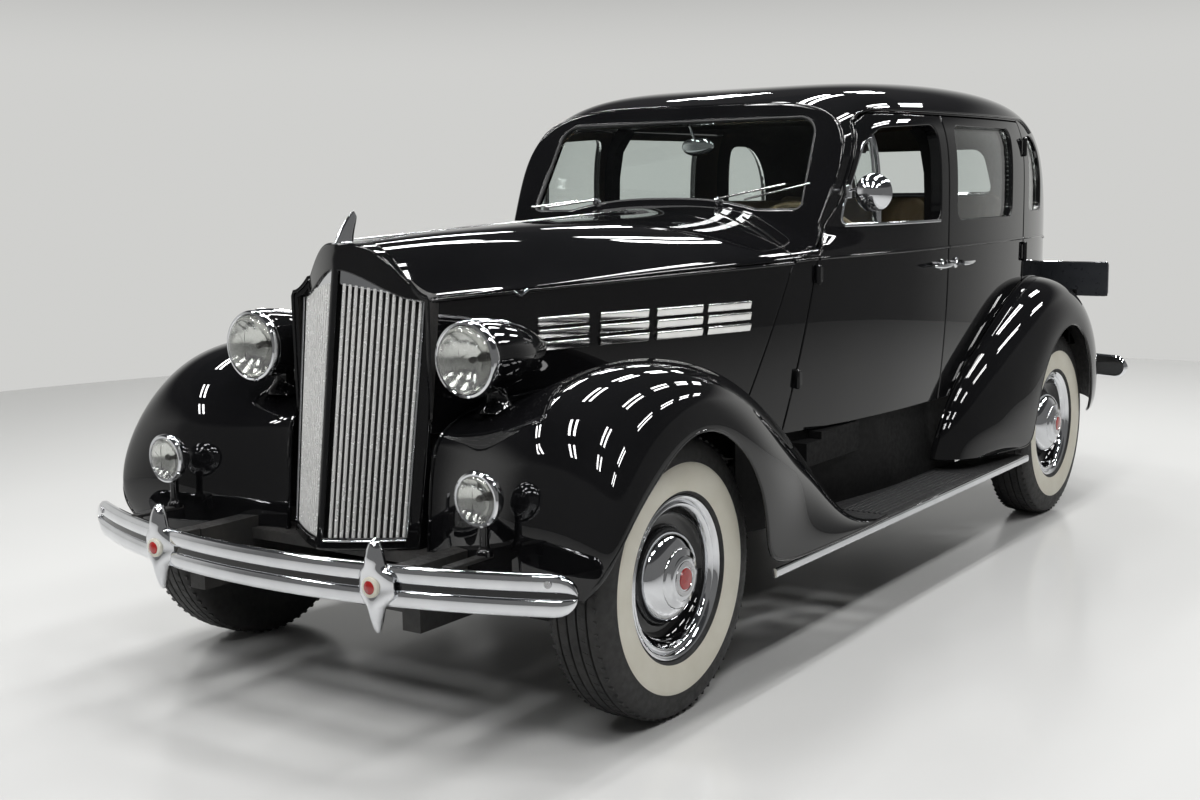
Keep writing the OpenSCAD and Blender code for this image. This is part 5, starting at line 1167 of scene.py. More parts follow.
def endTree(tree, a, b, made):
    real = put(tree, "GeometryNodeRealizeInstances", [(0, made)])
    done = put(tree, "GeometryNodeSetMaterial", [("Geometry", real.outputs[0]), ("Material", a.outputs["Finish"])])
    tree.links.new(done.outputs[0], b.inputs[0])
    return tree


def barTree(name, flat):
    shape = ("Round", "NodeSocketFloat", 0.001) if flat else ("Sides", "NodeSocketInt", 12)
    tree, a, b = nodeTree(name, [("Depth", "NodeSocketFloat", 0.01), ("Width", "NodeSocketFloat", 0.01), shape])
    line = put(tree, "GeometryNodeMeshToCurve", [("Mesh", a.outputs["Geometry"])])
    way = put(tree, "GeometryNodeInputNamedAttribute", [("Name", "facing")], data_type="FLOAT_VECTOR")
    lie = put(tree, "GeometryNodeSetCurveNormal", [("Curve", line.outputs[0]), ("Normal", way.outputs[0])], mode="FREE")
    if flat:
        box = put(tree, "GeometryNodeCurvePrimitiveQuadrilateral", [("Width", a.outputs["Depth"]),
            ("Height", a.outputs["Width"])])
        cut = put(tree, "GeometryNodeFilletCurve", [("Curve", box.outputs[0]), ("Radius", a.outputs["Round"]),
            ("Count", 3)], mode="POLY")
        cut.inputs["Limit Radius"].default_value = True
    else:
        ring = put(tree, "GeometryNodeCurvePrimitiveCircle", [("Resolution", a.outputs["Sides"]), ("Radius", 0.5)])
        wide = put(tree, "ShaderNodeCombineXYZ", [("X", a.outputs["Depth"]), ("Y", a.outputs["Width"]), ("Z", 1.0)])
        cut = put(tree, "GeometryNodeTransform", [("Geometry", ring.outputs[0]), ("Scale", wide.outputs[0])])
    pipe = put(tree, "GeometryNodeCurveToMesh", [("Curve", lie.outputs[0]), ("Profile Curve", cut.outputs[0]),
        ("Fill Caps", True)])
    return endTree(tree, a, b, pipe.outputs[0])


def pointTree(name, head):
    sizes = [("Radius", "NodeSocketFloat", 0.006), ("Depth", "NodeSocketFloat", 0.004), ("Sides", "NodeSocketInt", 6)]
    tree, a, b = nodeTree(name, sizes if head else [("Size", "NodeSocketVector", (0.01, 0.01, 0.01))])
    points = put(tree, "GeometryNodeMeshToPoints", [("Mesh", a.outputs["Geometry"])])
    way = put(tree, "GeometryNodeInputNamedAttribute", [("Name", "facing")], data_type="FLOAT_VECTOR")
    along = put(tree, "GeometryNodeInputNamedAttribute", [("Name", "along")], data_type="FLOAT_VECTOR")
    up = put(tree, "FunctionNodeAlignRotationToVector", [("Vector", way.outputs[0])], axis="Z")
    turn = put(tree, "FunctionNodeAlignRotationToVector", [("Rotation", up.outputs[0]), ("Vector", along.outputs[0])],
        axis="X", pivot_axis="Z")
    if head:
        shape = put(tree, "GeometryNodeMeshCylinder", [("Vertices", a.outputs["Sides"]), ("Radius", a.outputs["Radius"]),
            ("Depth", a.outputs["Depth"])])
    else:
        shape = put(tree, "GeometryNodeMeshCube", [("Size", a.outputs["Size"])])
    placed = put(tree, "GeometryNodeInstanceOnPoints", [("Points", points.outputs[0]), ("Instance", shape.outputs[0]),
        ("Rotation", turn.outputs[0])])
    return endTree(tree, a, b, placed.outputs[0])


roundBars, flatSlats = barTree("roundBars", False), barTree("flatSlats", True)
boltHeads, treadBlocks = pointTree("boltHeads", True), pointTree("treadBlocks", False)


# lines of (points, out direction[, along]) in millimetres through a tree to one plain mesh
def treePiece(name, tree, lines, mat, body, slotName, stands=(), loose=False, sharp=40.0, **sizes):
    verts, edges, facing, along = [], [], [], []
    for points, out, *rest in lines:
        p = np.asarray(points, float).reshape(-1, 3)
        o = np.array(np.broadcast_to(np.asarray(out, float), p.shape))
        t = np.broadcast_to(np.asarray(rest[0] if rest else (1.0, 0.0, 0.0), float), p.shape)
        if not loose:
            t = unitRows(np.gradient(p, axis=0))
            o = unitRows(o - t * np.sum(o * t, 1, keepdims=True))
            edges += [(len(verts) + i, len(verts) + i + 1) for i in range(len(p) - 1)]
        verts += (p * 0.001).tolist()
        facing += o.tolist()
        along += t.tolist()
    guide = bpy.data.meshes.new(name + "_guide")
    guide.from_pydata(verts, edges, [])
    for label, values in (("facing", facing), ("along", along)):
        guide.attributes.new(label, "FLOAT_VECTOR", "POINT").data.foreach_set("vector", np.ravel(values))
    obj = bpy.data.objects.new(name + "_guide", guide)
    bpy.context.scene.collection.objects.link(obj)
    mod = obj.modifiers.new("tree", "NODES")
    mod.node_group = tree
    sizes = {**sizes, "Finish": mat}
    for item in tree.interface.items_tree:
        if item.in_out == "INPUT" and item.name in sizes:
            mod[item.identifier] = sizes[item.name]
    mesh = bpy.data.meshes.new_from_object(obj.evaluated_get(bpy.context.evaluated_depsgraph_get()))
    bpy.data.objects.remove(obj)
    bpy.data.meshes.remove(guide)
    for label in ("facing", "along"):
        if label in mesh.attributes:
            mesh.attributes.remove(mesh.attributes[label])
    bm = bmesh.new()
    bm.from_mesh(mesh)
    bmesh.ops.recalc_face_normals(bm, faces=bm.faces)
    bm.to_mesh(mesh)
    bm.free()
    mesh.name = name
    mesh.polygons.foreach_set("use_smooth", [True] * len(mesh.polygons))
    mesh.set_sharp_from_angle(angle=math.radians(sharp))
    done = bpy.data.objects.new(name, mesh)
    bpy.context.scene.collection.objects.link(done)
    return settle(done, body, stands)


# a box with rounded edges
def block(low, high, r=4.0, mat=0):
    bm = bmesh.new()
    bmesh.ops.create_cube(bm, size=1.0)
    low, high = np.asarray(low, float), np.asarray(high, float)
    for v in bm.verts:
        v.co = Vector((low + high) / 2 + np.array(v.co) * (high - low))
    bmesh.ops.bevel(bm, geom=list(bm.edges), offset=r, segments=3, profile=0.5, affect="EDGES")
    bm.verts.index_update()
    geo = plain([tuple(v.co) for v in bm.verts], [tuple(v.index for v in f.verts) for f in bm.faces], mat)
    bm.free()
    return geo


# rings of points joined into a closed form, ends brought to a point
def lofted(rings, mat=0):
    rings = [np.asarray(r, float) for r in rings]
    n = len(rings[0])
    verts = np.concatenate(rings + [rings[0].mean(0)[None], rings[-1].mean(0)[None]])
    faces = []
    for i in range(len(rings) - 1):
        faces += [(i * n + j, i * n + (j + 1) % n, (i + 1) * n + (j + 1) % n, (i + 1) * n + j) for j in range(n)]
    last, a, b = (len(rings) - 1) * n, len(rings) * n, len(rings) * n + 1
    faces += [(a, (j + 1) % n, j) for j in range(n)] + [(b, last + j, last + (j + 1) % n) for j in range(n)]
    return outward(plain(verts, faces, mat))


# wheels: tyre with pale side wall and ribbed tread, steel disc with trim ring and cap
wheelSet = {"front": (1685.5, 745.0), "rear": (-1235.5, 755.0), "z": 372.0, "shoulderBlocks": 72}
tyreRows = [(214, 64), (217.5, 71), (222, 76), (225, 79.4, 1), (238, 84, 1), (256, 87.4, 1), (274, 89, 1), (290, 89, 1),
    (298.5, 88.3, 1), (300.5, 86.6), (317, 85.8), (335, 82.6), (350, 78), (359, 72.5), (365.5, 65.5), (369.5, 56),
    (371, 46.6), (364.5, 45.4), (364.5, 42), (371.4, 40.8), (372, 17.6), (365, 16.4), (365, 13), (372, 11.8)]
wheelRows = [(0, 100, 3), (16, 99.4, 3), (27, 98.2, 3), (28.5, 95.6, 1), (31, 95.6, 1), (32, 97.4, 2), (45, 96, 2),
    (46, 93.8, 1), (56, 92.6, 1), (58.5, 90.4, 1), (62, 87.6, 1), (75, 84.6, 1), (79, 82, 1), (80.5, 77.6, 1), (84, 76.4, 1),
    (97, 71, 1), (109, 62.4, 1), (118, 51.4, 1), (123.5, 39, 1), (126, 27, 1), (126.5, 19, 0), (133, 14.5, 0), (148, 15, 0),
    (163, 21, 0), (173, 34, 0), (179, 48, 1), (181.5, 57.5, 1), (186, 63.4, 1), (191, 65.2, 1), (195, 63.6, 1),
    (197.4, 61.4, 1),
    (200, 65.4, 1), (205, 71, 1), (210.5, 73.4, 1), (215, 72, 0), (217.4, 69, 0), (217, 65, 0), (213.6, 64, 0), (213.6, -64, 0),
    (217, -66, 0), (214, -71, 0), (206, -70, 0), (192, -62, 0), (189, -24, 0), (130, 4, 0), (44, 4, 0), (44, -36, 0),
    (0, -36, 0)]


def wheels():
    w = wheelSet
    tyre = tyreRows + [(r[0], -r[1]) for r in tyreRows[::-1]]
    for end in ("front", "rear"):
        for hand, side in (("left", 1.0), ("right", -1.0)):
            at = (w[end][0], w[end][1] * side, w["z"])
            body, tag = f"{end}_{hand}_wheel", f"{end}_{hand}"
            geo = turned(tyre, at, (0, side, 0), 144, closed=True)
            makePiece(f"{tag}_tyre", geo, [rubber, whitewall], body, ["tyre_" + tag], sharp=42)
            geo = turned(wheelRows, at, (0, side, 0), 112)
            makePiece(f"{tag}_disc", geo, [paint, chrome, chromeDull, redGlass], body, ["wheel_" + tag],
                sharp=40)
            n = w["shoulderBlocks"]
            a = around(n)
            lines = []
            for h, lag in ((61.0, 0.0), (-61.0, 0.5), (29.0, 0.25), (-29.0, 0.75)):
                b = a + lag * 2 * np.pi / n
                r = cols(np.cos(b), 0 * b, np.sin(b))
                t = cols(-np.sin(b), 0.35 * np.sign(h) + 0 * b, np.cos(b))
                lines.append((np.array(at) + r * (366.4 if abs(h) > 40 else 370.6) + np.array([0, h, 0]), r, t))
            treePiece(f"{tag}_tread_blocks", treadBlocks, lines, rubber, body, "tyre_rubber", loose=True,
                Size=(0.0115, 0.019, 0.004))


wheels()
print("wheels made")

# radiator grille
grille = {"noseD": -467.0, "lowZ": 452.0, "rake": 108 / 790, "sweep": 122.0, "half": 226.0, "shellD": -285.0, "footZ": 440.0,
    "bars": 13, "barWide": 9.4, "barDeep": 9.0, "centre": 12.5, "railTop": 474.0}


def faceX(y, z):
    g = grille
    s = np.abs(y) / (g["half"] * (0.9 + 0.1 * (z - g["lowZ"]) / 668))
    return px(g["noseD"] + (z - g["lowZ"]) * g["rake"]) - g["sweep"] * s ** 1.25


def openHalf(z):
    return 201 + 16 * (z - 452) / 620


def openTop(y):
    return 1168 - 82 * smooth(1.06 * np.abs(y) / grille["half"])


def plateLow(y):
    return np.minimum(1134 - 46 * np.abs(y) / grille["half"], openTop(y) - 3)


def grillePieces():
    g = grille
    s = np.linspace(0, 1, 80)
    d0 = np.full(80, g["shellD"])
    zs = np.linspace(float(belt(g["shellD"])), g["footZ"], 60)
    half = np.concatenate([cols(plan(d0) * s, hoodZ(d0, s)),
        cols(sideY(np.full(60, g["shellD"]), zs), zs)[1:]])
    run = np.r_[0, np.cumsum(np.linalg.norm(np.diff(half, axis=0), axis=1))]
    deep = 150.0

    def skirt(t, f):
        y, z = np.interp(np.abs(t), run, half[:, 0]) * np.sign(t), np.interp(np.abs(t), run, half[:, 1])
        back = px(g["shellD"] + 2)
        return cols(back + (faceX(y, z) - back) * f / deep, y, z)

    ts = np.linspace(-run[-1], run[-1], 240)
    edge = lambda f: cols(ts, f)
    wrap = panel([(edge(0.0), 2), (np.array([edge(0.0)[-1], edge(deep)[-1]]), 1), (edge(deep)[::-1], 7),
        (np.array([edge(deep)[0], edge(0.0)[0]]), 1)], skirt, wall=9, step=24, out=(0, 0, 0))
    outline = np.concatenate([half[::-1] * np.array([-1, 1]), half[1:]])
    z = np.linspace(g["railTop"], float(openTop(216.0)), 40)
    hole = np.concatenate([cols(openHalf(z), z),
        cols(np.linspace(216, g["centre"], 40), openTop(np.linspace(216, g["centre"], 40))),
        [(g["centre"], g["railTop"])]])
    mirror = np.array([-1.0, 1.0])
    face = panel([(closeLoop(outline), 7)], lambda y, z: cols(faceX(y, z), y, z),
        [[(closeLoop(hole), 4)], [(closeLoop(hole * mirror), 4)]], wall=30, step=20, out=(1, 0, 0.1))
    makePiece("grille_surround", [wrap, face], [paint, paintUnder], "car_body", ["grille_shell"])
    # bright plate over the bars
    ys = np.linspace(g["centre"] + 1, 214, 50)
    plate = np.concatenate([cols(ys, openTop(ys) + 3), cols(ys, plateLow(ys))[::-1]])
    place = lambda y, z: cols(faceX(y, z) - 7, y, z)
    header = panel([(closeLoop(plate), 2)], place, wall=5, step=14, edge=6, out=(1, 0, 0.1))
    makePiece("grille_header", bothSides([header]), [chrome, chromeDull], "car_body")
    # dark core behind the bars
    core = np.array([(-205, 455), (205, 455), (212, 1080), (60, 1150), (-60, 1150), (-212, 1080), (-205, 455)])
    behind = panel([(core, 1)], lambda y, z: cols(faceX(y, z) - 44, y, z), wall=12, step=40, out=(1, 0, 0.1))
    makePiece("radiator_core", behind, [paintUnder], "car_body")
    lines = []
    for side in (1, -1):
        for i in range(g["bars"]):
            y = (g["centre"] + 4.5) + (openHalf(480.0) - g["centre"] - 9) * (i + 0.5) / g["bars"]
            zz = np.linspace(g["railTop"] - 6, float(plateLow(y)) + 3, 24)
            yy = y * openHalf(zz) / openHalf(480.0)
            lines.append((cols(faceX(yy, zz) - 9, yy * side, zz), (1, 0, 0)))
    # the bars take the near-white painted-reflection finish in place of chrome
    treePiece("grille_uprights", roundBars, lines, barPaintedSheen, "car_body", "bright_chrome", ["grille_bars"],
        Depth=g["barDeep"] * 0.001, Width=g["barWide"] * 0.001, Sides=14)
    strips = []
    for side in (1, -1):
        zz = np.linspace(g["railTop"], 1084, 40)
        strips.append((cols(faceX(openHalf(zz), zz) + 0.5, (openHalf(zz) + 1.5) * side, zz), (1, 0, 0)))
        yy = np.linspace(g["centre"] + 2, 200, 30)
        strips.append((cols(faceX(yy, yy * 0 + 466) + 1, yy * side, yy * 0 + 466), (1, 0, 0)))
    treePiece("grille_edge_strips", roundBars, strips, chrome, "car_body", "bright_chrome", Depth=0.007, Width=0.006,
        Sides=10)


grillePieces()


# plain upright fin on the radiator's top
finSet = {"d": -326.0, "lean": 44.0, "lowZ": 1236.0, "tall": 78.0, "chord": 30.0, "thick": 7.4, "footD": -324.0,
    "foot": (36.0, 15.0), "footRows": ((1222, 1.0), (1234, 0.97), (1239, 0.8), (1241, 0.5))}


def radiatorFin():
    f = finSet
    a = around(28)
    rings = []
    for k in range(15):
        t = k / 14
        mid = px(f["d"] + f["lean"] * t ** 1.4)
        chord, thick = f["chord"] * (1 - t) ** 0.6 + 5, f["thick"] * (1 - t) ** 0.5 + 0.6
        z = f["lowZ"] + f["tall"] * t + 6 * np.cos(a) * t
        rings.append(cols(mid + chord * np.cos(a), thick * np.sin(a), z))
    (long, wide), foot = f["foot"], []
    for h, r in f["footRows"]:
        foot.append(cols(px(f["footD"]) + long * r * np.cos(a), wide * r * np.sin(a), h + 0 * a))
    makePiece("radiator_fin", [lofted(rings), lofted(foot)], [chrome], "car_body", sharp=50)


radiatorFin()
print("grille made")

# lamps: place (d, y, z), radius and length
lampSet = {"head": (-313.0, 388.0, 945.0, 96.0, 330.0), "fog": (-492.0, 561.0, 638.0, 66.0, 70.0),
    "tail": (3599.0, 690.0, 790.0, 46.0, 144.0), "flute": 9.0}


def bullet(r, length, n=26):
    h = length * np.sin(np.linspace(np.pi / 2, 0.07, n))
    return [(float(r * max(1 - (x / length) ** 2.1, 0) ** 0.62), -float(x), 0) for x in h]


def lensFront(r, rise, deep, at, axis, flute):
    front = [(r * math.sin(a), rise * math.cos(a)) for a in np.linspace(math.pi / 2, 0, 14)]
    back = [(r * math.sin(a) * 0.99, (rise - deep) * math.cos(a) - 1.5) for a in np.linspace(0, math.pi / 2, 8)]
    geo = turned(front + back, at, axis, 96, closed=True)
    v = geo["verts"]
    far = (v - np.array(at)) @ np.array(axis)
    side = v[:, 1] - at[1]
    v[:, 0] += np.where(far > 1.0, 0.55 * np.cos(2 * np.pi * side / flute) * axis[0], 0)
    return outward(geo)


def lamps():
    shells, lenses = [], []
    d, y, z, r, length = lampSet["head"]
    at = (px(d), y, z)
    shape = bullet(r, length) + [(r + 2.5, -19, 1), (r + 4.5, -12, 1), (r + 4, -4, 1), (r, 2.5, 1), (r - 6, 4.5, 1),
        (r - 9, 2.5, 1), (r - 10, -3, 2), (r - 20, -17, 2), (r - 42, -36, 2), (r - 70, -48, 2), (0, -52, 2)]
    shells.append(turned(shape, at, (1, 0, 0), 96))
    shells.append(turned([(0, -52), (7, -50), (8, -40), (11, -33), (9.5, -25), (5, -21), (0, -20)], at, (1, 0, 0), 24, 3))
    shells.append(turned([(0, 796), (54, 800), (50, 810), (38, 822), (30, 838), (28, 856), (34, 872), (40, 884), (0, 890)],
        (px(-190), y, 0), (0, 0, 1), 48))
    t = np.linspace(0.08, 0.9, 30)
    top = cols(px(d) - length * t, y, z + r * (1 - t ** 2.1) ** 0.62 + 0.5)
    wide = 8.5 * (1 - t) ** 0.6 + 1.2
    ridge = [[(-w, -2), (-w * 0.8, w * 0.35), (-w * 0.25, w * 0.8), (w * 0.25, w * 0.8), (w * 0.8, w * 0.35), (w, -2)]
        for w in wide]
    shells.append(swept(top, (0.0, 0.0, 1.0), ridge, mat=1))
    lenses.append(lensFront(r - 8.5, 24, 4, (at[0] + 1, y, z), (1, 0, 0), lampSet["flute"]))
    makePiece("headlamp_shells", bothSides(shells), [paint, chrome, lampSilver, castSteel], "car_body",
        ["headlamps"])
    d, y, z, r, length = lampSet["fog"]
    at = (px(d), y, z)
    shape = bullet(r, length, 16) + [(r + 2.5, -11), (r + 3.5, -5), (r + 2, 1), (r - 3, 4.5), (r - 8, 4), (r - 9, 0),
        (r - 10, -3, 1), (r - 24, -16, 1), (r - 44, -24, 1), (0, -27, 1)]
    fog = [turned(shape, at, (1, 0, 0), 80),
        turned([(0, -27), (6, -26), (7, -18), (9, -13), (6, -7), (0, -5)], at, (1, 0, 0), 20, 2),
        turned([(0, 496), (20, 496), (20, 508), (14, 514), (12, 522), (12, 574), (17, 584), (17, 590), (0, 592)],
            (px(d) - 26, y, 0), (0, 0, 1), 32, 3)]
    lenses.append(lensFront(r - 8.5, 15, 3, (at[0] + 1, y, z), (1, 0, 0), lampSet["flute"]))
    makePiece("fog_lamp_shells", bothSides(fog), [chrome, lampSilver, castSteel, paint], "car_body",
        ["fog_lamps"])
    makePiece("lamp_glasses", bothSides(lenses), [lensClear], "car_body", ["lamp_lenses"])
    d, y, z, r, length = lampSet["tail"]
    at = (px(d), y, z)
    shape = bullet(r, length, 18) + [(r + 2, -11, 1), (r + 2.6, -5, 1), (r, 1, 1), (r - 5, 3, 1), (r - 7, 1, 1),
        (r - 7.5, 3, 2), (r - 12, 9, 2), (r - 24, 15, 2), (0, 18, 2)]
    tail = [turned(shape, at, (-1, 0, 0), 64),
        turned([(0, 640), (34, 640), (32, 700), (24, 716), (18, 730), (17, 760), (24, 790), (0, 794)],
            (px(3545), y, 0), (0, 0, 1), 36)]
    both = bothSides(tail)
    plateX = px(3590)
    both += [block((plateX - 5, y - 152, 852), (plateX + 1, y + 152, 1002), 2.5, 3), block((plateX - 3, y - 16, 800),
        (plateX + 8, y + 16, 880), 3)]
    edgePath = roundedOutline([(y - 150, 854), (y + 150, 854), (y + 150, 1000), (y - 150, 1000)], 12, 6)
    edgePath = cols(plateX - 4.5, edgePath[:, 0], edgePath[:, 1])
    both.append(swept(edgePath, (-1.0, 0, 0), ringProfile(4, 8), mat=1, closed=True))
    makePiece("tail_lamp_shells", both, [paint, chrome, redGlass, plateBlank], "car_body", ["tail_lamps"])


lamps()
print("lamps made")

# bumpers: two bright ridges with a dark groove, guards and brackets
bumper = {"half": 862.0, "r": 1990.0, "frontD": -700.0, "frontZ": 444.0, "rearD": 4071.0, "rearZ": 504.0,
    "guardY": 388.0, "guardTall": 116.0, "boltY": 800.0}
ridgeRows = [(44, -26), (51, -18), (52, -10), (49.5, -4.5), (43, -0.8), (34, 0.4), (24, 0.4), (15, -0.6), (9.5, -3.4),
    (7.2, -8)]
bumperRows = ridgeRows + [(-a, c) for a, c in ridgeRows[::-1]]

# share of half the height, half width, depth
guardRows = [[-1, 2, 3], [-0.96, 5.5, 8], [-0.8, 11, 17], [-0.6, 18.5, 23], [-0.44, 26, 25], [-0.3, 44, 24],
    [-0.18, 54, 22], [0, 55, 20], [0.18, 54, 22], [0.3, 47, 24], [0.42, 33, 26], [0.6, 26.5, 27], [0.8, 19, 22],
    [0.93, 11, 14], [0.985, 5, 7], [1, 2, 3]]


def barBack(y):
    return bumper["r"] - np.sqrt(bumper["r"] ** 2 - y ** 2)


def bumperSet(name, front):
    b = bumper
    way = 1.0 if front else -1.0
    x0, z0 = (px(b["frontD"]), b["frontZ"]) if front else (px(b["rearD"]), b["rearZ"])
    half = b["half"]
    tip = half - np.array([36, 22, 12, 6, 2, 0.4])    # close rows where the bar's end is rounded
    y = np.concatenate([-tip[::-1], np.linspace(-half + 52, half - 52, 60), tip])
    short = np.sqrt(np.clip(1 - ((np.abs(y) - (half - 52)).clip(0) / 52) ** 2, 0.0001, 1))
    path = cols(x0 - way * barBack(y), y, z0)
    rows = [[(a * s, c) for a, c in bumperRows] for s in short]
    outs = cols(way, y / b["r"], 0 * y)
    bar = swept(path, outs, rows)
    n = len(bumperRows)
    groove = {9, 10}    # rows of the profile on either side of the dark groove
    bar["mats"] = [int(len(f) == 4 and {f[0] % n, f[3] % n} == groove) for f in bar["faces"]]
    geos = [bar]
    for side in (1, -1):
        gy = b["guardY"] * side
        gx = x0 - way * float(barBack(gy))
        rings = []
        for t in np.linspace(-1, 1, 41):
            w, depth = float(readAt(t, guardRows, 1)), float(readAt(t, guardRows, 2))
            a = around(36)
            c = np.cos(a)
            rings.append(cols(gx + way * (np.where(c > 0, depth * c, 16 * c * min(1, w / 12)) - 1.5), gy + w * np.sin(a),
                z0 + b["guardTall"] * t))
        geos.append(lofted(rings))
        if front:
            disc = [(0, 22), (25, 17), (25, 24.2, 2), (22, 26.4, 2), (16.5, 26, 3), (15.6, 27.4, 3), (8, 29.4, 3), (0, 30, 3)]
            geos.append(turned(disc, (gx, gy, z0), (way, 0, 0), 48, 2))
        # brackets back to the frame
        rail = px(-545) if front else px(3640)
        low, high = sorted((gx - way * 24, rail))
        geos.append(block((low, gy - 23, z0 - 30), (high, gy + 23, z0 + 30), 4, 4))
        if front:
            fy = lampSet["fog"][1] * side
            fx = x0 - float(barBack(fy))
            geos.append(block((px(lampSet["fog"][0]) - 44, fy - 15, 490), (fx - 12, fy + 15, 500), 3, 4))
            geos.append(block((fx - 30, fy - 15, 446), (fx - 20, fy + 15, 500), 3, 4))
    makePiece(f"{name}_bar", geos, [chrome, paint, whitewall, redGlass, chassisCoat], "car_body", [name],
        sharp=44)
    spots, outs = [], []
    for side in (1, -1):
        y = b["boltY"] * side
        spots.append((x0 - way * (float(barBack(y)) - 1.5), y, z0 + 29))
        outs.append((way, y / b["r"], 0))
    treePiece(f"{name}_bolts", boltHeads, [(spots, outs, (0, 0, 1))], chromeDull, "car_body", "bright_chrome", loose=True,
        Radius=0.009, Depth=0.006, Sides=12)


bumperSet("front_bumper", True)
bumperSet("rear_bumper", False)
print("bumpers made")

# running boards
board = {"front": 1100.0, "rear": 2015.0, "tailD": 2436.0, "inY": 690.0, "outY": 896.0, "lowZ": 292.0, "topZ": 320.0,
    "ribs": 8, "ribY": 718.0, "pitch": 18.75, "ribD": (1172.0, 1935.0), "valanceD": (790.0, 2190.0),
    "valanceTop": 612.0, "stripD": (390.0, 2440.0), "stripY": 889.0, "stripZ": 306.0}


def runningBoards():
    b = board
    geos = [block((px(b["rear"]), b["inY"] - 90, b["lowZ"]), (px(b["front"]), b["outY"] - 12, b["topZ"]), 4),
        block((px(b["tailD"]), b["inY"] + 12, b["lowZ"] + 2), (px(b["rear"] - 20), b["outY"] - 12, b["topZ"] - 2), 4)]
    # upright valance up to the sill, on to the rear fender's inside
    ds = np.linspace(*b["valanceD"], 48)
    low, high = (cols(ds, z) for z in (b["lowZ"], b["valanceTop"]))

    def upright(d, z):
        return cols(px(d), np.minimum(697 - 14 * (z - b["lowZ"]) / 283, sideY(d, 600.0) - 12), z)

    valance = panel([(low, 0), (np.array([low[-1], high[-1]]), 0), (high[::-1], 0), (np.array([high[0], low[0]]), 0)],
        upright, wall=7, step=60, out=(0, 1, 0))
    makePiece("running_board_slabs", bothSides(geos + [allIn(valance, 1)]), [matRubber, sillCoat], "car_body",
        ["running_boards"])
    lines = []
    for side in (1, -1):
        for i in range(b["ribs"]):
            y = (b["ribY"] + b["pitch"] * i) * side
            xs = px(np.linspace(*b["ribD"], 12))
            lines.append((cols(xs, y, b["topZ"] + 0.6), (0, 0, 1)))
    treePiece("running_board_ribs", flatSlats, lines, matRubber, "car_body", "ribbed_rubber", Depth=0.006, Width=0.0105,
        Round=0.0022)
    # bright strip along the outer edge, rounded at its front end
    strips = []
    for side in (1, -1):
        start, end = b["stripD"]
        d = np.concatenate([start + np.array([0, 4, 12, 24]), np.linspace(start + 40, end, 50)])
        strips.append((cols(px(d), b["stripY"] * side, b["stripZ"]), (0, side, 0)))
    treePiece("running_board_strips", flatSlats, strips, chrome, "car_body", "bright_chrome", Depth=0.014, Width=0.027,
        Round=0.0066)


runningBoards()
print("running boards made")

# trim: louvers, belt moulding, drip rail, window frames, handles, hinges and mirror
trim = {"louverD": (60.0, 265.0, 460.0, 645.0), "louverLong": 165.0, "louverZ": 941.0, "louverPitch": 34.0,
    "handleZ": 1078.0, "handleD": {"front": 1888.0, "rear": 2012.0}, "rearHingeZ": (1500.0, 1085.0),
    "frontHingeZ": (760.0, 1085.0)}


def onSide(d, z, lift=0.0):
    d, z = np.broadcast_arrays(np.asarray(d, float), np.asarray(z, float))
    p = sideMap(d, z)
    n = np.cross(sideMap(d + 2, z) - sideMap(d - 2, z), sideMap(d, z + 2) - sideMap(d, z - 2))
    n = unitRows(n * np.sign(n[..., 1:2]))
    return p + n * lift, n


def mirrored(lines):
    s = np.array([1.0, -1.0, 1.0])
    return lines + [(np.asarray(p) * s, np.asarray(o) * s) for p, o in lines]


def louvers():
    t, lines = trim, []
    for d in t["louverD"]:
        for i in range(3):
            ds = np.linspace(d, d + t["louverLong"], 12)
            p, n = onSide(ds, t["louverZ"] + t["louverPitch"] * i, 1.5)
            lines.append((p, n + np.array([0, 0, -0.3])))
    treePiece("hood_louvers", flatSlats, mirrored(lines), lampSilver, "car_body", "bright_chrome", Depth=0.013, Width=0.027,
        Round=0.005)
    # latch in a flat v on the moulding
    for side, tag in ((1, "left"), (-1, "right")):
        low, n = onSide(np.array([-18.0, 4.0, 30.0]), np.array([1096.0, 1083.0, 1100.0]), 4.0)
        lines = [(np.linspace(low[0], low[1], 6), n[0]), (np.linspace(low[1], low[2], 6), n[0])]
        if side < 0:
            lines = mirrored(lines)[2:]
        treePiece(f"hood_latch_{tag}", roundBars, lines, chrome, "car_body", "bright_chrome", Depth=0.012,
            Width=0.008, Sides=12)


louvers()


def mouldings():
    spans = {"car_body": [(-278, 996, -9.0), (1004, 1105, -4.0), (2804, 3330, -4.0)]}
    for end, span in (("front", (1119, 1946, -4.0)), ("rear", (1954, 2796, -4.0))):
        spans.update({f"{end}_{hand}_door": [span] for hand in ("left", "right")})
    for body, rows in spans.items():
        lines = []
        for a, b, drop in rows:
            d = np.linspace(a, b, max(8, int((b - a) / 25)))
            lines.append(onSide(d, belt(d) + drop, 1.2))
        if body == "car_body":
            lines = mirrored(lines)
        elif "right" in body:
            lines = mirrored(lines)[len(lines):]
        treePiece(body + "_moulding", roundBars, lines, paint, body, "body_paint", Depth=0.010, Width=0.0105, Sides=14)
    # drip rail over the doors
    z = np.linspace(1330, doorSet["winTop"], 20)
    railZ, t = 1612.0, np.linspace(0.05, 1, 12)
    over = np.concatenate([cols(doorFrontAt(z) - 9, z), [(shieldAt(1590.0) + 84, 1596)],
        cols(np.linspace(1535, 2830, 60), railZ),
        cols(np.linspace(2850, 2990, 12), railZ - 52 * t ** 2)])
    p, n = onSide(over[:, 0], over[:, 1], 0.5)
    treePiece("drip_rails", roundBars, mirrored([(p, n)]), paint, "car_body", "body_paint", Depth=0.014, Width=0.009, Sides=12)


mouldings()


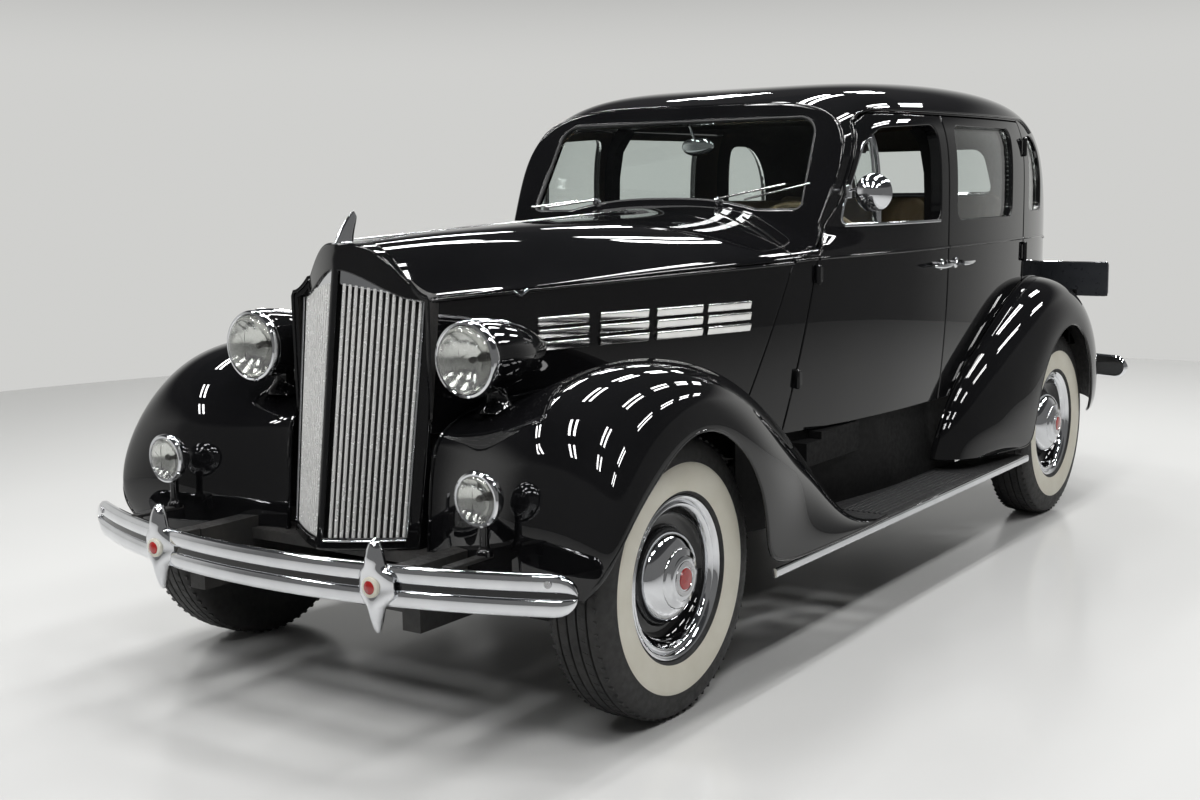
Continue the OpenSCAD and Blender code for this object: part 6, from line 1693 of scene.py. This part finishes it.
def windowTrim():
    for hand, side in (("left", 1), ("right", -1)):
        lines = []
        z = np.linspace(1236, 1530, 14)
        p, n = onSide(ventLine + 9, z, -14)
        lines.append((p, n))
        vent = cutAt(frontWindow(), ventLine - 3, -1)
        vent = closeLoop(insetLoop(vent if turnedWay(vent) else vent[::-1], 4.0)[0])
        p, n = onSide(vent[:, 0], vent[:, 1], -9)
        lines.append((p, n))
        d = np.linspace(1300, 1876, 30)
        p, n = onSide(d, doorSet["winLow"] + 1.5, -5)
        lines.append((p, n))
        if side < 0:
            lines = mirrored(lines)[3:]
        treePiece(f"front_{hand}_window_trim", flatSlats, lines, chrome, f"front_{hand}_door", "bright_chrome", Depth=0.016,
            Width=0.011, Round=0.003)


windowTrim()


def handleGeo(d, way):
    z = trim["handleZ"]
    base, out = onSide(d, z)
    geos = [turned([(0, -2), (19, -2), (19, 3), (16, 6), (10, 8), (8, 14), (8, 40), (0, 42)], tuple(base), tuple(out), 36)]
    t = np.linspace(0, 1, 16)
    path = cols(base[0] + out[0] * 36 - way * (-14 + 138 * t), base[1] + out[1] * (36 - 9 * t ** 2),
        z - 3 * np.sin(np.pi * t))
    rows = [ringProfile(9.5 * (1 - 0.5 * abs(2 * x - 0.7) ** 2.0 * 0.6) if x < 0.98 else 4.0, 14, 0.75) for x in t]
    geos.append(swept(path, out, rows))
    return geos


def hingeGeo(d, z, tall=60.0):
    base, n = onSide(d, z)
    h = tall / 2
    barrel = [(0, -h - 3), (6, -h - 3), (10, -h), (10, h), (6, h + 3), (0, h + 3)]
    geos = [turned(barrel, tuple(base + n * 7), (0, 0, 1), 24)]
    geos.append(block((base[0] - 2, base[1] - 6, z - tall * 0.42), (base[0] + 34, base[1] + 8, z + tall * 0.42), 3))
    return geos


def doorHardware():
    for hand, flip in (("left", False), ("right", True)):
        for end, way in (("front", -1.0), ("rear", 1.0)):
            geos = handleGeo(trim["handleD"][end], way)
            geos = [flipY(g) for g in geos] if flip else geos
            makePiece(f"{end}_{hand}_handle", geos, [chrome], f"{end}_{hand}_door")
        rear = [g for z in trim["rearHingeZ"] for g in hingeGeo(doorSet["rearD"], z, 70)]
        fronts = []
        for z in trim["frontHingeZ"]:
            fronts += hingeGeo(float(doorFrontAt(z)) + 5, z, 56)
            fronts[-1]["verts"][:, 0] -= 32    # the leaf lies on the cowl's side of the barrel
        for end, geos in (("rear", rear), ("front", fronts)):
            geos = [flipY(g) for g in geos] if flip else geos
            makePiece(f"{end}_{hand}_hinges", geos, [paint], f"{end}_{hand}_door")
        # inner handle and winder
        for end, at, knob in (("front", 1560.0, 1780.0), ("rear", 2420.0, 2160.0)):
            geos = []
            for d, z, reach in ((at, 985.0, 78.0), (knob, 1010.0, 92.0)):
                p, n = onSide(d, z, -bodySet["wall"])
                inn = -n
                geos.append(turned([(0, -2), (20, -2), (20, 4), (12, 9), (9, 20), (0, 22)], tuple(p), tuple(inn), 28))
                k = np.linspace(0, 1, 8)
                arm = p + inn * 18 + cols(-reach * k, 0 * k, -0.25 * reach * k)
                geos.append(swept(arm, inn, [ringProfile(7 - 2.5 * x, 10, 0.7) for x in k]))
                if z < 1000:
                    ball = [(0, -2), (8, -1), (11, 8), (12, 16), (8, 23), (0, 25)]
                    geos.append(turned(ball, tuple(arm[-1]), tuple(inn), 20, 1))
            geos = [flipY(g) for g in geos] if flip else geos
            makePiece(f"{end}_{hand}_winders", geos, [chrome, ivory], f"{end}_{hand}_door")


doorHardware()


mirrorSet = {"foot": (1316.0, 1343.0), "headD": 1278.0, "headY": 768.0, "headZ": 1338.0, "arm": 5.2}


def sideMirror():
    m = mirrorSet
    root, n = onSide(*m["foot"])
    head = np.array([px(m["headD"]), m["headY"], m["headZ"]])
    k = np.linspace(0, 1, 14)[:, None]
    arm = root * (1 - k) + head * k + np.array([0, 0, 1.0]) * 10 * np.sin(np.pi * k)
    geos = [swept(arm, (1.0, 0, 0), ringProfile(m["arm"], 12)),
        block(root - np.array([16, 10, 24]), root + np.array([14, 12, 22]), 5)]
    dome = [(0, 34), (16, 33), (32, 28.5), (46, 20), (56, 9), (60, 0), (61.5, -4), (60, -8), (57, -9), (55.5, -6.5, 1),
        (0, -6.5, 1)]
    geos.append(turned(dome, tuple(head), (0.985, 0.17, 0), 64))
    makePiece("side_mirror", geos, [chrome, lampSilver], "front_left_door")


sideMirror()


# wipers: place across, reach, height of the post and of the arm's tip
wiperRows = ((226.0, 240.0, 20.0, 76.0), (-276.0, -210.0, 20.0, -4.0))


def shieldTrim():
    lean = math.radians(shield["rake"])
    normal = np.array([math.cos(lean), 0, math.sin(lean)])
    lines = []
    for a, reach, low, high in wiperRows:
        foot = shieldPlace(np.array([a]), np.array([low]))[0]
        tip = shieldPlace(np.array([a + reach]), np.array([high]))[0]
        t = np.linspace(0, 1, 10)[:, None]
        lines.append((foot * (1 - t) + tip * t + normal * (14 - 8 * t), normal))
        blade = shieldPlace(np.array([a + reach * 0.4, a + reach * 1.35]), np.array([low + 6, high + 6]))
        lines.append((blade[0] * (1 - t) + blade[1] * t + normal * -3, normal))
    treePiece("wiper_arms", roundBars, lines, lampSilver, "car_body", "bright_chrome", Depth=0.008, Width=0.0075, Sides=10)
    geos = []
    for a, _, low, _ in wiperRows:
        foot = shieldPlace(np.array([a]), np.array([low]))[0]
        geos.append(turned([(0, -8), (14, -8), (14, 4), (10, 12), (6, 20), (0, 21)], tuple(foot), tuple(normal), 24))
    # inside mirror on its stalk
    top = shieldPlace(np.array([0.0]), np.array([345.0]))[0] - normal * 34
    head = top + np.array([-22.0, 22.0, -84.0])
    t = np.linspace(0, 1, 6)[:, None]
    geos.append(swept(top * (1 - t) + head * t, (0.0, 1.0, 0), ringProfile(4.5, 10)))
    rings = []
    for k in range(9):
        a = around(36)
        s = math.sin(math.pi * (0.06 + 0.88 * k / 8)) ** 0.5
        rings.append(head + cols(-14 + 20 * k / 8, 66 * s * np.cos(a), 34 * s * np.sin(a)))
    geos.append(lofted(rings))
    makePiece("wiper_posts_and_mirror", geos, [chrome], "car_body", sharp=50)
    rim = closeLoop(shieldHole)
    rim = np.concatenate([np.linspace(rim[i], rim[i + 1], 3)[:-1] for i in range(len(rim) - 1)])
    p = shieldPlace(rim[:, 0], rim[:, 1]) - normal * 8
    makePiece("windshield_seal", swept(p, normal, ringProfile(7, 10), closed=True), [matRubber], "car_body")


shieldTrim()


lidSet = {"hingeD": 3676.0, "hingeY": 170.0, "hingeZ": 1187.0, "handleZ": 770.0, "handleHalf": 62.0}


def lidHardware():
    geos, x, z = [], px(lidSet["hingeD"]), lidSet["hingeZ"]
    for y in (lidSet["hingeY"], -lidSet["hingeY"]):
        geos.append(turned([(0, -34), (6, -34), (10, -30), (10, 30), (6, 34), (0, 34)], (x, y, z), (0, 1, 0), 24))
        geos.append(block((x - 30, y - 22, z - 21), (x + 4, y + 22, z - 1), 5))
    z = lidSet["handleZ"]
    d = float(backAt(0.0, z))
    geos.append(turned([(0, -2), (22, -2), (22, 4), (14, 8), (9, 12), (9, 30), (0, 32)], (px(d), 0, z), (-1, 0, 0), 32, 1))
    t = np.linspace(-1, 1, 15)
    path = cols(px(d) - 30.0 + 8 * t ** 2, lidSet["handleHalf"] * t, z)
    geos.append(swept(path, (-1.0, 0, 0), [ringProfile(9 * (1 - 0.55 * x * x), 14, 0.8) for x in t], mat=1))
    makePiece("luggage_lid_hardware", geos, [paint, chrome], "luggage_lid")


lidHardware()
print("trim made")

# seats: padded by cloth simulation
seatSet = {"front": {"d": (1590.0, 2070.0), "half": 575.0, "z": (690.0, 830.0), "base": 492.6},
    "rear": {"d": (2500.0, 2930.0), "half": 550.0, "z": (690.0, 830.0), "base": 642.6},
    "backThick": 120.0, "backTall": 560.0, "lean": 12.0, "voxel": 0.017, "cap": 0.024, "pleat": 115.0, "shrink": 13.0}


def paddedPiece(name, low, high, pleatAxis, faceAxis, faceSign, turn, stands):
    s = seatSet
    geo = block(np.asarray(low) + s["shrink"], np.asarray(high) - s["shrink"], 34)
    mesh = bpy.data.meshes.new(name)
    mesh.from_pydata((geo["verts"] * 0.001).tolist(), [], geo["faces"])
    obj = bpy.data.objects.new(name, mesh)
    bpy.context.scene.collection.objects.link(obj)
    remesh = obj.modifiers.new("even", "REMESH")
    remesh.mode, remesh.voxel_size = "VOXEL", s["voxel"]
    even = bpy.data.meshes.new_from_object(obj.evaluated_get(bpy.context.evaluated_depsgraph_get()))
    obj.modifiers.clear()
    obj.data = even
    rest = np.zeros(len(even.vertices) * 3)
    even.vertices.foreach_get("co", rest)
    rest = rest.reshape(-1, 3)
    cloth = obj.modifiers.new("swell", "CLOTH")
    cloth.settings.use_pressure = True
    cloth.settings.uniform_pressure_force = 4.0
    cloth.settings.quality = 4
    cloth.settings.effector_weights.gravity = 0.0
    cloth.point_cache.frame_start, cloth.point_cache.frame_end = 1, 20
    scene = bpy.context.scene
    for f in range(1, 21):
        scene.frame_set(f)
    full = bpy.data.meshes.new_from_object(obj.evaluated_get(bpy.context.evaluated_depsgraph_get()))
    moved = np.zeros(len(full.vertices) * 3)
    full.vertices.foreach_get("co", moved)
    step = moved.reshape(-1, 3) - rest
    far = np.linalg.norm(step, axis=1, keepdims=True)
    rest = rest + step * np.minimum(1, s["cap"] / np.maximum(far, 1e-9))
    obj.modifiers.clear()
    scene.frame_set(1)
    even.vertices.foreach_set("co", rest.ravel())
    even.update()
    sub = obj.modifiers.new("smooth", "SUBSURF")
    sub.levels = sub.render_levels = 1
    fine = bpy.data.meshes.new_from_object(obj.evaluated_get(bpy.context.evaluated_depsgraph_get()))
    obj.modifiers.clear()
    obj.data = fine
    co = np.zeros(len(fine.vertices) * 3)
    fine.vertices.foreach_get("co", co)
    co = co.reshape(-1, 3) * 1000
    # sewn channels on the face, then the seat's lean
    near = (co[:, faceAxis] - (low[faceAxis] + high[faceAxis]) / 2) * faceSign
    depth = np.clip(near / (0.5 * (high[faceAxis] - low[faceAxis])), 0, 1) ** 2
    off = (co[:, pleatAxis] + s["pleat"] / 2) % s["pleat"] - s["pleat"] / 2
    co[:, faceAxis] -= faceSign * depth * 8.0 * np.exp(-(off / 8.0) ** 2)
    if turn:
        a, pivot = math.radians(turn[0]), np.array(turn[1])
        rel = co - pivot
        co = pivot + cols(rel[:, 0] * math.cos(a) - rel[:, 2] * math.sin(a), rel[:, 1],
            rel[:, 0] * math.sin(a) + rel[:, 2] * math.cos(a))
    fine.vertices.foreach_set("co", (co * 0.001).ravel())
    fine.materials.clear()
    fine.materials.append(seatCloth)
    fine.polygons.foreach_set("use_smooth", [True] * len(fine.polygons))
    fine.polygons.foreach_set("material_index", [0] * len(fine.polygons))
    fine.update()
    fine.name = name
    settle(obj, "car_body", stands)


def seats():
    s = seatSet
    for row in ("front", "rear"):
        q = s[row]
        (d0, d1), w, (z0, z1) = q["d"], q["half"], q["z"]
        paddedPiece(f"{row}_seat_cushion", (px(d1), -w, z0), (px(d0), w, z1), 1, 2, 1, None, [row + "_seat"])
        foot = (px(d1), 0, z1 - 30)
        paddedPiece(f"{row}_seat_back", (px(d1) - s["backThick"], -w, z1 - 30), (px(d1), w, z1 - 30 + s["backTall"]), 1, 0, 1,
            (s["lean"], foot), ())
        base = [block((px(d1) - 40, -w + 12, q["base"]), (px(d0) - 12, w - 12, z0 + 18), 12)]
        makePiece(f"{row}_seat_base", base, [doorCard], "car_body")


seats()
print("seats made")


# round instruments and a lid line on the dashboard
dashSet = {"d": 1325.0, "dialZ": 1140.0, "dials": ((360.0, 62.0), (205.0, 42.0), (515.0, 42.0)), "knobZ": 1060.0}


def instruments():
    geos = []
    x, z = px(dashSet["d"]), dashSet["dialZ"]
    for y, r in dashSet["dials"]:
        ring = [(0, 1.5, 1), (r - 8, 1.5, 1), (r - 5, 2), (r - 2, 6), (r + 3, 7), (r + 6, 4), (r + 7, -2), (0, -2)]
        geos.append(turned(ring, (x, y, z), (-1, 0, 0), 48))
        needle = cols(x - 3.0, y + np.linspace(0, -r * 0.5, 4), z + np.linspace(0, r * 0.45, 4))
        geos.append(swept(needle, (-1.0, 0, 0), ringProfile(1.6, 6), mat=2))
    for y in (60.0, 0.0, -60.0):
        geos.append(turned([(0, 20), (8, 19), (11, 12), (9, 4), (7, -2), (0, -2)], (x, y, dashSet["knobZ"]), (-1, 0, 0), 24, 2))
    loop = roundedOutline([(-480, 1070), (-180, 1070), (-180, 1195), (-480, 1195)], 18, 6)
    path = cols(x - 1.0, loop[:, 0], loop[:, 1])
    geos.append(swept(path, (-1.0, 0, 0), ringProfile(3, 8), closed=True))
    makePiece("dash_instruments", geos, [chrome, plateBlank, ivory], "car_body")


instruments()
print("cabin made")

# carried-over nodes of the frame get their finishes
nodeFinish = {"chassis_frame": chassisCoat, "engine_block": castSteel, "prop_shaft": castSteel, "rear_axle": castSteel,
    "leaf_springs": chassisCoat, "exhaust": castSteel, "fuel_tank": chassisCoat, "front_suspension": chassisCoat,
    "knuckle_left": castSteel, "knuckle_right": castSteel, "floor_pan": carpet, "side_frames": sillCoat,
    "steering_column": chassisCoat, "hood_hinge": chrome, "dashboard": dashPaint, "steering_wheel": ivory}
for name, mat in nodeFinish.items():
    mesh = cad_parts[name].data
    mesh.materials.clear()
    mesh.materials.append(mat)
print("frame nodes finished")

# stage: pale floor, and a curved backdrop that glows its colour to the camera and in reflections (painted light) with
# painted shade darker upwards and towards the front; tube lights in pairs above
stageSet = {"far": 7.8, "bend": 0.9, "high": 6.5, "pale": (0.63, 0.63, 0.615), "dim": (0.05, 0.05, 0.052),
    "front": (0.574, 0.819, 0.0), "dimFrom": 2.3, "dimTo": 4.7}


def backdropFinish():
    mat = bpy.data.materials.new("glowShadedBackdrop")
    mat.use_nodes = True
    tree = mat.node_tree
    tree.nodes.clear()
    place = put(tree, "ShaderNodeTexCoord")
    parts = put(tree, "ShaderNodeSeparateXYZ", [(0, place.outputs["Object"])])
    # painted shade: the backdrop's colour goes dark upwards and towards the front
    up = put(tree, "ShaderNodeMapRange", [("Value", parts.outputs["Z"]), ("From Min", stageSet["dimFrom"]),
        ("From Max", stageSet["dimTo"])], interpolation_type="SMOOTHSTEP")
    ahead = put(tree, "ShaderNodeVectorMath", [(0, place.outputs["Object"]), (1, stageSet["front"])],
        operation="DOT_PRODUCT")
    near = put(tree, "ShaderNodeMapRange", [("Value", ahead.outputs["Value"]), ("From Min", -3.2), ("From Max", 0.4),
        ("To Max", 0.8)], interpolation_type="SMOOTHSTEP")
    most = put(tree, "ShaderNodeMath", [(0, up.outputs[0]), (1, near.outputs[0])], operation="MAXIMUM")
    tone = put(tree, "ShaderNodeMix", [("Factor", most.outputs[0])], data_type="RGBA")
    tone.inputs[6].default_value, tone.inputs[7].default_value = (*stageSet["pale"], 1), (*stageSet["dim"], 1)
    # painted light: the backdrop glows with this colour to camera, reflection and transmission rays, and is matte to
    # all other light
    glow = put(tree, "ShaderNodeEmission", [("Color", tone.outputs[2]), ("Strength", 1.0)])
    matte = put(tree, "ShaderNodeBsdfDiffuse", [("Color", tone.outputs[2])])
    ray = put(tree, "ShaderNodeLightPath")
    seen = put(tree, "ShaderNodeMath", [(0, ray.outputs["Is Camera Ray"]), (1, ray.outputs["Is Glossy Ray"])],
        operation="ADD")
    seen = put(tree, "ShaderNodeMath", [(0, seen.outputs[0]), (1, ray.outputs["Is Transmission Ray"])],
        operation="ADD", use_clamp=True)
    both = put(tree, "ShaderNodeMixShader", [(0, seen.outputs[0]), (1, matte.outputs[0]), (2, glow.outputs[0])])
    # seen from outside the wall is clear
    side = put(tree, "ShaderNodeNewGeometry")
    clear = put(tree, "ShaderNodeBsdfTransparent")
    wall = put(tree, "ShaderNodeMixShader", [(0, side.outputs["Backfacing"]), (1, both.outputs[0]),
        (2, clear.outputs[0])])
    put(tree, "ShaderNodeOutputMaterial", [("Surface", wall.outputs[0])])
    return mat


def stagePiece():
    floorMat = finish("paleFloor", (0.6, 0.6, 0.59), (0.59, 0.59, 0.581), 0.5, (0.19, 0.2), grain=0.8)
    s = stageSet
    mesh = bpy.data.meshes.new("stage_floor")
    r = s["far"]
    mesh.from_pydata([(-r, -r, 0), (r, -r, 0), (r, r, 0), (-r, r, 0)], [], [(0, 1, 2, 3)])
    mesh.materials.append(floorMat)
    floor = bpy.data.objects.new("stage_floor", mesh)
    ring, bend = 96, s["bend"]
    turns = [math.radians(10 * i) for i in range(10)]
    rows = [(r - bend + bend * math.sin(a), bend * (1 - math.cos(a))) for a in turns]
    rows += [(r, bend + (s["high"] - bend) * i / 4) for i in range(1, 5)]
    verts, faces = [], []
    for rad, z in rows:
        verts += [(rad * math.cos(2 * math.pi * k / ring), rad * math.sin(2 * math.pi * k / ring), z) for k in range(ring)]
    for i in range(len(rows) - 1):
        low, high = i * ring, (i + 1) * ring
        faces += [(high + k, high + (k + 1) % ring, low + (k + 1) % ring, low + k) for k in range(ring)]
    wall = bpy.data.meshes.new("stage_wall")
    wall.from_pydata(verts, [], faces)
    wall.materials.append(backdropFinish())
    wall.polygons.foreach_set("use_smooth", [True] * len(wall.polygons))
    back = bpy.data.objects.new("stage_wall", wall)
    for o in (floor, back):
        bpy.context.scene.collection.objects.link(o)


stagePiece()
lightSet = {"height": 4.2, "rows": (-3.0, -1.0, 1.0, 3.0), "cols": (-4.5, -2.7, -0.9, 0.9, 3.25, 5.0),
    "size": (1.1, 0.12), "apart": 0.28, "power": 17.5, "world": 0.04}


def ceilingLights():
    s = lightSet
    for x in s["cols"]:
        for y in s["rows"]:
            for k in (-0.5, 0.5):
                data = bpy.data.lights.new("ceilingTube", "AREA")
                data.shape = "RECTANGLE"
                data.size, data.size_y = s["size"]
                data.energy = s["power"]
                lamp = bpy.data.objects.new("ceilingTube", data)
                lamp.location = (x, y + k * s["apart"], s["height"])
                bpy.context.scene.collection.objects.link(lamp)
    world = bpy.data.worlds.new("studioWorld")
    bpy.context.scene.world = world
    world.use_nodes = True
    back = world.node_tree.nodes["Background"]
    back.inputs[0].default_value = (0.9, 0.95, 1.0, 1)
    back.inputs[1].default_value = s["world"]


ceilingLights()
print("stage and lights set")
